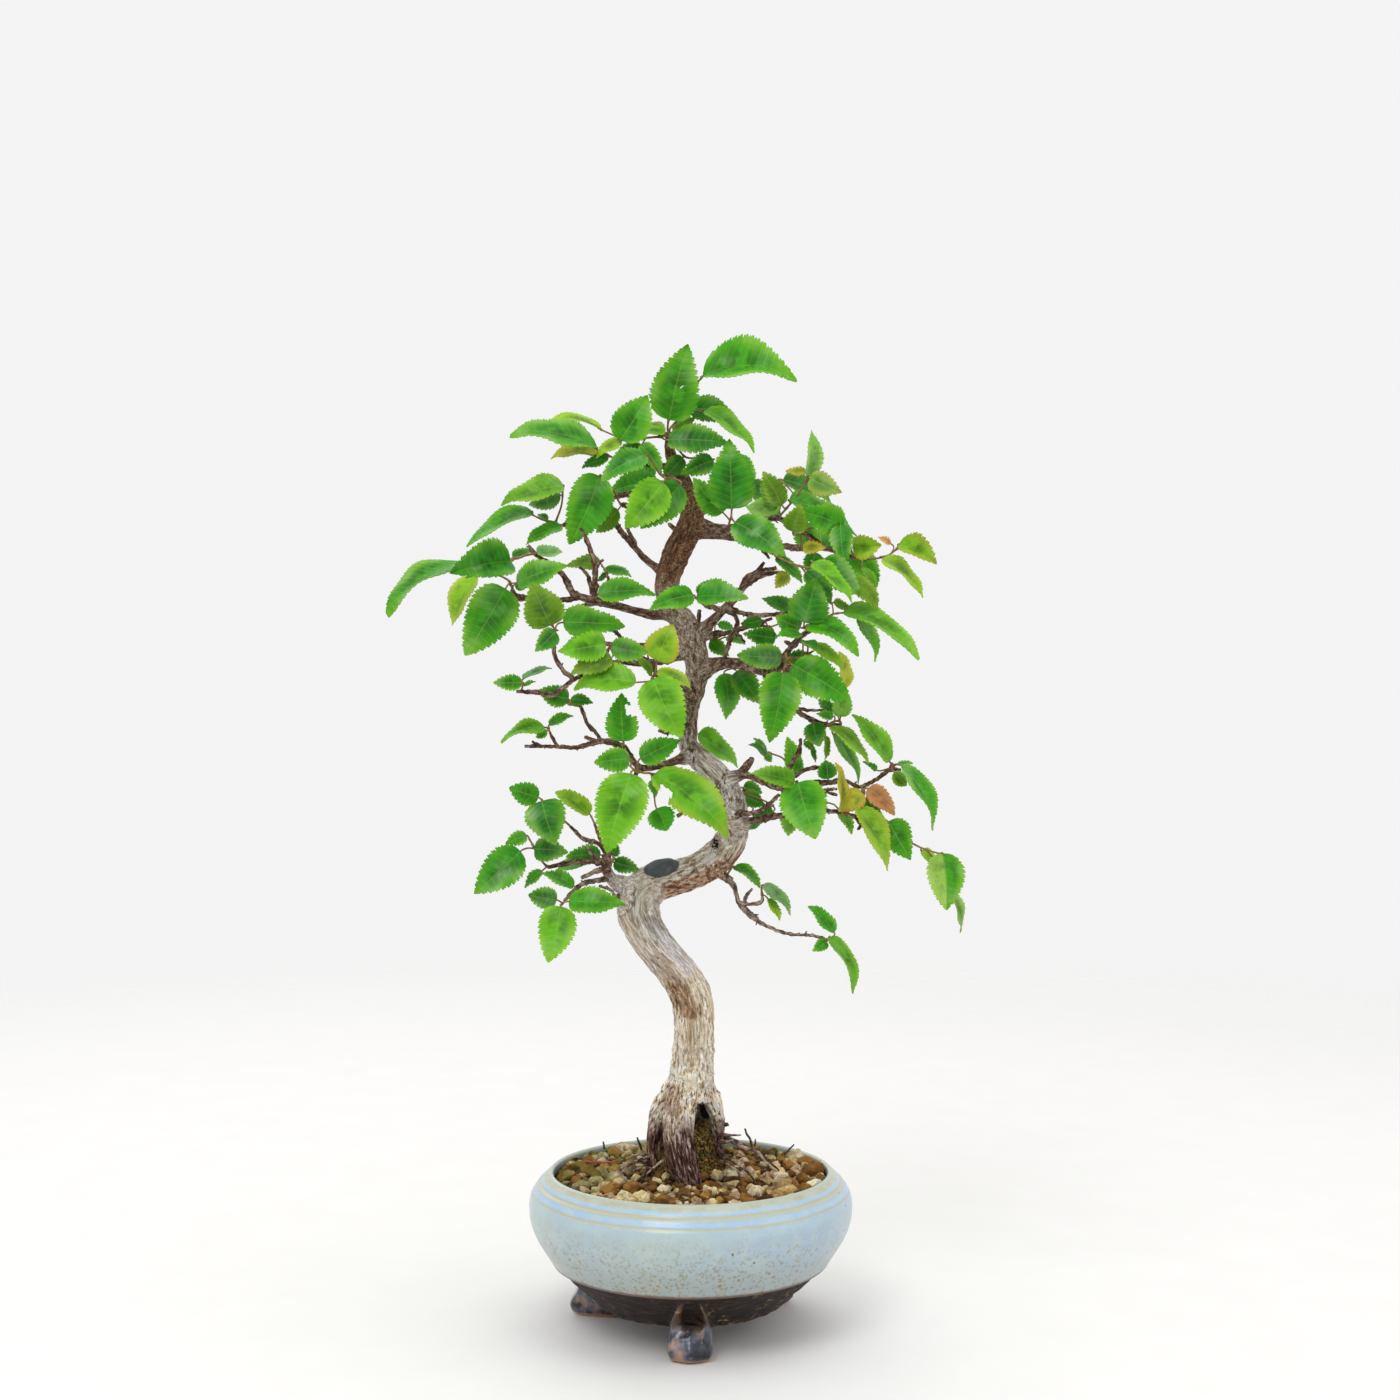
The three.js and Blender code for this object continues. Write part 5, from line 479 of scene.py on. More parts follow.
    46.4,233.4,-14]], [
    ["p",60,242.4,61,254.4,8,-15,1], ["m",57,242.6,50.4,243.6,4,-17,-2], ["d",57.4,244.4,51,249.4,5,-11,3],
    ["d",49,239.8,51.6,230.5,9,-17,-2], ["y",56,238.2,71.5,224,5.4,-19,-3], ["y",54,234.6,54,225,2.6,-15],
    ["b",57,235.4,68,215,5,-11,4], ["m",45.6,232.2,50.4,228.2,3,-13,-1], ["d",48.4,229,50,224,2,-14]]],
  ["far_right", [[80,222.4,-18, 80.6,223.4,-19]], [
    ["b",79.6,224.4,65,243.5,8,-19,1], ["m",84.6,222.6,98,197.5,7,-20,-5,0.1],
    ["o",81.6,220,86.5,214.5,5.5,-21,-1], ["m",83,223.2,89,223.8,2,-17], ["m",74.4,221,69,224.5,2.4,-16]]],
  ["autumn", [[68.6,213.6,-18, 69.6,212,-20, 68,208.4,-21]], [
    ["r",71,213.6,82,203,8,-19,2], ["g",68.6,212,60,204.6,9,-22,-2], ["d",70,209.6,76,203.5,6.4,-17,3],
    ["g",60.4,204.6,58.5,224,4,-25,0,0.04], ["y",67,206.4,79.5,181,9,-23,-5],
    ["p",69.4,206.4,78,200,6,-15,4]]],
  ["tip_right", [[73.4,199,-17.6, 80,195.8,-14.6, 88,192,-12, 93,189.6,-10, 100,187.4,-9]], [
    ["m",101,187.6,102.4,165,15,-9.6,-5], ["y",92.4,188.6,103,172.5,4,-7,4],
    ["p",104,172,108.5,156,3.4,-4,6], ["m",79,200.4,88,185,13,-18,-5]]],
  ["low_heart", [[42,215.2,-17.4, 42.6,216.2,-20]], [
    ["m",43,216,50,193.5,18.5,-22,-6], ["b",41.6,216.4,23.5,220,8,-21,-2]]],
  ["low_shade", [[41.6,204,-13, 42,206,-11]], [
    ["b",41,204.8,39,194.5,8.5,-9,1], ["b",36.6,211.6,39,204.4,3.6,-10,1],
    ["b",59,205.6,65,195.5,4.6,-16,0]]],
  ["twig_shade", [[40.4,222.6,-9, 40,221,-7, 37,225.6,-6, 31,228,-5]], [
    ["b",40.6,221.4,39,234.5,7,-6,3], ["m",42.4,219,44,226.4,4.6,-7,2], ["d",30,227.6,25.5,234,3,-4],
    ["d",30.6,226.8,23.6,231.4,3.6,-5,-3], ["m",30.4,227.2,32.4,224.2,3.6,-6,-1]]],
  ["spur_shade", [[53.4,222.2,-17.2, 54.4,221.4,-18]], [
    ["d",55,217.4,54,225,8,-20,2]]],
  ["behind_right", [[19.4,214,3, 21.6,213.6,6]], [
    ["d",21,214,28.8,211.8,7.5,7,2], ["d",21,211,30,206.6,7.5,7,-1], ["d",33,204.2,22.5,197,5.4,-2,4]]],
  ["behind_neck", [[1.4,237,7, 2.4,236,11]], [
    ["b",3,235.4,19.5,222.4,9,13,5]]],
  ["under_branch", [[17.6,262.6,-1.4, 17.6,261.4,1]], [
    ["m",13.4,259.6,14.6,241,10.5,2,4], ["d",18.4,260.6,28,247.5,11,2,-2]]],
  ["inner_low", [[9.6,274.2,3.6, 12,272,8]], [
    ["m",8,272.6,15.4,266.6,6.5,6,2], ["m",14.4,274,22,271.5,3.6,6,-2], ["m",11,279.4,17.6,277.6,4,8,1]]],
  ["rear_crown", [[-9.4,334,27, -12,336,34, -16,337,44]], [
    ["d",-13,336,-33,332,12,38,3], ["d",-15,338,-27,347,9,44,6], ["m",-10,335,-13,320,9,32,3],
    ["m",-17,337,-23,323,10,46,5]]],
  ["rear_top", [[18.4,332.4,29, 21,335,36, 24,336,45]], [
    ["m",20,333,12,348,10,34,4], ["d",24,336,33,329,9,44,5], ["m",22,334,10,330,10,40,5],
    ["m",23,336,20,348,8,47,6]]],
  ["rear_right", [[48.8,308.9,40.8, 53,309,46, 58,308,52]], [
    ["m",50,309.5,42,322,11,43,4], ["d",54,309.5,60,322,11,47,5], ["d",50,308,48,298,9,43,3],
    ["m",58,308,68,298,10,51,5], ["m",56,309,64,318,8,54,5]]],
  ["rear_middle", [[42.8,262,36.8, 46,262,44, 50,261,52]], [
    ["d",44,262,36,250,10,40,4], ["m",47,262,58,254,11,46,5], ["m",48,262.4,56,263,8,52,6],
    ["d",42.6,262.6,32,266,8,38,4]]],
  ["rear_left", [[-36.8,271.7,36.8, -40,273,44, -44,274,52]], [
    ["m",-38,272.6,-50,271,9,42,4], ["d",-41,274,-46,285,9,46,5], ["m",-43,274,-34,284,10,53,6]]],
]


# Geometry that the pieces share.

def deep(depth):
    """A depth in the tables as a real one."""
    return depth * (FRONT_DEPTH if depth < 0 else REAR_DEPTH)


def seen(x, z, y):
    """The point at depth y on the line of sight that crosses the plane y = 0 at x and z."""
    share = (y - EYE[1]) / -EYE[1]
    return EYE + (np.array((x, 0.0, z)) - EYE) * share


def unit(vector):
    return vector / max(1e-9, np.linalg.norm(vector))


def smooth(low, high, value):
    """0 below low, 1 above high, and a soft step between them."""
    share = np.clip((value - low) / (high - low), 0, 1)
    return share * share * (3 - 2 * share)


def through(rows, step):
    """Rows about step mm apart on a smooth curve through rows of x, y, z and radius."""
    rows = np.asarray(rows, dtype=float)
    padded = np.vstack((2 * rows[0] - rows[1], rows, 2 * rows[-1] - rows[-2]))
    parts = []
    for before, start, end, after in zip(padded, padded[1:], padded[2:], padded[3:]):
        pairs = ((before, start), (start, end), (end, after))
        first, middle, last = (max(1e-3, np.linalg.norm((b - a)[:3])) ** 0.5 for a, b in pairs)
        leave = middle * ((start - before) / first - (end - before) / (first + middle)
                          + (end - start) / middle)
        arrive = middle * ((end - start) / middle - (after - start) / (middle + last)
                           + (after - end) / last)
        count = max(1, round(np.linalg.norm((end - start)[:3]) / step))
        s = np.arange(count)[:, None] / count
        parts.append((2 * s**3 - 3 * s**2 + 1) * start + (s**3 - 2 * s**2 + s) * leave
                     + (3 * s**2 - 2 * s**3) * end + (s**3 - s**2) * arrive)
    return np.vstack(parts + [rows[-1:]])


def frames(points):
    """The direction of a line at its points, with two directions across it that don't twist."""
    along = np.gradient(points, axis=0)
    along /= np.linalg.norm(along, axis=1)[:, None]
    side = np.array((0.2, -1.0, 0.1))
    sides = []
    for direction in along:
        side = unit(side - direction * side.dot(direction))
        sides.append(side)
    sides = np.array(sides)
    return along, sides, np.cross(along, sides)


def arc_lengths(points):
    return np.concatenate(([0], np.cumsum(np.linalg.norm(np.diff(points, axis=0), axis=1))))


def capped(rings, first, last, downward=False):
    """Points and faces of a closed body over rings of points, with a middle point at each end.
    The rings run upward or along a line with their sides to the left, or else downward."""
    index = np.arange(rings.size // 3).reshape(rings.shape[:2])
    turned = np.roll(index, -1, axis=1)
    quads = np.stack((index[:-1], turned[:-1], turned[1:], index[1:]), -1).reshape(-1, 4)
    start = np.stack((np.full_like(index[0], index.size), turned[0], index[0]), -1)
    end = np.stack((np.full_like(index[0], index.size + 1), index[-1], turned[-1]), -1)
    faces = [quads, start, end]
    if downward:
        faces = [np.roll(part[:, ::-1], 1, axis=1) for part in faces]
    return np.vstack((rings.reshape(-1, 3), first, last)), faces


def tube(rows, sides, relief=None):
    """Points and faces of a closed tube through rows of x, y, z and radius, and the place of each
    point: across the line in two directions, and along it."""
    points, radii = rows[:, :3], rows[:, 3]
    _, side, other = frames(points)
    angles = 2 * math.pi * (np.arange(sides) + 0.5) / sides
    reach = radii[:, None] * (np.ones((1, sides)) if relief is None else relief)
    local = np.stack((np.cos(angles) * reach, np.sin(angles) * reach), -1)
    rings = points[:, None] + side[:, None] * local[..., :1] + other[:, None] * local[..., 1:]
    far = np.broadcast_to(arc_lengths(points)[:, None, None], (*reach.shape, 1))
    places = np.concatenate((local, far), -1).reshape(-1, 3)
    places = np.vstack((places, (0, 0, 0), (0, 0, places[-1][2])))
    return *capped(rings, points[0], points[-1]), places


def turned_body(profile, sides, relief=None):
    """Points and faces of a closed body turned about the z axis from a closed profile."""
    profile = np.asarray(profile, dtype=float)
    angles = 2 * math.pi * np.arange(sides) / sides
    reach = np.repeat(profile[None, :, 0], sides, axis=0)
    if relief is not None:
        reach = reach + relief(angles[:, None], profile[None, :, 0], profile[None, :, 1])
    heights = np.broadcast_to(profile[None, :, 1], reach.shape)
    points = np.stack((np.cos(angles)[:, None] * reach, np.sin(angles)[:, None] * reach, heights), -1)
    index = np.arange(reach.size).reshape(reach.shape)
    around = np.roll(index, -1, axis=0)
    quads = np.stack((index, around, np.roll(around, -1, axis=1), np.roll(index, -1, axis=1)), -1)
    return points.reshape(-1, 3), [quads.reshape(-1, 4)]


class Shape:
    """The points, faces and point values of a piece while it is put together."""

    def __init__(self):
        self.points = []
        self.faces = []
        self.values = {}
        self.count = 0

    def add(self, points, faces, finish=0, **values):
        """Adds points, the faces on them, which count from the first, and their values."""
        points = np.asarray(points, dtype=float).reshape(-1, 3)
        self.faces += [(np.asarray(part) + self.count, finish) for part in faces]
        self.points.append(points)
        for name, value in values.items():
            value = np.asarray(value, dtype=float)
            whole = np.broadcast_to(value, (len(points), value.shape[-1]))
            self.values.setdefault(name, []).append(whole)
        self.count += len(points)

    def build(self, name, finishes, replaced=(), sharp=None):
        """Makes the piece, which rides on the tree's only body."""
        points = np.vstack(self.points)
        used = np.zeros(len(points), dtype=bool)
        for part, _ in self.faces:
            used[part.ravel()] = True
        renumbered = np.cumsum(used) - 1
        mesh = bpy.data.meshes.new(name)
        mesh.vertices.add(int(used.sum()))
        mesh.vertices.foreach_set("co", (points[used] * MM).ravel())
        loops = np.concatenate([renumbered[part].ravel() for part, _ in self.faces])
        sizes = np.concatenate([np.full(len(part), part.shape[1]) for part, _ in self.faces])
        mesh.loops.add(len(loops))
        mesh.loops.foreach_set("vertex_index", loops)
        mesh.polygons.add(len(sizes))
        mesh.polygons.foreach_set("loop_start", np.concatenate(([0], np.cumsum(sizes)[:-1])))
        mesh.polygons.foreach_set("material_index", np.concatenate(
            [np.full(len(part), finish) for part, finish in self.faces]))
        mesh.update(calc_edges=True)
        for value_name, parts in self.values.items():
            values = np.vstack(parts)[used]
            kind = {3: "FLOAT_VECTOR", 4: "FLOAT_COLOR"}[values.shape[1]]
            attribute = mesh.attributes.new(value_name, kind, "POINT")
            attribute.data.foreach_set({3: "vector", 4: "color"}[values.shape[1]], values.ravel())
        mesh.shade_smooth()
        if sharp is not None:
            mesh.set_sharp_from_angle(angle=math.radians(sharp))
        return dress(mesh, name, finishes, replaced)


def dress(mesh, name, finishes, replaced):
    """A piece made of a mesh, with its materials and the solids that it stands for."""
    for paint in finishes:
        mesh.materials.append(paint.material)
    piece = bpy.data.objects.new(name, mesh)
    bpy.context.scene.collection.objects.link(piece)
    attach(piece, BODY)
    for node in replaced:
        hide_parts(node)
    return piece


def merged(parts, voxel):
    """One smooth skin round overlapping closed parts: its points, normals and faces."""
    rough = Shape()
    for points, faces in parts:
        rough.add(points, faces)
    points = np.vstack(rough.points) * MM
    mesh = bpy.data.meshes.new("rough")
    mesh.from_pydata(points.tolist(), [], [face for part, _ in rough.faces for face in part.tolist()])
    body = bpy.data.objects.new("rough", mesh)
    bpy.context.scene.collection.objects.link(body)
    skin = body.modifiers.new("skin", "REMESH")
    skin.mode = "VOXEL"
    skin.voxel_size = voxel * MM
    soft = body.modifiers.new("soft", "SMOOTH")
    soft.factor = 0.5
    soft.iterations = SKIN_ROUNDS
    result = body.evaluated_get(bpy.context.evaluated_depsgraph_get()).to_mesh()
    count = len(result.vertices)
    places = np.empty(count * 3)
    result.vertices.foreach_get("co", places)
    normals = np.empty(count * 3)
    result.vertex_normals.foreach_get("vector", normals)
    quads = np.array([polygon.vertices for polygon in result.polygons])
    body.to_mesh_clear()
    bpy.data.objects.remove(body)
    bpy.data.meshes.remove(mesh)
    return places.reshape(-1, 3) / MM, normals.reshape(-1, 3), [quads]


# Materials.

def linear(code):
    """A colour code as linear red, green and blue, with 1 for alpha."""
    values = [int(code[i:i + 2], 16) / 255 for i in (1, 3, 5)]
    return (*(v / 12.92 if v <= 0.04045 else ((v + 0.055) / 1.055) ** 2.4 for v in values), 1.0)


class Wire:
    """A value on its way through a material's nodes. Sums on it add Math nodes."""

    def __init__(self, paint, socket):
        self.paint = paint
        self.socket = socket

    def math(self, operation, *values):
        return self.paint.node("ShaderNodeMath", {"operation": operation}, dict(enumerate(values)))

    def __add__(self, other):
        return self.math("ADD", self, other)

    __radd__ = __add__

    def __sub__(self, other):
        return self.math("SUBTRACT", self, other)

    def __rsub__(self, other):
        return self.math("SUBTRACT", other, self)

    def __mul__(self, other):
        return self.math("MULTIPLY", self, other)

    __rmul__ = __mul__

    def __abs__(self):
        return self.math("ABSOLUTE", self)

    def __mod__(self, other):
        return self.math("FLOORED_MODULO", self, other)

    def least(self, other):
        return self.math("MINIMUM", self, other)

    def most(self, other):
        return self.math("MAXIMUM", self, other)

    def above(self, low, high):
        """0 below low and 1 above high, with a soft step between. low may be the greater."""
        return self.paint.node("ShaderNodeMapRange", {"interpolation_type": "SMOOTHSTEP"}, {
            "Value": self, "From Min": low, "From Max": high})

    def near(self, place, reach):
        """1 at a place, falling to 0 at a reach from it."""
        return abs(self - place).above(reach, 0)


class Paint:
    """A material and its nodes. Its place is the place on the tree, in mm."""

    def __init__(self, name, constants):
        self.material = bpy.data.materials.new(name)
        self.material.use_nodes = True
        self.tree = self.material.node_tree
        self.shader = self.tree.nodes["Principled BSDF"]
        for socket, value in constants.items():
            self.shader.inputs[socket].default_value = value
        here = self.node("ShaderNodeTexCoord", output=3)
        self.place = self.scaled(here, 1 / MM, 1 / MM, 1 / MM)

    def node(self, kind, settings=None, inputs=None, output=0):
        """A node of a kind: its settings first, then the values or links of its sockets."""
        made = self.tree.nodes.new(kind)
        for name, value in (settings or {}).items():
            if name == "stops":
                for _ in range(2, len(value)):
                    made.color_ramp.elements.new(1)
                for element, (place, code) in zip(made.color_ramp.elements, value.items()):
                    element.position = place
                    element.color = linear(code)
            else:
                setattr(made, name, value)
        for name, value in (inputs or {}).items():
            self.join(made.inputs[name], value)
        return Wire(self, made.outputs[output])

    def join(self, socket, value):
        if isinstance(value, Wire):
            self.tree.links.new(value.socket, socket)
        else:
            socket.default_value = value

    def feed(self, socket, value):
        self.join(self.shader.inputs[socket], value)

    def mix(self, share, first, second, blend="MIX"):
        first, second = (linear(c) if isinstance(c, str) else c for c in (first, second))
        return self.node("ShaderNodeMix", {"data_type": "RGBA", "blend_type": blend},
                         {0: share, 6: first, 7: second}, 2)

    def layers(self, colour, *laid):
        """A colour with others laid over it in turn: each one's share, colour and blend."""
        for share, over, *blend in laid:
            colour = self.mix(share, colour, over, *blend)
        return colour

    def ramp(self, value, stops):
        return self.node("ShaderNodeValToRGB", {"stops": stops}, {0: value})

    def value(self, name, output=1):
        """A point value of the mesh."""
        return self.node("ShaderNodeAttribute", {"attribute_name": name}, output=output)

    def scaled(self, vector, x, y, z):
        return self.node("ShaderNodeVectorMath", {"operation": "MULTIPLY"}, {0: vector, 1: (x, y, z)})

    def shifted(self, vector, x, y, z):
        return self.node("ShaderNodeVectorMath", {"operation": "ADD"}, {0: vector, 1: (x, y, z)})

    def length(self, vector):
        return self.node("ShaderNodeVectorMath", {"operation": "LENGTH"}, {0: vector}, 1)

    def split(self, vector):
        first = self.node("ShaderNodeSeparateXYZ", None, {0: vector})
        return [Wire(self, output) for output in first.socket.node.outputs]

    def noise(self, size, detail=2, rough=0.5, at=None):
        """Noise from 0 to 1 with lumps about size mm across."""
        return self.node("ShaderNodeTexNoise", None, {
            "Vector": at or self.place, "Scale": 1 / size, "Detail": detail, "Roughness": rough})

    def cells(self, size, at=None, feature="F1"):
        """The distance from the nearest of the points scattered size mm apart, in those sizes."""
        return self.node("ShaderNodeTexVoronoi", {"feature": feature}, {
            "Vector": at or self.place, "Scale": 1 / size})

    def bump(self, height, depth):
        """A relief of so many mm."""
        return self.node("ShaderNodeBump", None, {
            "Height": height, "Distance": depth * MM, "Strength": 1.0})


# Leaves, stalks and stems.

def swell(t, powers):
    """How far the plain outline of a leaf stands from its midrib, as a share of the widest place."""
    base, tip = powers
    widest = base / (base + tip)
    return (t / widest) ** base * ((1 - t) / (1 - widest)) ** tip


def lie_of(row, slide, swing):
    """The way a leaf lies: its base, and the directions along, across and out of its face."""
    row = (*row, *(0, ARCH, FOLD)[len(row) - 7:])
    _, base_x, base_z, tip_x, tip_z, shown, depth, lean, arch, fold = row
    base = seen(base_x, base_z, deep(depth) + slide)
    tip = seen(tip_x, tip_z, deep(depth) + slide + lean + swing)
    along = unit(tip - base)
    length = np.linalg.norm(tip - base)
    width = max(shown, WIDTH_SHARE * length)
    roll = math.acos(min(1, shown / width))
    middle = (base + tip) / 2
    to_eye = EYE - middle
    to_eye = unit(to_eye - along * to_eye.dot(along))
    upward = np.cross(along, to_eye)
    if upward.dot((SIDE_LEAN * np.sign(middle[0]), 0, 1)) < 0:
        upward = -upward
    out = to_eye * math.cos(roll) + upward * math.sin(roll)
    across = upward * math.cos(roll) - to_eye * math.sin(roll)
    return SimpleNamespace(base=base, along=along, across=across, out=out, length=length,
                           half=width / 2, arch=arch, fold=fold,
                           thick=BLADE * math.hypot(1, fold, ARCH_SLOPE * arch))


def blade_point(lie, t, offset, rise):
    """Points of a blade at t of its length and offset mm from the midrib, raised by rise mm."""
    arched = lie.length * lie.arch * 4 * t * (1 - t) + lie.fold * np.abs(offset) + rise
    parts = ((lie.along, lie.length * t), (lie.across, offset), (lie.out, arched))
    return lie.base + sum(direction * np.asarray(far)[..., None] for direction, far in parts)


def settled(row, solid):
    """The lie of a leaf in the place where its solid was settled clear of the others."""
    best = None
    for slide in SLIDES:
        for swing in SWINGS:
            lie = lie_of(row, slide, swing)
            top = lie.thick / 2
            marks = (blade_point(lie, 1.0, 0.0, top), blade_point(lie, HEART, 0.0, top))
            miss = sum(solid.find(Vector(mark * MM))[2] for mark in marks)
            if best is None or miss < best[0] - 1e-6:
                best = (miss, lie)
    return best[1]


def veins_of(lie):
    """How many veins run to the teeth on each side of a leaf."""
    return int(np.clip(round(2.6 + lie.length / 3.5), 4, 13))


def margin_rows(lie, powers):
    """The rows of a blade: where each meets the margin and the midrib, its share of the half
    width, how far its tooth stands out, and its place between two veins."""
    veins = veins_of(lie)
    rake = VEIN_RAKE * lie.half / lie.length
    wanted = np.array([vein + phase for vein in range(veins) for phase, _ in TOOTH_ROWS])
    teeth = np.array([tooth for _ in range(veins) for _, tooth in TOOTH_ROWS])
    low = np.array([share for share, _ in BASE_ROWS])
    low_teeth = [tooth for _, tooth in BASE_ROWS]
    edge = np.concatenate((low * rake, wanted / veins * (1 - rake) + rake, [1.0]))
    middle = np.concatenate((0.006 * low, np.maximum(0.006, wanted / veins), [1.0]))
    teeth = np.concatenate((low_teeth, teeth, [0.0]))
    phase = np.concatenate((low - 1, wanted, [veins]))
    return edge, middle, swell(edge, powers), teeth, phase


def faces_of(keep):
    """Faces of a closed shell over a grid of cells, of which some may be missing."""
    rows, columns = keep.shape
    index = np.arange((rows + 1) * (columns + 1)).reshape(rows + 1, columns + 1)
    under = index.size
    a, b, c, d = index[:-1, :-1], index[1:, :-1], index[1:, 1:], index[:-1, 1:]
    upper = np.stack((a, d, c, b), -1)[keep]
    lower = np.stack((a, b, c, d), -1)[keep] + under
    padded = np.pad(keep, 1)
    before, after = padded[:-1, 1:-1], padded[1:, 1:-1]
    left, right = padded[1:-1, :-1], padded[1:-1, 1:]
    edges = (
        (index[:, 1:], index[:, :-1], after & ~before), (index[:, :-1], index[:, 1:], before & ~after),
        (index[:-1], index[1:], right & ~left), (index[1:], index[:-1], left & ~right),
    )
    walls = [np.stack((s, e, e + under, s + under), -1)[wanted] for s, e, wanted in edges]
    return upper, lower, np.vstack(walls)


def grow_blade(shape, lie, colour, gloss, mark, rng):
    """Adds the fine blade of a leaf: a thin shell with teeth, and veins that lie in pleats."""
    powers = (rng.uniform(*BASE_POWER), rng.uniform(*TIP_POWER))
    edge, middle, share, teeth, phase = margin_rows(lie, powers)
    f = np.array(COLUMNS)[None, :]
    reach = np.abs(f)
    deepest = TOOTH_DEPTH[0] + TOOTH_DEPTH[1] * lie.half
    teeth = teeth * rng.uniform(0.7, 1.3, len(teeth)) * np.minimum(1, 2.5 * share)
    half = lie.half * share + deepest * teeth
    half = np.maximum(half, BASE_HALF * (1 - edge) + TIP_HALF * edge)[:, None]
    t = middle[:, None] + (edge - middle)[:, None] * reach ** 0.9
    offset = f * half
    side = np.sign(lie.across.dot((1, 0, 0.3))) or 1
    middle_t = (t[:-1, :-1] + t[1:, 1:]) / 2
    middle_f = np.broadcast_to((f[:, :-1] + f[:, 1:]) / 2 * side, middle_t.shape)
    keep = np.ones(middle_t.shape, dtype=bool)
    for place_t, place_f, size_t, size_f in GONE.get(mark, ()):
        gone = ((middle_t - place_t) / size_t) ** 2 + ((middle_f - place_f) / size_f) ** 2 < 1
        keep &= ~gone
        if size_f < HOLE_LIMIT:
            beside = np.pad(gone, ((0, 1), (0, 1)))
            beside = beside | np.roll(beside, 1, 0)
            beside = beside | np.roll(beside, 1, 1)
            offset = np.where(beside, offset + 0.6 * (place_f * side * half - offset), offset)
    length = lie.length
    ridge = np.abs(np.sin(math.pi * (phase - VEIN_PHASE)))[:, None]
    pleat = PLEAT * length * ridge * np.minimum(1, 4 * reach) * (1 - 0.35 * reach)
    pleat = pleat * np.minimum(1, half / 4)
    turns = rng.uniform(1.1, 1.7)
    starts = rng.uniform(0, 6.28, 2)
    slim = min(1, max(0.3, 3.6 * lie.half / length - 0.1))
    wave = np.sin(2 * math.pi * turns * t + np.where(f > 0, *starts))
    wave = WAVE * slim * length * reach ** 2 * wave
    curl = -CURL * length * smooth(0.7, 1.0, t) ** 2
    twist = rng.uniform(-TWIST, TWIST) * offset * (t - 0.4)
    rise = pleat + wave + curl + twist
    sway = rng.uniform(-SWAY, SWAY) * slim * length * np.sin(math.pi * t)
    groove = np.where(f == 0, MIDRIB_GROOVE * np.minimum(1, half), 0)
    rib = np.where(f == 0, MIDRIB_KEEL * (1 - t) ** 0.7 * np.minimum(1, half / 2), 0)
    swayed = lie.across * sway[..., None]
    upper = blade_point(lie, t, offset, rise + SKIN - groove) + swayed
    lower = blade_point(lie, t, offset, rise - SKIN - rib) + swayed
    points = np.stack((upper, lower))
    blade = np.stack((t, offset, np.broadcast_to(f, t.shape), np.broadcast_to(phase[:, None], t.shape)), -1)
    tone = np.broadcast_to((*colour, gloss), (*t.shape, 4)).copy()
    if mark in PALE_SIDES:
        wanted, code = PALE_SIDES[mark]
        tone[..., :3] = np.where((f * side * wanted > 0)[..., None], linear(code)[:3], tone[..., :3])
    rim = (*colour, 0)
    if mark in RIMS:
        code, amount = RIMS[mark]
        rim = (*linear(code)[:3], amount)
    shape.add(points, faces_of(keep), blade=np.stack((blade, blade)).reshape(-1, 4),
              tone=np.stack((tone, tone)).reshape(-1, 4), rim=rim)


def nearest_on(points, target):
    """How far a point is from a line of points, and how far along the line it is nearest."""
    best = (math.inf, 0.0)
    passed = 0.0
    for start, end in zip(points, points[1:]):
        length = np.linalg.norm(end - start)
        share = np.clip((target - start).dot(end - start) / max(1e-9, length**2), 0, 1)
        miss = np.linalg.norm(start + (end - start) * share - target)
        if miss < best[0]:
            best = (miss, passed + share * length)
        passed += length
    return best


def point_along(points, distance):
    left = max(0.0, distance)
    for start, end in zip(points, points[1:]):
        length = np.linalg.norm(end - start)
        if left <= length:
            return start + (end - start) * left / max(1e-9, length)
        left -= length
    return points[-1]


def grow_stalk(shape, lie, stems):
    """Adds the stalk that leaves a stem and bends into the midrib of a leaf."""
    places = sorted(((*nearest_on(points, lie.base), i) for i, points in enumerate(stems)))
    miss, along, chosen = places[0]
    foot = point_along(stems[chosen], max(0.0, along - max(STALK_SINK, STALK_RAKE * miss)))
    reach = np.linalg.norm(lie.base - foot)
    if reach < 0.3:
        foot = lie.base - lie.along * STALK_SINK
        reach = STALK_SINK
    onward = unit(point_along(stems[chosen], along + 0.5) - point_along(stems[chosen], along - 0.5))
    leave = foot + 0.3 * reach * unit(unit(lie.base - foot) + 0.6 * onward)
    arrive = lie.base - lie.along * 0.35 * reach
    s = np.linspace(0, 1, 9)[:, None]
    curve = ((1 - s)**3 * foot + 3 * (1 - s)**2 * s * leave + 3 * (1 - s) * s**2 * arrive
             + s**3 * lie.base)
    under = lie.base + lie.along * 0.05 * lie.length - lie.out * 0.1
    curve = np.vstack((curve, under))
    thick = STALK_R + 0.06 * min(1, lie.length / 25)
    radii = thick * np.array((1.25, 1.02, 1, 1, 1, 1, 1, 1.02, 1, 0.7))
    points, faces, _ = tube(np.column_stack((curve, radii)), 6)
    shape.add(points, faces, finish=1, **NO_BLADE)


def grow_stem(shape, points, joints, rng):
    """Adds a young stem, with a small swelling where each stalk leaves it."""
    rows = through(np.column_stack((points, np.linspace(*STEM_R, len(points)))), 0.6)
    far = arc_lengths(rows[:, :3])
    for joint in joints:
        rows[:, 3] += 0.16 * np.exp(-((far - joint) / 0.7) ** 2)
    rows[:, 3] *= 1 + 0.06 * np.sin(3 * far + rng.uniform(0, 6))
    made, faces, _ = tube(rows, 8)
    shape.add(made, faces, finish=1, **NO_BLADE)


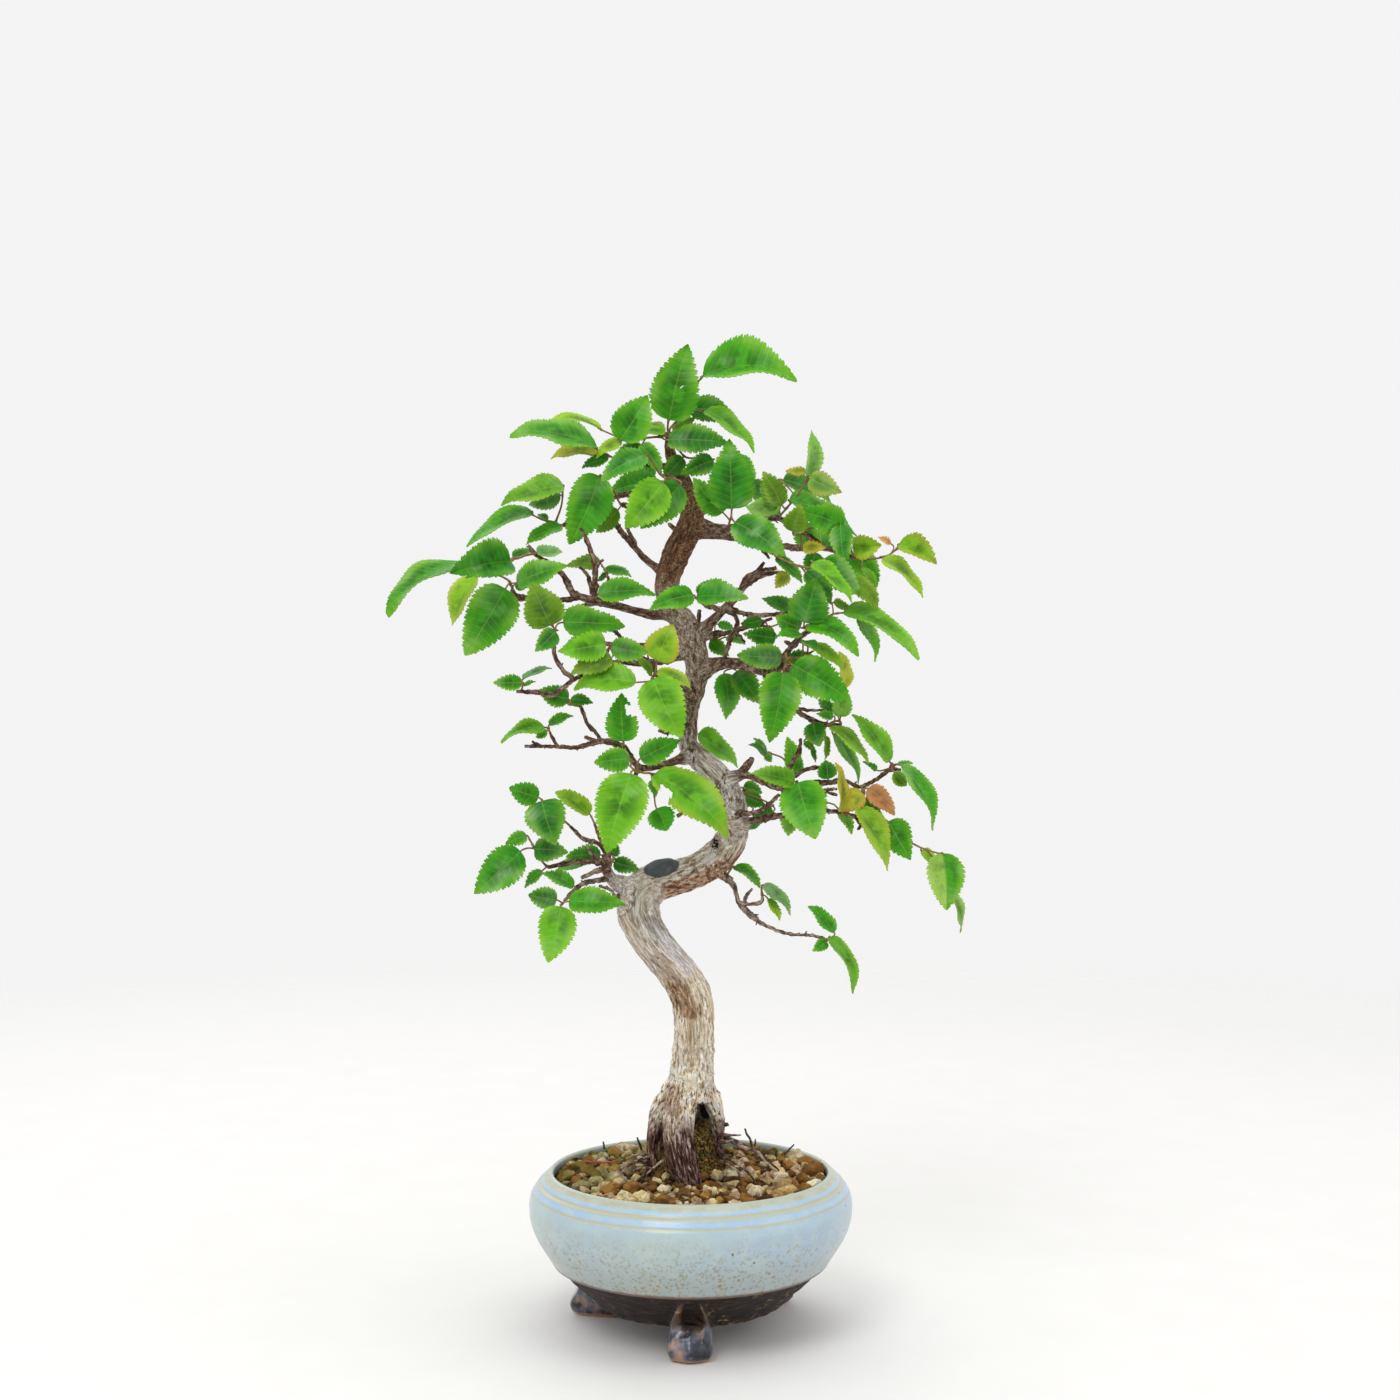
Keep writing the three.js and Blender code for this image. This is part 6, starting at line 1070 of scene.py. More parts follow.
def grow_shoot(name, stem_rows, leaf_rows, wood_axis, finishes):
    """Makes the fine form of one leafy shoot in place of its solid."""
    node = f"shoot_{name}"
    rng = np.random.default_rng(sum(ord(letter) * (i + 3) for i, letter in enumerate(node)))
    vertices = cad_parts[node].data.vertices
    solid = KDTree(len(vertices))
    for i, vertex in enumerate(vertices):
        solid.insert(vertex.co, i)
    solid.balance()
    stems = [np.array([seen(x, z, deep(y)) for x, z, y in np.reshape(rows, (-1, 3))])
             for rows in stem_rows]
    root = np.array(wood_axis.find(Vector(stems[0][0]))[0])
    if np.linalg.norm(root - stems[0][0]) > 0.2:
        stems[0] = np.vstack((root, stems[0]))
    shape = Shape()
    lies = [settled(row, solid) for row in leaf_rows]
    for i, (row, lie) in enumerate(zip(leaf_rows, lies)):
        code, gloss = LEAF_KINDS[row[0]]
        colour = np.array(linear(code)[:3]) * rng.uniform(0.86, 1.14) * rng.uniform(0.94, 1.06, 3)
        grow_blade(shape, lie, colour, gloss, (name, i), rng)
        grow_stalk(shape, lie, stems)
    for points in stems:
        near = (nearest_on(points, lie.base) for lie in lies)
        joints = [along for miss, along in near if miss < JOINT_REACH]
        grow_stem(shape, points, joints, rng)
    shape.build(f"fine_{node}", finishes, (node,), sharp=50)


# The wood.

def limb_rows(table):
    """Rows of x, y, z and radius of a limb from its table."""
    points = np.reshape(table, (-1, 4))
    return np.array([(*seen(x, z, deep(y)), radius) for x, z, y, radius in points])


def wood_relief(places, grains, thick, limb):
    """How far the bark stands out in mm: plaited strands at the foot, a ragged crust above them,
    low flutes up the bare trunk, and rough lumps on the upper wood and the limbs."""
    relief = np.empty(len(places))
    heights = places[:, 2] + 2.5 * np.sin(places[:, 0] * 0.55)
    foot = 1 - smooth(84, 96, heights)
    crust = smooth(80, 90, heights) * (1 - smooth(104, 126, heights))
    bare = smooth(104, 128, heights) * (1 - smooth(205, 235, heights)) * (1 - limb)
    upper = np.maximum(smooth(170, 225, heights), limb)
    for i, (place, (gx, gy, far)) in enumerate(zip(places.tolist(), grains.tolist())):
        strand, thread, flute, flake = (
            noise.noise((gx * fine, gy * fine, far * long)) for fine, long in BARK_SCALES)
        lump = noise.noise([number * LUMP_SCALE for number in place])
        relief[i] = (foot[i] * (1.5 * (0.25 - abs(strand)) + 1.1 * (0.2 - abs(thread)))
                     + crust[i] * (0.9 * flake + 1.1 * thread)
                     + bare[i] * (0.25 * flute + 0.3 * thread + 0.45 * flake)
                     + upper[i] * (0.55 * lump + 0.45 * flake))
    return relief * np.clip(thick / 5, 0.25, 1)


def seams(line, faces):
    """1 where the grain of one line of the wood meets that of another, fading out beside it."""
    seam = np.zeros(len(line))
    for part in faces:
        parted = line[part].max(axis=1) > line[part].min(axis=1)
        seam[part[parted].ravel()] = 1.0
    for _ in range(SEAM_ROUNDS):
        total = np.zeros(len(line))
        count = np.zeros(len(line))
        for part in faces:
            for column in part.T:
                np.add.at(total, column, seam[part].mean(axis=1))
                np.add.at(count, column, 1)
        seam = np.maximum(seam * (seam > 0.99), total / np.maximum(count, 1))
    return np.minimum(1, 1.6 * seam)


def make_wood(finish):
    """The trunk with its roots and the stout parts of its limbs in one skin, and the thinner limbs
    on it. Gives the lines that shoots spring from."""
    trunk = through([(*seen(x, z, y), radius) for x, z, y, radius in np.reshape(TRUNK, (-1, 4))], 1.2)
    share = np.linspace(0, 1, len(trunk))[:, None]
    angles = 2 * math.pi * (np.arange(TRUNK_SIDES) + 0.5) / TRUNK_SIDES
    fluted = 1 + FLUTE * np.cos(2 * angles[None, :] + 9 * share)
    parts = [tube(trunk, TRUNK_SIDES, fluted)[:2]]
    lines = [trunk]
    for table in ROOTS:
        rows = limb_rows(table)
        rows[0, 3] *= 0.75
        rows = through(rows, 1.0)
        parts.append(tube(rows, ROOT_SIDES)[:2])
        lines.append(rows)
    thin = []
    for table in LIMBS:
        rows = through(limb_rows(table), 0.8)
        far = arc_lengths(rows[:, :3])
        slight = np.flatnonzero(rows[:, 3] < STOUT_TO)
        last = slight[0] if len(slight) else len(rows) - 1
        lines.append(rows)
        if table[3] >= STOUT_FROM and last >= 4:
            flare = rows[:last + 1].copy()
            flare[:, 3] *= 1 + 0.25 * np.exp(-((far[:last + 1] - 3) / 3) ** 2)
            flare[-3:, 3] *= (0.97, 0.9, 0.75)
            parts.append(tube(flare, STOUT_SIDES)[:2])
            thin.append(rows[max(0, last - 4):])
        else:
            thin.append(rows)
    points, normals, faces = merged(parts, WOOD_VOXEL)
    samples = []
    for k, rows in enumerate(lines):
        _, side, other = frames(rows[:, :3])
        far = arc_lengths(rows[:, :3]) + 61 * k
        samples += [(k, rows[i], side[i], other[i], far[i]) for i in range(len(rows))]
    limbs_from = 1 + len(ROOTS)
    axis, stock, crown = KDTree(len(samples)), KDTree(len(samples)), KDTree(len(samples))
    for i, (k, row, *_) in enumerate(samples):
        axis.insert(Vector(row[:3]), i)
        (stock if k < limbs_from else crown).insert(Vector(row[:3]), i)
    for tree in (axis, stock, crown):
        tree.balance()
    grains = np.empty((len(points), 3))
    thick = np.empty(len(points))
    limb = np.empty(len(points))
    line = np.empty(len(points))
    for i, point in enumerate(points):
        near = axis.find_n(Vector(point), 6)
        chosen = min(near, key=lambda found: found[2] / samples[found[1]][1][3])
        line[i], row, side, other, far = samples[chosen[1]]
        away = point - row[:3]
        grains[i] = (away.dot(side), away.dot(other), far)
        thick[i] = row[3]
        ratios = []
        for tree in (stock, crown):
            found = tree.find(Vector(point))
            ratios.append(found[2] / samples[found[1]][1][3])
        limb[i] = ratios[0] - ratios[1]
    limb = smooth(0.0, 1.2, limb)
    seam = seams(line, faces)
    relief = wood_relief(points, grains, thick, limb) * (1 - seam)
    from_knot = np.linalg.norm((points - seen(*KNOT)) * KNOT_SQUASH, axis=1) + 9 * (points[:, 1] > -2)
    relief += KNOT_RIM * np.exp(-((from_knot - KNOT_R) / 0.9) ** 2) - (1 - smooth(0.3, 1.3, from_knot))
    body = Shape()
    bark = np.column_stack((limb, seam, 0 * seam))
    body.add(points + normals * relief[:, None], faces, grain=grains, bark=bark)
    body.build("trunk_and_roots", [finish], ("tree_wood",))
    rng = np.random.default_rng(7)
    limbs = Shape()
    for rows in thin:
        add_limb(limbs, rows, rng)
    limbs.build("branches", [finish], ("tree_wood",), sharp=60)
    return axis, [row[3] for _, row, *_ in samples]


def add_limb(shape, rows, rng):
    """Adds a thin limb with knots and dead spurs."""
    far = arc_lengths(rows[:, :3])
    sides = 10 if rows[0, 3] > 1 else 8
    knobs = np.ones((len(rows), sides))
    for _ in range(int(far[-1] / 3) + 1):
        place = rng.uniform(0, far[-1])
        swollen = 0.36 * np.exp(-((far - place) / rng.uniform(0.5, 1.0)) ** 2)
        around = 0.6 + 0.4 * np.cos(2 * math.pi * np.arange(sides) / sides + rng.uniform(0, 6.3))
        knobs += swollen[:, None] * around[None, :]
    knobs += 0.1 * rng.uniform(-1, 1, knobs.shape)
    wander = rng.normal(0, 0.09, (len(rows), 3))
    wander[0] = 0
    moved = rows.copy()
    moved[:, :3] += wander
    points, faces, places = tube(moved, sides, knobs)
    start = rng.uniform(0, 400)
    shape.add(points, faces, grain=places + (0, 0, start), bark=(1, 0, 0))
    along, side, other = frames(rows[:, :3])
    for _ in range(int(far[-1] / 8)):
        i = int(rng.integers(min(3, len(rows) - 1), len(rows)))
        turn = rng.uniform(0, 6.3)
        out = side[i] * math.cos(turn) + other[i] * math.sin(turn)
        way = unit(out + along[i] * rng.uniform(0.2, 0.9))
        size = rng.uniform(0.7, 2.2)
        root = rows[i, :3] + out * rows[i, 3] * 0.5
        line = np.array([(*(root + way * size * far_out), radius) for far_out, radius in SPUR])
        points, faces, places = tube(line, 6)
        shape.add(points, faces, grain=places + (0, 0, start + far[i]), bark=(1, 0, 0))


def make_putty(finish):
    """The smear of wound putty on the lowest bend."""
    around = np.linspace(0, 2 * math.pi, PUTTY_SIDES, endpoint=False)
    down, around = np.meshgrid(np.linspace(0, math.pi, PUTTY_RINGS + 2)[1:-1], around, indexing="ij")
    ball = np.stack((np.sin(down) * np.cos(around), np.sin(down) * np.sin(around), np.cos(down)), -1)
    points, faces = capped(ball, (0, 0, 1), (0, 0, -1), downward=True)
    dents = np.array([noise.noise(Vector(point * 2.3)) for point in points])
    points = points * (1 + 0.07 * dents)[:, None] * PUTTY_SIZE
    points[:, 2] *= np.where(points[:, 2] > 0, 0.82, 1)
    cos, sin = math.cos(PUTTY_TILT), math.sin(PUTTY_TILT)
    points = points @ np.array(((cos, 0, sin), (0, 1, 0), (-sin, 0, cos))).T + seen(*PUTTY_PLACE)
    shape = Shape()
    shape.add(points, faces)
    shape.build("putty_smear", [finish], ("wound_putty",))


# The bowl.

def smooth_profile(corners, step):
    """A profile of radii and heights on a smooth curve through corners."""
    rows = [(r, 0.0, z, 1.0) for r, z in corners]
    return through(rows, step)[:, (0, 2)]


def is_outside(r, z):
    """1 on the outer face of the wall and 0 on its inner face."""
    return smooth(-0.3, 0.3, r - np.interp(z, *WALL_MIDDLE))


def wall_relief(angle, r, z):
    """How far the thrown wall stands out: the two turned grooves, faint throwing rings, and a
    waver that the thrower's hand left."""
    grooves = -sum(0.4 * np.exp(-((z - line) / 0.45) ** 2) for line in GROOVES)
    steps = 0.3 * smooth(56.2, 56.6, z) * (1 - smooth(56.9, 57.3, z))
    rings = 0.035 * np.sin(1.45 * z + 0.3 * np.sin(2 * angle)) * smooth(30, 36, z) * (1 - smooth(50, 53, z))
    waver = 0.11 * np.sin(3 * angle + 0.4) + 0.08 * np.sin(5 * angle + 2)
    return is_outside(r, z) * (grooves + steps + rings + waver * smooth(27, 40, z))


def make_bowl(glaze, clay):
    """The glazed wall, and below it the bare clay foot ring with its three feet."""
    wall = smooth_profile(OUTER_WALL, 0.55)
    lip = smooth_profile(LIP, 0.35)
    inner = smooth_profile(INNER_WALL, 1.2)
    profile = np.vstack((wall, lip[1:], inner[1:-1]))
    points, faces = turned_body(profile, WALL_SIDES, wall_relief)
    outside = is_outside(profile[:, 0], profile[:, 1])
    bowl = Shape()
    bowl.add(points, faces, wall=np.tile(outside[:, None] * (1, 0, 0), (WALL_SIDES, 1)))
    bowl.build("glazed_wall", [glaze], ("pot",), sharp=55)
    parts = [turned_body(BASE_PROFILE, BASE_SIDES)]
    parts += [foot(math.radians(angle)) for angle in FOOT_ANGLES]
    points, normals, faces = merged(parts, CLAY_VOXEL)
    dents = np.array([noise.noise((x * 0.22, y * 0.22, z * 0.22))
                      + 0.5 * noise.noise((x * 0.6, y * 0.6, z * 0.9)) for x, y, z in points.tolist()])
    free = smooth(0.3, 2.0, points[:, 2])
    points = points + normals * (CLAY_DENTS * dents * free)[:, None]
    base = Shape()
    base.add(points, faces)
    base.build("clay_foot_ring", [clay], ("pot",))


def foot(direction):
    """One foot: a full toe, and two ridges that run up the wall with a scooped hollow between."""
    out = np.array((math.cos(direction), math.sin(direction), 0.0))
    side = np.array((-out[1], out[0], 0.0))
    rings = []
    for z, half, inner, ridge, flank, middle in FOOT_SECTIONS:
        shoulder = ridge - min(FOOT_SHOULDER, 0.55 * (ridge - inner))
        shift = HOLLOW_SHIFT * float(smooth(9, 13, z))
        corners = ((inner, 0.8), (inner, -0.8), (shoulder, -1), (ridge - 0.5, -0.9),
                   (ridge, -0.7 + shift), (flank, -0.35 + shift), (middle, shift),
                   (flank, 0.35 + shift), (ridge, 0.72 + 0.4 * shift), (ridge - 0.5, 0.9), (shoulder, 1))
        rings.append([out * r + side * across * half + (0, 0, z) for r, across in corners])
    rings = np.array(rings)
    return capped(rings, rings[0].mean(axis=0), rings[-1].mean(axis=0))


# The soil.

def soil_height(x, y):
    """The height of the bed: nearly level, with a heap between the roots."""
    distance = np.hypot(x, y)
    level = SOIL_TRUNK_Z + (SOIL_RIM_Z - SOIL_TRUNK_Z) * distance / RIM_INSIDE_R
    heap = np.interp(distance, (0, 7, 11, 18), (SOIL_HEAP, SOIL_HEAP, 7.5, 0))
    return level + heap - 1.6


def make_bed(finish):
    """The fine earth that the grit lies in, filling the bowl."""
    radii = np.concatenate((np.linspace(0, 20, 41)[1:], np.linspace(20, BED_R, 61)[1:]))
    angles = 2 * math.pi * np.arange(BED_SIDES) / BED_SIDES
    cos, sin = np.cos(angles), np.sin(angles)
    x, y = radii[:, None] * cos, radii[:, None] * sin
    lumps = np.array([noise.noise((a * 0.35, b * 0.35, 3)) + 0.6 * noise.noise((a * 0.9, b * 0.9, 8))
                      for a, b in zip(x.ravel().tolist(), y.ravel().tolist())]).reshape(x.shape)
    z = soil_height(x, y) + 0.7 * lumps
    lower = [np.stack((cos * r, sin * r, np.full(BED_SIDES, height)), -1) for r, height in BED_UNDER]
    rings = np.concatenate((np.stack((x, y, z), -1), lower))
    shape = Shape()
    shape.add(*capped(rings, (0, 0, z[0].mean()), (0, 0, BED_UNDER[-1][1]), downward=True))
    shape.build("soil_bed", [finish], ("soil",))


def ball_of(subdivisions):
    """Points and triangles of a round ball."""
    made = bmesh.new()
    bmesh.ops.create_icosphere(made, subdivisions=subdivisions, radius=1)
    points = np.array([vertex.co[:] for vertex in made.verts])
    triangles = np.array([[vertex.index for vertex in face.verts] for face in made.faces])
    made.free()
    return points, triangles


def scattered(axis, wood_radius, rng):
    """Places and sizes of grains that lie close together on the bed and clear of the wood."""
    placed = []
    cells = {}
    for low, high, wanted, tries in GRAIN_SIZES:
        made = 0
        for _ in range(tries):
            if made >= wanted:
                break
            far = GRAIN_FIELD * math.sqrt(rng.random())
            turn = 2 * math.pi * rng.random()
            x, y = far * math.cos(turn), far * math.sin(turn)
            radius = low + (high - low) * rng.random() ** 1.4
            coarse = radius > SMALL_GRAIN
            if far + 0.8 * radius > GRAIN_FIELD + 1.2 or (coarse and far < HEAP_EDGE):
                continue
            fine_earth = 6 < x < 40 and y > 14 - 0.4 * x
            if coarse and fine_earth and rng.random() < 0.85:
                continue
            i, j = int(x // CELL), int(y // CELL)
            around = [grain for a in (i - 1, i, i + 1) for b in (j - 1, j, j + 1)
                      for grain in cells.get((a, b), ())]
            if any(math.hypot(x - a, y - b) < GRAIN_APART * (radius + c) for a, b, c in around):
                continue
            z = float(soil_height(x, y)) + radius * (0.2 + 0.45 * rng.random()) + 0.5
            near = axis.find(Vector((x, y, z)))
            if near[2] < wood_radius[near[1]] + 0.75 * radius:
                continue
            cells.setdefault((i, j), []).append((x, y, radius))
            placed.append((x, y, z, radius))
            made += 1
    return placed


def make_grit(finish, axis, wood_radius):
    """Loose grains of pumice and baked clay on the bed, each broken in its own way."""
    rng = random.Random(23)
    shape = Shape()
    balls = (ball_of(1), ball_of(2), ball_of(3))
    for x, y, z, radius in scattered(axis, wood_radius, rng):
        points, triangles = balls[(radius > 1.15) + (radius > 2.2)]
        kind = rng.random() ** (0.6 if radius > 2.4 else 1.6)
        if radius < 1 and math.hypot(x, y) < 22:
            kind *= 0.45
        turned = Vector([rng.uniform(-1, 1) for _ in range(3)])
        spin = turned.normalized().to_track_quat("Z", "Y").to_matrix()
        size = radius * np.array([rng.uniform(*span) for span in GRAIN_SPANS])
        shift = rng.uniform(0, 90)
        lumps = np.array([noise.noise(point * 1.2 + shift) + 0.45 * noise.noise(point * 3 + shift)
                          for point in points])
        local = points * (1 + 0.5 * lumps)[:, None]
        for _ in range(GRAIN_CUTS):
            way = np.array([rng.gauss(0, 1) for _ in range(3)])
            way /= np.linalg.norm(way)
            local -= way * np.maximum(0, local @ way - rng.uniform(0.62, 0.95))[:, None]
        place = (local * size) @ np.array(spin).T + (x, y, z)
        shape.add(place, [triangles], stone=(kind, rng.random(), 0))
    shape.build("grit", [finish], ("soil",), sharp=40)


# Finishes.

def leaf_finish():
    """A leaf: a thin pale midrib, faint veins, a darker heart, lighter margins and tip, and a
    coloured rim on some."""
    paint = Paint("leaf_green", {"Roughness": 0.5, "Specular IOR Level": 0.22, "Coat Weight": 0.0,
                                 "Coat Roughness": 0.25})
    t, offset, reach = paint.split(paint.value("blade"))
    tone = paint.value("tone", 0)
    gloss = paint.value("tone", 3)
    rim = paint.value("rim", 0)
    rim_amount = paint.value("rim", 3)
    across = abs(offset)
    reach = abs(reach)
    phase = (paint.value("blade", 3) - VEIN_PHASE + 0.5) % 1
    vein = phase.near(0.5, 0.13) * across.above(0.1, 0.4) * (1 - reach * 0.5)
    midrib = across.above(0.3, 0.1) * t.above(1.0, 0.75)
    fine = paint.noise(0.6, 3)
    broad = paint.noise(6, 2)
    clouded = paint.noise(11, 2, at=paint.shifted(paint.place, 31, 7, 13))
    dark = paint.mix(0.8, tone, "#3a7012", "MULTIPLY")
    bright = paint.mix(0.5, tone, "#b8e030", "SCREEN")
    heart = t.near(0.4, 0.55) * reach.above(1.0, 0.1) * broad.above(0.38, 0.6)
    lit = (reach.above(0.4, 1.0) * 0.7).most(t.above(0.65, 1.0) * 0.65) * clouded.above(0.3, 0.6)
    between = phase.near(0.0, 0.3).most(phase.near(1.0, 0.3)) * reach.above(0.1, 0.5)
    pale = paint.mix(0.5, tone, "#d6e888")
    sheen = gloss * clouded.above(0.5, 0.68) * (1 - midrib) * (0.75 + phase.near(0.5, 0.5) * 0.25)
    rimmed = reach.above(0.5, 0.95).most(t.above(0.72, 0.95)) * rim_amount * (0.6 + fine * 0.8)
    paint.feed("Base Color", paint.layers(
        tone,
        (heart * 0.9 + (fine - 0.5) * 0.2, dark),
        (lit, bright),
        (between * 0.1, dark),
        ((vein * 0.22).most(midrib * 0.36), pale),
        (sheen * 0.2, "#d8f0b8"),
        (rimmed.least(1.0), rim)))
    paint.feed("Roughness", 0.54 - gloss * 0.14 + fine * 0.1)
    paint.feed("Coat Weight", gloss * (0.05 + clouded.above(0.48, 0.66) * 0.45))
    paint.feed("Normal", paint.bump(fine * 0.5 - phase.near(0.5, 0.25) * 0.6, 0.1))
    clear = paint.node("ShaderNodeBsdfTranslucent", None, {"Color": linear("#7fd022")})
    solid = Wire(paint, paint.shader.outputs[0])
    joined = paint.node("ShaderNodeMixShader", None, {0: 0.24, 1: solid, 2: clear})
    paint.join(paint.tree.nodes["Material Output"].inputs["Surface"], joined)
    return paint


def stem_finish():
    """Young stems and stalks: reddish brown and green in turn."""
    paint = Paint("young_stem", {"Roughness": 0.5})
    colour = paint.mix(paint.noise(3, 2).above(0.35, 0.65), "#7d4a2c", "#8e7a3a")
    colour = paint.mix(paint.noise(0.7, 2).above(0.45, 0.75) * 0.6, colour, "#5a3320")
    paint.feed("Base Color", colour)
    paint.feed("Normal", paint.bump(paint.noise(0.5, 3), 0.15))
    return paint


def bark_finish():
    """The bark, which changes on its way up: purple-brown strands at the foot, a cream crust above
    them, pale wood with brown dashes and cracks, and rough brown in the crown and limbs."""
    paint = Paint("hornbeam_bark", {"Roughness": 0.85, "Specular IOR Level": 0.25})
    x, y, z = paint.split(paint.place)
    grain = paint.value("grain")
    limb, seam, _ = paint.split(paint.value("bark"))
    plain = paint.noise(1.2, 4, 0.65, at=paint.scaled(paint.place, 1, 1, 0.5))

    def along(shift, stretch, size, detail, rough):
        """Noise drawn out along the grain, and plain noise where two grains meet."""
        drawn = paint.noise(size, detail, rough,
                            at=paint.shifted(paint.scaled(grain, 1, 1, stretch), shift, shift, shift))
        return drawn + (plain - drawn) * seam

    thread = along(0, 0.2, 0.85, 4, 0.65)
    streak = along(0, 0.1, 1.5, 5, 0.68)
    dash = along(7, 0.3, 0.8, 2, 0.5)
    hair = along(11, 0.15, 0.75, 4, 0.7) * 0.75 + streak * 0.25
    flake = along(0, 0.5, 1.4, 5, 0.7)
    splayed = paint.node("ShaderNodeCombineXYZ", None, {0: x * (z * 0.04 - 2.4), 1: y, 2: z * 0.28})
    slit = paint.noise(1.15, 3, 0.6, at=splayed)
    blotch = paint.noise(6, 4, 0.6)
    fine = paint.noise(0.7, 4, 0.65)
    weave = paint.cells(1.5, at=paint.shifted(paint.scaled(grain, 1, 1, 0.5), 5, 9, 3),
                        feature="DISTANCE_TO_EDGE")
    net = weave.above(0.1, 0.02) * blotch.above(0.38, 0.52)
    cracks = paint.noise(1.9, 3, 0.6, at=paint.scaled(grain, 1, 1, 0.05)).near(0.47, 0.018)

    def spot(across, up, wide, tall, slant=0.0):
        """1 in an oval place on the trunk as it is seen from the front, ragged at its edge."""
        aside = (x - across - (z - up) * slant) * (1 / wide)
        above = (z - up) * (1 / tall)
        return (aside * aside + above * above + (blotch - 0.5) * 1.6 + (dash - 0.5) * 1.4).above(1.2, 0.5)

    earth = paint.ramp(fine, {0.36: "#1c130a", 0.46: "#4b3819", 0.56: "#7a6430", 0.64: "#b0a05e"})
    brown = paint.ramp(thread, {0.38: "#24120b", 0.45: "#62402e", 0.52: "#997358", 0.6: "#d8bb9c"})
    foot = paint.layers(
        paint.ramp(thread, {0.38: "#1c0c09", 0.45: "#472c25", 0.51: "#705247", 0.57: "#a2897f",
                            0.64: "#ebdcd7"}),
        ((x + 5).above(3, -6) * 0.55, brown),
        ((x * 0.25 + 67 - z + (blotch - 0.5) * 12).above(-1, 4) * x.above(5, 8), earth),
        ((z - 62 + (blotch - 0.5) * 14).above(1, -4) * 0.7, earth),
        (z.above(82, 70) * 0.6, "#b79c94", "MULTIPLY"))
    cream = paint.layers(
        paint.ramp(flake, {0.35: "#94693f", 0.42: "#d0b184", 0.47: "#f0debb", 0.54: "#fffaf0"}),
        (slit.above(0.45, 0.4) * 0.9, paint.mix(fine, "#3f2614", "#7a5534")),
        (slit.above(0.56, 0.62) * 0.6, "#fffaf0"))
    rungs = paint.noise(0.9, 3, 0.6, at=paint.scaled(grain, 0.3, 0.3, 1)).above(0.56, 0.62)
    bare = paint.layers(
        paint.ramp(streak, {0.37: "#b3946a", 0.45: "#dac39c", 0.51: "#efe1c5", 0.6: "#fcf5e8"}),
        (dash.above(0.44, 0.39) * 0.85, "#74502c"),
        (rungs * 0.3, "#b3966a"))
    silver = paint.layers(
        paint.ramp(hair, {0.37: "#8f715a", 0.44: "#bfa694", 0.49: "#dfd1c6", 0.54: "#f2ebe6",
                          0.61: "#fffdfc"}),
        (cracks * 0.9, "#6b4428"),
        (dash.above(0.42, 0.37) * 0.7, "#8a6548"))
    fibrous = paint.ramp(flake, {0.37: "#4a2d19", 0.44: "#7a5638", 0.5: "#997556", 0.56: "#b59474",
                                 0.64: "#dcc6a8"})
    russet = paint.ramp(flake, {0.36: "#432317", 0.43: "#7b4c33", 0.49: "#a4714f", 0.55: "#c79b7b",
                                0.62: "#ecd6c0"})
    russet = paint.mix(net * 0.6, russet, "#ecd8c4")
    rough = paint.ramp(flake * 0.6 + fine * 0.4,
                       {0.38: "#5c4432", 0.45: "#8a6e59", 0.51: "#b19a87", 0.58: "#e3d7cb"})
    upper = paint.ramp(flake * 0.5 + fine * 0.5,
                       {0.39: "#3a2114", 0.46: "#62422c", 0.52: "#865f43", 0.59: "#b39072"})
    neck = paint.ramp(flake * 0.6 + fine * 0.4,
                      {0.38: "#33211a", 0.45: "#5e4434", 0.51: "#876c58", 0.58: "#bfa995"})
    dark = paint.ramp(flake, {0.35: "#38231a", 0.44: "#5f4333", 0.52: "#856653", 0.62: "#b8a190"})
    pale = paint.ramp(flake, {0.35: "#3a2a20", 0.43: "#6e5748", 0.51: "#9a8373", 0.6: "#cbbbac"})
    dark = paint.mix(z.above(184, 176), dark, pale)
    veined = paint.ramp(flake, {0.37: "#73583f", 0.44: "#a48a70", 0.5: "#cfbca5", 0.58: "#f6eee2"})
    veined = paint.mix(net * 0.7, veined, "#f8f1e6")
    silvery = paint.ramp(hair, {0.4: "#6f5a4a", 0.46: "#a8968a", 0.51: "#d9cdc4", 0.58: "#fbf7f3"})
    sage = paint.mix(hair.above(0.42, 0.58), "#85816a", "#cbc7b2")
    lilac = paint.mix(hair.above(0.42, 0.56), "#c6b5b8", "#fffcfa")

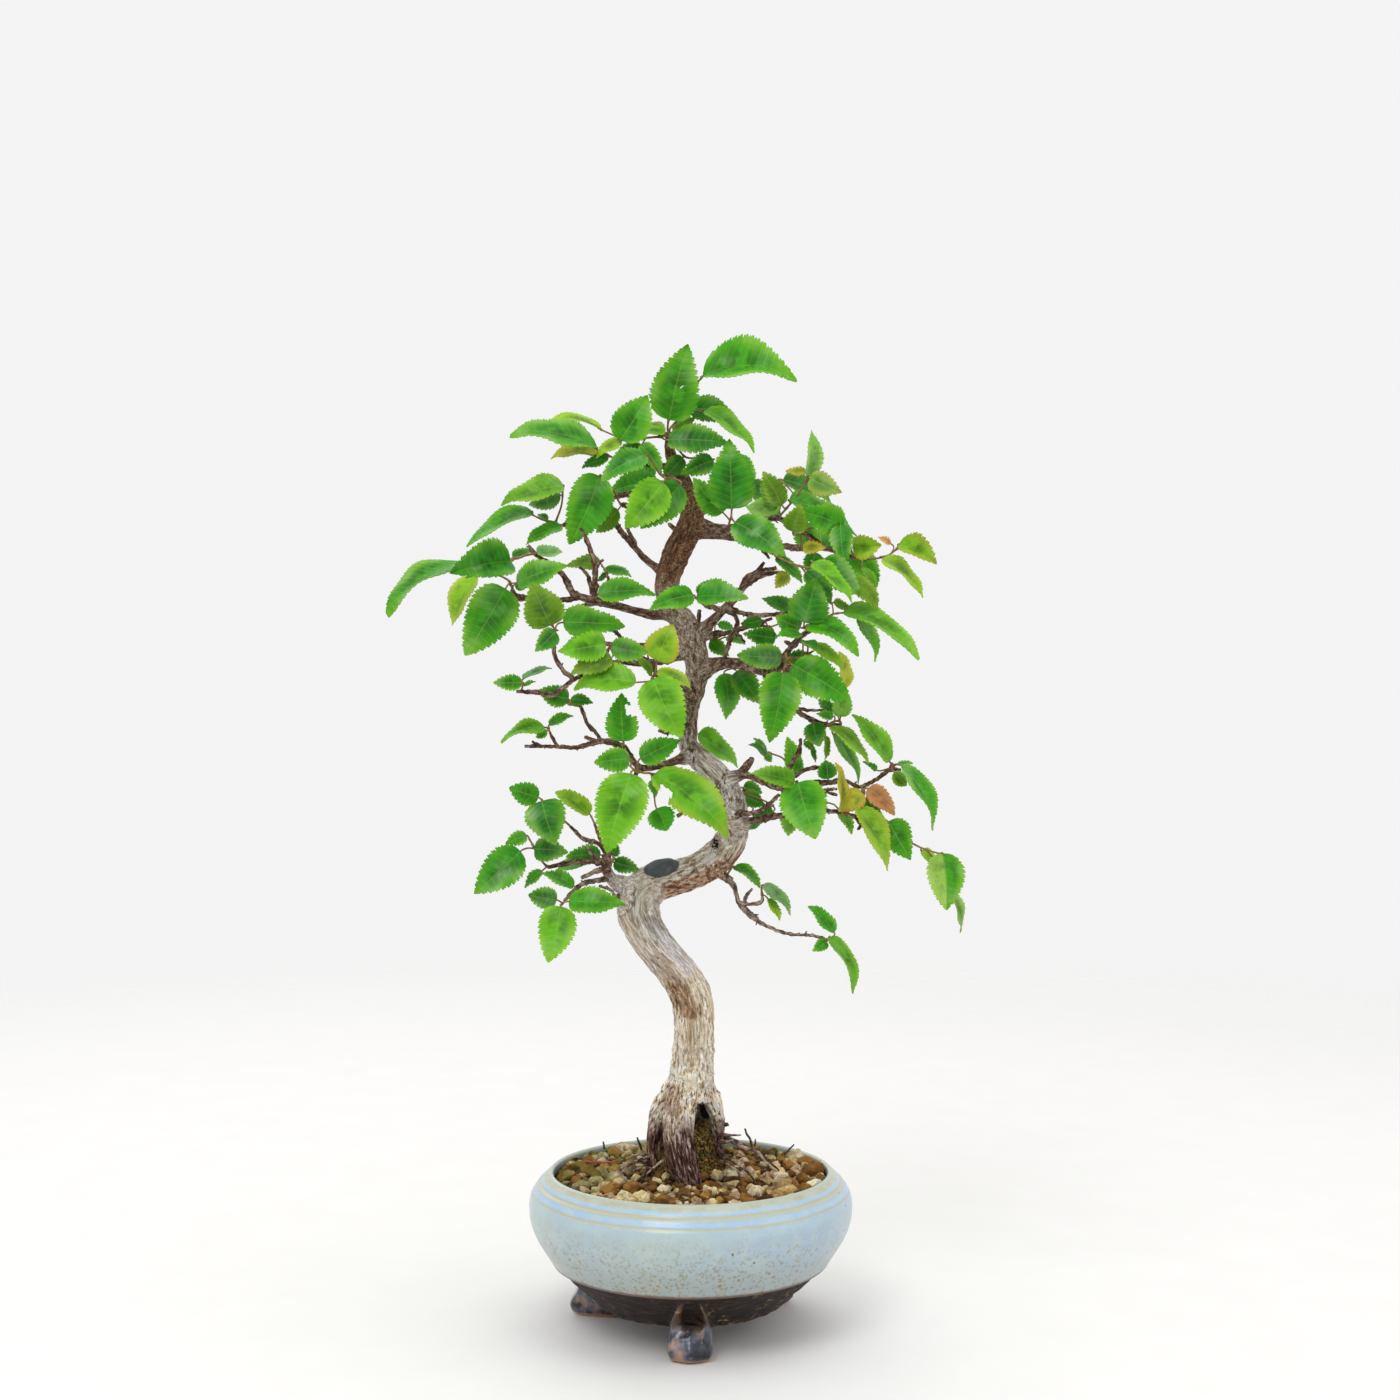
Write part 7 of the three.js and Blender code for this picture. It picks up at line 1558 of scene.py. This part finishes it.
    # Where the looks change: up the trunk, at the bends and round the knot hole, with painted shade in the
    # root gaps.
    wobble = (blotch - 0.5) * 22 + (flake - 0.5) * 12
    height = z + wobble
    # painted shade: deep in the root crown, used to darken the gap beside the left root
    root_gap_shade = y.near(5, 4) * z.above(90, 84)
    # painted shade: the hollow between the middle and right roots, painted near black
    arch = (x - 6.3).near(0, 5.5) * y.above(-2.5, 0.5) * z.near(85, 9)
    # painted highlight: a pale band down the left edge of the trunk, where the light falls
    edge = (x + 9 - (z - 140) * -0.36).above(-3, -8) * z.above(122, 134) * z.above(172, 160)
    above_bend = height.above(165, 174) * (x + 24).above(0, 8)
    belly = (z - 179.5 - x * 0.5 + (flake - 0.5) * 8).above(2.6, -2.2)
    belly = belly * (x + 15).above(0, 6) * z.above(206, 197)
    front = y.above(-1, -2.5)
    knot = -seen(*KNOT) * KNOT_SQUASH
    far = paint.length(paint.shifted(paint.scaled(paint.place, *KNOT_SQUASH), *knot))
    paint.feed("Base Color", paint.layers(
        paint.mix((height + x * 0.12).above(74, 90), foot, cream),
        (spot(-7, 91, 4.5, 5.5) * 0.7, fibrous),
        (spot(0.4, 97.4, 2.6, 2.8) * 0.85, paint.mix(fine, "#e6d2ac", "#fdf4de")),
        # painted shade in the gap beside the left root and in the hollow under the right root
        ((x + 12.3).near(0, 3) * root_gap_shade, "#160b08"),
        ((arch * 1.6).least(1.0), "#180c08"),
        (height.above(104, 114), bare),
        (height.above(134, 146), silver),
        (z.above(92, 106) * z.above(214, 196) * 0.16, "#ffe6c8", "SCREEN"),
        (spot(2.5, 116, 2.6, 9) * 0.35, paint.mix(streak, "#c0b59f", "#e0d8c6")),
        # painted highlight down the left edge of the trunk
        (edge * 0.5, paint.mix(streak.above(0.4, 0.6), "#a88a68", "#ecdcc0")),
        (spot(-5.5, 137, 4.6, 12, -0.75) * 0.6, fibrous),
        (spot(-2.5, 130, 5.6, 8, -0.45) * 0.9, fibrous),
        (spot(-14, 159, 3.6, 4.5, -0.6) * 0.6, "#8d857e"),
        (spot(-20, 169, 4.4, 11, 0.15) * 0.6, sage),
        (spot(-6.5, 149, 3.6, 10, -0.75) * 0.85, lilac),
        (above_bend * 0.9, veined),
        (above_bend.most((z - 168).above(0, 4)) * belly * 0.95, russet),
        (spot(8, 187.5, 2, 4.2, 0.3) * 0.8, paint.mix(streak, "#cfc2ba", "#fbf7f2")),
        (spot(17, 197, 3, 5) * 0.6, paint.mix(streak.above(0.4, 0.6), "#8f7a70", "#d6c8c4")),
        (z.above(198, 206) * 0.8, silvery),
        ((z - wobble).above(225, 238), neck),
        (height.above(250, 262), rough),
        (height.above(282, 300), upper),
        (limb, dark),
        ((far + (fine - 0.5) * 8).near(1.8, 1.0) * front * 0.6, "#7a5a3c"),
        # painted shade: the knot hole is painted near black, only on the front
        ((far + (fine - 0.5) * 9 + (x - 10.5) * 0.5).above(1.2, 0.8) * front, "#24170d")))
    paint.feed("Roughness", 0.7 + fine * 0.25)
    relief = thread * 0.6 + flake * 0.8 + dash * 0.5 + slit * 0.4 + fine * 0.3 - cracks * 0.5 + net * 0.2
    paint.feed("Normal", paint.bump(relief, 1.1))
    return paint


def putty_finish():
    paint = Paint("wound_putty", {"Roughness": 0.7})
    fine = paint.noise(0.9, 4, 0.6)
    colour = paint.mix(fine, "#2e3134", "#4d5256")
    colour = paint.mix(paint.noise(4, 2).above(0.5, 0.7) * 0.4, colour, "#6c7072")
    paint.feed("Base Color", colour)
    paint.feed("Roughness", 0.6 + fine * 0.25)
    paint.feed("Normal", paint.bump(fine, 0.35))
    return paint


def glaze_finish():
    """Pale grey-blue glaze with turned bands round the shoulder and rust specks low down."""
    paint = Paint("pale_blue_glaze", {"Roughness": 0.3, "Specular IOR Level": 0.5, "Coat Weight": 0.4,
                                      "Coat Roughness": 0.2})
    x, _, z = paint.split(paint.place)
    outside, _, _ = paint.split(paint.value("wall"))
    broad = paint.noise(26, 3)
    cloud = paint.noise(6, 3)
    fine = paint.noise(1.3, 3, 0.6)
    wave = z + (paint.noise(14, 2) - 0.5) * 0.9 + (fine - 0.5) * 0.3

    body = paint.layers(
        paint.mix(broad.above(0.35, 0.65), "#a8b9b7", "#a4b6bd"),
        (x.above(-14, 60) * 0.6, "#9bb4cb"),
        (cloud.above(0.4, 0.75) * 0.35, "#bcc8c0"),
        (wave.near(51.6, 2.4) * 0.5, "#a6bfcb"),
        # painted shade: the glaze is greyed and darkened towards the bottom of the wall
        (z.above(44, 27) * 0.5, "#989f9b"))
    sage = "#adb7aa"
    tan = "#b9af86"
    blue = paint.mix(cloud.above(0.35, 0.65), "#9cbbd8", "#a9c0cf")
    rim = paint.mix(cloud.above(0.4, 0.6), "#adad93", "#b3b8a6")
    inner = paint.mix(cloud, "#9ba7a2", "#b2bdb6")
    low = z.above(53, 33)
    few = paint.noise(9, 2).above(0.4, 0.6)
    speck = paint.cells(1.3).above(0.48, 0.32) * paint.noise(3.3, 2).above(0.42, 0.54)
    rust = paint.cells(2.3, at=paint.shifted(paint.place, 40, 7, 3)).above(0.36, 0.22) * few
    spread = paint.cells(5.0, at=paint.shifted(paint.place, 13, 57, 5)).above(0.2, 0.1) * low
    dark = paint.cells(8, at=paint.shifted(paint.place, 9, 31, 17)).above(0.07, 0.04)
    edge = (wave - (paint.noise(9, 2) - 0.5) * 0.8).above(27.6, 26.5)
    paint.feed("Base Color", paint.layers(
        body,
        (wave.above(53.9, 54.9), blue),
        (wave.above(56.0, 56.7), sage),
        (wave.above(57.5, 58.2), blue),
        (wave.above(59.0, 59.7), rim),
        (wave.above(60.4, 61.0), sage),
        (wave.near(GROOVES[0], 0.5), tan),
        (wave.near(GROOVES[1], 0.5), tan),
        ((1 - outside).least(z.above(60.8, 60.2)), inner),
        (speck * (low * 0.6 + 0.1), "#948a5a"),
        (rust * (low * 0.6 + 0.05), paint.mix(fine, "#8f8048", "#97713c")),
        (spread * 0.6, "#946c3a"),
        (dark * 0.85, "#4a3a2c"),
        (edge * 0.9, "#5e3a2a")))
    paint.feed("Roughness", 0.3 + fine * 0.12 + cloud * 0.08)
    paint.feed("Coat Weight", 0.5 - speck * 0.3)
    paint.feed("Normal", paint.bump(fine * 0.5 + cloud * 0.5, 0.14))
    return paint


def clay_finish():
    """Dark fired clay with scuffs, and feet with a gunmetal lustre and rusty lower edges."""
    paint = Paint("dark_clay", {"Roughness": 0.6, "Specular IOR Level": 0.35, "Coat Roughness": 0.2})
    x, _, z = paint.split(paint.place)
    radius = paint.length(paint.scaled(paint.place, 1, 1, 0))
    fine = paint.noise(0.9, 4, 0.6)
    cloud = paint.noise(4, 3, 0.6)
    patch = paint.noise(7.5, 3, 0.55, at=paint.shifted(paint.place, 3, 0, 9))
    wide = paint.noise(14, 2)
    turned = paint.noise(0.9, 3, 0.6, at=paint.scaled(paint.place, 0.12, 0.12, 1))
    scuff = paint.noise(2.6, 5, 0.7, at=paint.scaled(paint.place, 1, 1, 1.9)).above(0.54, 0.62)
    worn = scuff * wide.above(0.45, 0.56) * (x.above(0, 24) * 0.8 + 0.2)
    ring = z.above(12.6, 10.2) * radius.above(40, 37) * cloud.above(0.45, 0.6)
    proud = (radius - z * 0.86).above(32.0, 32.9)
    foot = z.above(10.2, 9.4).most(proud) * radius.above(28, 31) * z.above(25, 23)
    lustre = paint.layers(
        paint.ramp(patch, {0.34: "#1b1c22", 0.44: "#343a48", 0.5: "#5b5d68", 0.56: "#7d6962",
                           0.66: "#a8876e"}),
        (cloud.above(0.52, 0.66) * 0.5, "#8f8c92"),
        (z.above(10.5, 15), paint.mix(fine, "#2c1c14", "#6b4c38")))
    rusty = foot * z.above(1.9, 0.9).most(paint.noise(3.4, 2).above(0.6, 0.7) * z.above(4, 7) * 0.9)
    paint.feed("Base Color", paint.layers(
        paint.mix(fine, "#090504", "#1d120d"),
        (turned.above(0.5, 0.66) * 0.7, "#3e291e"),
        (worn * 0.95, paint.mix(fine, "#8a5f38", "#dcb27c")),
        (ring * 0.6, "#6b4f3c"),
        (z.above(24.6, 26.4) * 0.8, "#5e3124"),
        (foot, lustre),
        (rusty * 0.85, paint.mix(fine, "#9a5a30", "#c69358"))))
    paint.feed("Metallic", foot * 0.5 * (1 - rusty))
    paint.feed("Roughness", 0.62 - foot * 0.36 + fine * 0.12)
    paint.feed("Coat Weight", foot * 0.7)
    paint.feed("Normal", paint.bump(fine * 0.3 + cloud * 0.4 + turned * 0.5 + worn * 0.4, 0.4))
    return paint


def grit_finish():
    """Grains: cream and yellow pumice with a white crust, tan and brown baked clay, some green."""
    paint = Paint("grit_stone", {"Roughness": 0.88, "Specular IOR Level": 0.3})
    x, y, z = paint.split(paint.place)
    kind, shade, _ = paint.split(paint.value("stone"))
    fine = paint.noise(0.55, 4, 0.65)
    pores = paint.cells(0.8).above(0.3, 0.12)
    crust = paint.noise(1.5, 4, 0.6).above(0.5, 0.62) * kind.above(0.5, 0.62)
    stained = paint.noise(1.7, 3, at=paint.shifted(paint.place, 3, 3, 3)).above(0.5, 0.66)
    side = (x + 22 - y * 0.3).above(10, -14).most(y.above(12, 34) * 0.7)
    algae = (side * 0.85 + 0.12) * paint.noise(4, 3).above(0.44, 0.57)
    damp = paint.noise(8, 2, at=paint.shifted(paint.place, 5, 5, 5)).above(0.5, 0.62) * 0.55
    # painted shade: grains that lie low, down between the others, are darkened
    low = (z + paint.length(paint.scaled(paint.place, 1, 1, 0)) * 0.0515).above(62.3, 60.2)
    paint.feed("Base Color", paint.layers(
        paint.ramp(kind, {0.0: "#4c2f14", 0.18: "#7c5222", 0.36: "#a0702e", 0.5: "#b3833a",
                          0.57: "#c99c52", 0.64: "#e2c884", 0.8: "#f2e0a4", 0.92: "#f6eccb", 1.0: "#e0a878"}),
        (shade * 0.5, "#7c5c34", "MULTIPLY"),
        (crust * 0.7, "#efe9d6"),
        (pores * 0.5, "#6b4e2c"),
        (stained * 0.4, "#9a6a2e"),
        (algae * 0.75, paint.mix(fine, "#4a5210", "#a8a640")),
        (damp.most(side * 0.3), "#6d5230", "MULTIPLY"),
        # painted shade on the low grains
        (low * 0.85, "#422c16", "MULTIPLY")))
    paint.feed("Normal", paint.bump(fine - pores * 0.6, 0.45))
    return paint


def bed_finish():
    """Dark earth, partly painted shade between the grains, mossy on the heap between the roots."""
    paint = Paint("soil_earth", {"Roughness": 0.95, "Specular IOR Level": 0.2})
    x, _, z = paint.split(paint.place)
    fine = paint.noise(0.8, 4, 0.65)
    crumbs = paint.cells(1.2).above(0.45, 0.1)
    heap = z.above(61, 65)
    moss = paint.noise(2.2, 4, 0.65).above(0.45, 0.56) * heap.most(x.above(-16, -40) * 0.6)
    ochre = paint.noise(1.3, 4, 0.65, at=paint.shifted(paint.place, 11, 0, 5)).above(0.5, 0.6) * heap
    paint.feed("Base Color", paint.layers(
        # painted shade: the earth is near black so the gaps between the grains look shaded, with lighter
        # crumbs only higher up
        paint.mix(fine, "#120b06", "#3a2614"),
        (crumbs * 0.5 * z.above(58, 64), "#6d4c28"),
        (moss * 0.85, paint.mix(fine.above(0.4, 0.6), "#2b2a0c", "#837a38")),
        (ochre * 0.75, paint.mix(fine.above(0.42, 0.58), "#5f441a", "#c0a25c"))))
    paint.feed("Normal", paint.bump(fine + crumbs, 1.1))
    return paint


def litter_finish():
    """Thin roots and dead stems on the soil, pale where they are rubbed."""
    paint = Paint("dry_rootlet", {"Roughness": 0.75})
    fine = paint.noise(0.8, 3)
    colour = paint.mix(paint.noise(3.5, 2).above(0.4, 0.62), "#4a2f28", "#a89284")
    colour = paint.mix(fine.above(0.5, 0.7) * 0.5, colour, "#2c1c18")
    paint.feed("Base Color", colour)
    paint.feed("Normal", paint.bump(fine, 0.2))
    return paint


def plain_finish(name, dark, light, size, constants, depth=0.1):
    """A finish of two close colours in fine lumps."""
    paint = Paint(name, constants)
    lumps = paint.noise(size, 3, 0.6)
    paint.feed("Base Color", paint.mix(lumps, dark, light))
    paint.feed("Normal", paint.bump(lumps, depth))
    return paint


def moss_finish():
    paint = Paint("moss_green", {"Roughness": 0.8})
    colour = paint.mix(paint.noise(2.5, 3).above(0.35, 0.65), "#453e18", "#7f7a38")
    colour = paint.mix(paint.noise(0.7, 2).above(0.45, 0.6) * 0.6, colour, "#9c8440")
    paint.feed("Base Color", colour)
    return paint


def floor_finish():
    """The pale floor, which fades out far from the bowl."""
    paint = Paint("pale_floor", {"Roughness": 0.65, "Specular IOR Level": 0.2})
    paint.feed("Base Color", paint.mix(paint.noise(30, 2), "#e6e5e3", "#ebeae8"))
    paint.feed("Alpha", paint.length(paint.place).above(*FLOOR_FADE))
    return paint


# Litter and moss.

def make_litter(paints):
    """The fine roots, dead stems and the one needle that lie on the soil."""
    rng = np.random.default_rng(11)
    for name, tables, paint in (("fine_roots", FINE_ROOTS, paints["litter"]),
                                ("dead_stems", DEAD_STEMS, paints["stem_dead"]),
                                ("fallen_needle", (NEEDLE,), paints["needle"])):
        shape = Shape()
        for table in tables:
            rows = through(limb_rows(table), 0.7)
            rows[1:-1, :3] += rng.normal(0, 0.07, (len(rows) - 2, 3))
            shape.add(*tube(rows, 7, 1 + 0.12 * rng.uniform(-1, 1, (len(rows), 7)))[:2])
        shape.build(name, [paint])


def make_moss(paint, axis, wood_radius):
    """Tufts of moss on the heap and on the left of the bed."""
    rng = random.Random(5)
    shape = Shape()
    spike = np.array([(math.cos(a), math.sin(a), 0) for a in (0, 1.57, 3.14, 4.71)])
    made = 0
    while made < MOSS_SPIKES:
        turn = rng.uniform(0, 2 * math.pi)
        far = (MOSS_HEAP_R if made % 4 else GRAIN_FIELD) * math.sqrt(rng.random())
        x, y = far * math.cos(turn), far * math.sin(turn)
        clump = noise.noise(Vector((x * 0.16, y * 0.16, 2)))
        wanted = 0.1 if far < MOSS_HEAP_R else 0.25 + (0.0 if x < -12 or y > 14 else 0.4)
        made += 0.05
        if clump < wanted:
            continue
        z = float(soil_height(x, y)) + 0.5
        near = axis.find(Vector((x, y, z)))
        if near[2] < wood_radius[near[1]] - 0.6:
            continue
        made = math.floor(made) + 1
        size = rng.uniform(0.18, 0.34)
        tall = rng.uniform(1.0, 2.4)
        lean = np.array((rng.uniform(-0.6, 0.6), rng.uniform(-0.6, 0.6), 1.0)) * tall
        ring = spike * size + (x, y, z)
        middle = spike * size * 0.8 + (x, y, z) + lean * 0.5
        tip = np.array((x, y, z)) + lean
        index = np.arange(8).reshape(2, 4)
        onward = np.roll(index, -1, axis=1)
        quads = np.stack((index[0], onward[0], onward[1], index[1]), -1)
        ends = np.vstack((np.stack((index[1], onward[1], np.full(4, 8)), -1), ((0, 2, 1), (0, 3, 2))))
        shape.add(np.vstack((ring, middle, tip)), [quads, ends])
    shape.build("moss_tufts", [paint])


# The view.

def make_view():
    """The camera in front, a pale floor and soft light from above and the sides."""
    scene = bpy.context.scene
    scene.view_settings.view_transform = "Standard"
    lens = bpy.data.cameras.new("eye")
    lens.lens = LENS
    lens.sensor_width = SENSOR
    lens.clip_start = 0.01
    lens.clip_end = 20
    camera = bpy.data.objects.new("eye", lens)
    camera.location = EYE * MM
    camera.rotation_euler = (math.radians(90), 0, 0)
    scene.collection.objects.link(camera)
    scene.camera = camera
    world = bpy.data.worlds.new("room")
    world.use_nodes = True
    room = world.node_tree.nodes["Background"].inputs
    room["Color"].default_value = (*ROOM, 1)
    room["Strength"].default_value = ROOM_LIGHT
    scene.world = world
    for name, place, target, size, power in LIGHTS:
        data = bpy.data.lights.new(name, "AREA")
        data.shape = "DISK"
        data.size = size
        data.energy = power
        light = bpy.data.objects.new(name, data)
        light.location = place
        light.rotation_euler = (Vector(target) - Vector(place)).to_track_quat("-Z", "Y").to_euler()
        scene.collection.objects.link(light)
    mesh = bpy.data.meshes.new("floor")
    angles = 2 * math.pi * np.arange(FLOOR_SIDES) / FLOOR_SIDES
    rim = FLOOR_R * np.column_stack((np.cos(angles), np.sin(angles), 0 * angles))
    mesh.from_pydata(rim.tolist(), [], [list(range(FLOOR_SIDES))])
    mesh.materials.append(floor_finish().material)
    floor = bpy.data.objects.new("floor", mesh)
    scene.collection.objects.link(floor)


# The whole.

make_view()
leaf_paint = leaf_finish()
stem_paint = stem_finish()
bark_paint = bark_finish()
wood_axis, wood_radius = make_wood(bark_paint)
make_putty(putty_finish())
make_bowl(glaze_finish(), clay_finish())
make_bed(bed_finish())
make_grit(grit_finish(), wood_axis, wood_radius)
make_moss(moss_finish(), wood_axis, wood_radius)
make_litter({
    "litter": litter_finish(),
    "stem_dead": plain_finish("dead_stem", "#2a211c", "#57493f", 1.0, {"Roughness": 0.8}),
    "needle": plain_finish("dry_needle", "#7c2f1c", "#b0552f", 1.5, {"Roughness": 0.6}),
})
for node, paint in (
    ("drainage_mesh", plain_finish("mesh_plastic", "#17191a", "#26292b", 0.6, {"Roughness": 0.5})),
    ("drainage_wire", plain_finish("soft_wire", "#8f9092", "#b4b5b6", 0.8,
                                   {"Roughness": 0.35, "Metallic": 1.0}, 0.03)),
):
    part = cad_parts[node]
    part.data.materials.clear()
    part.data.materials.append(paint.material)
for shoot_name, stem_rows, leaf_rows in SHOOTS:
    grow_shoot(shoot_name, stem_rows, leaf_rows, wood_axis, [leaf_paint, stem_paint])
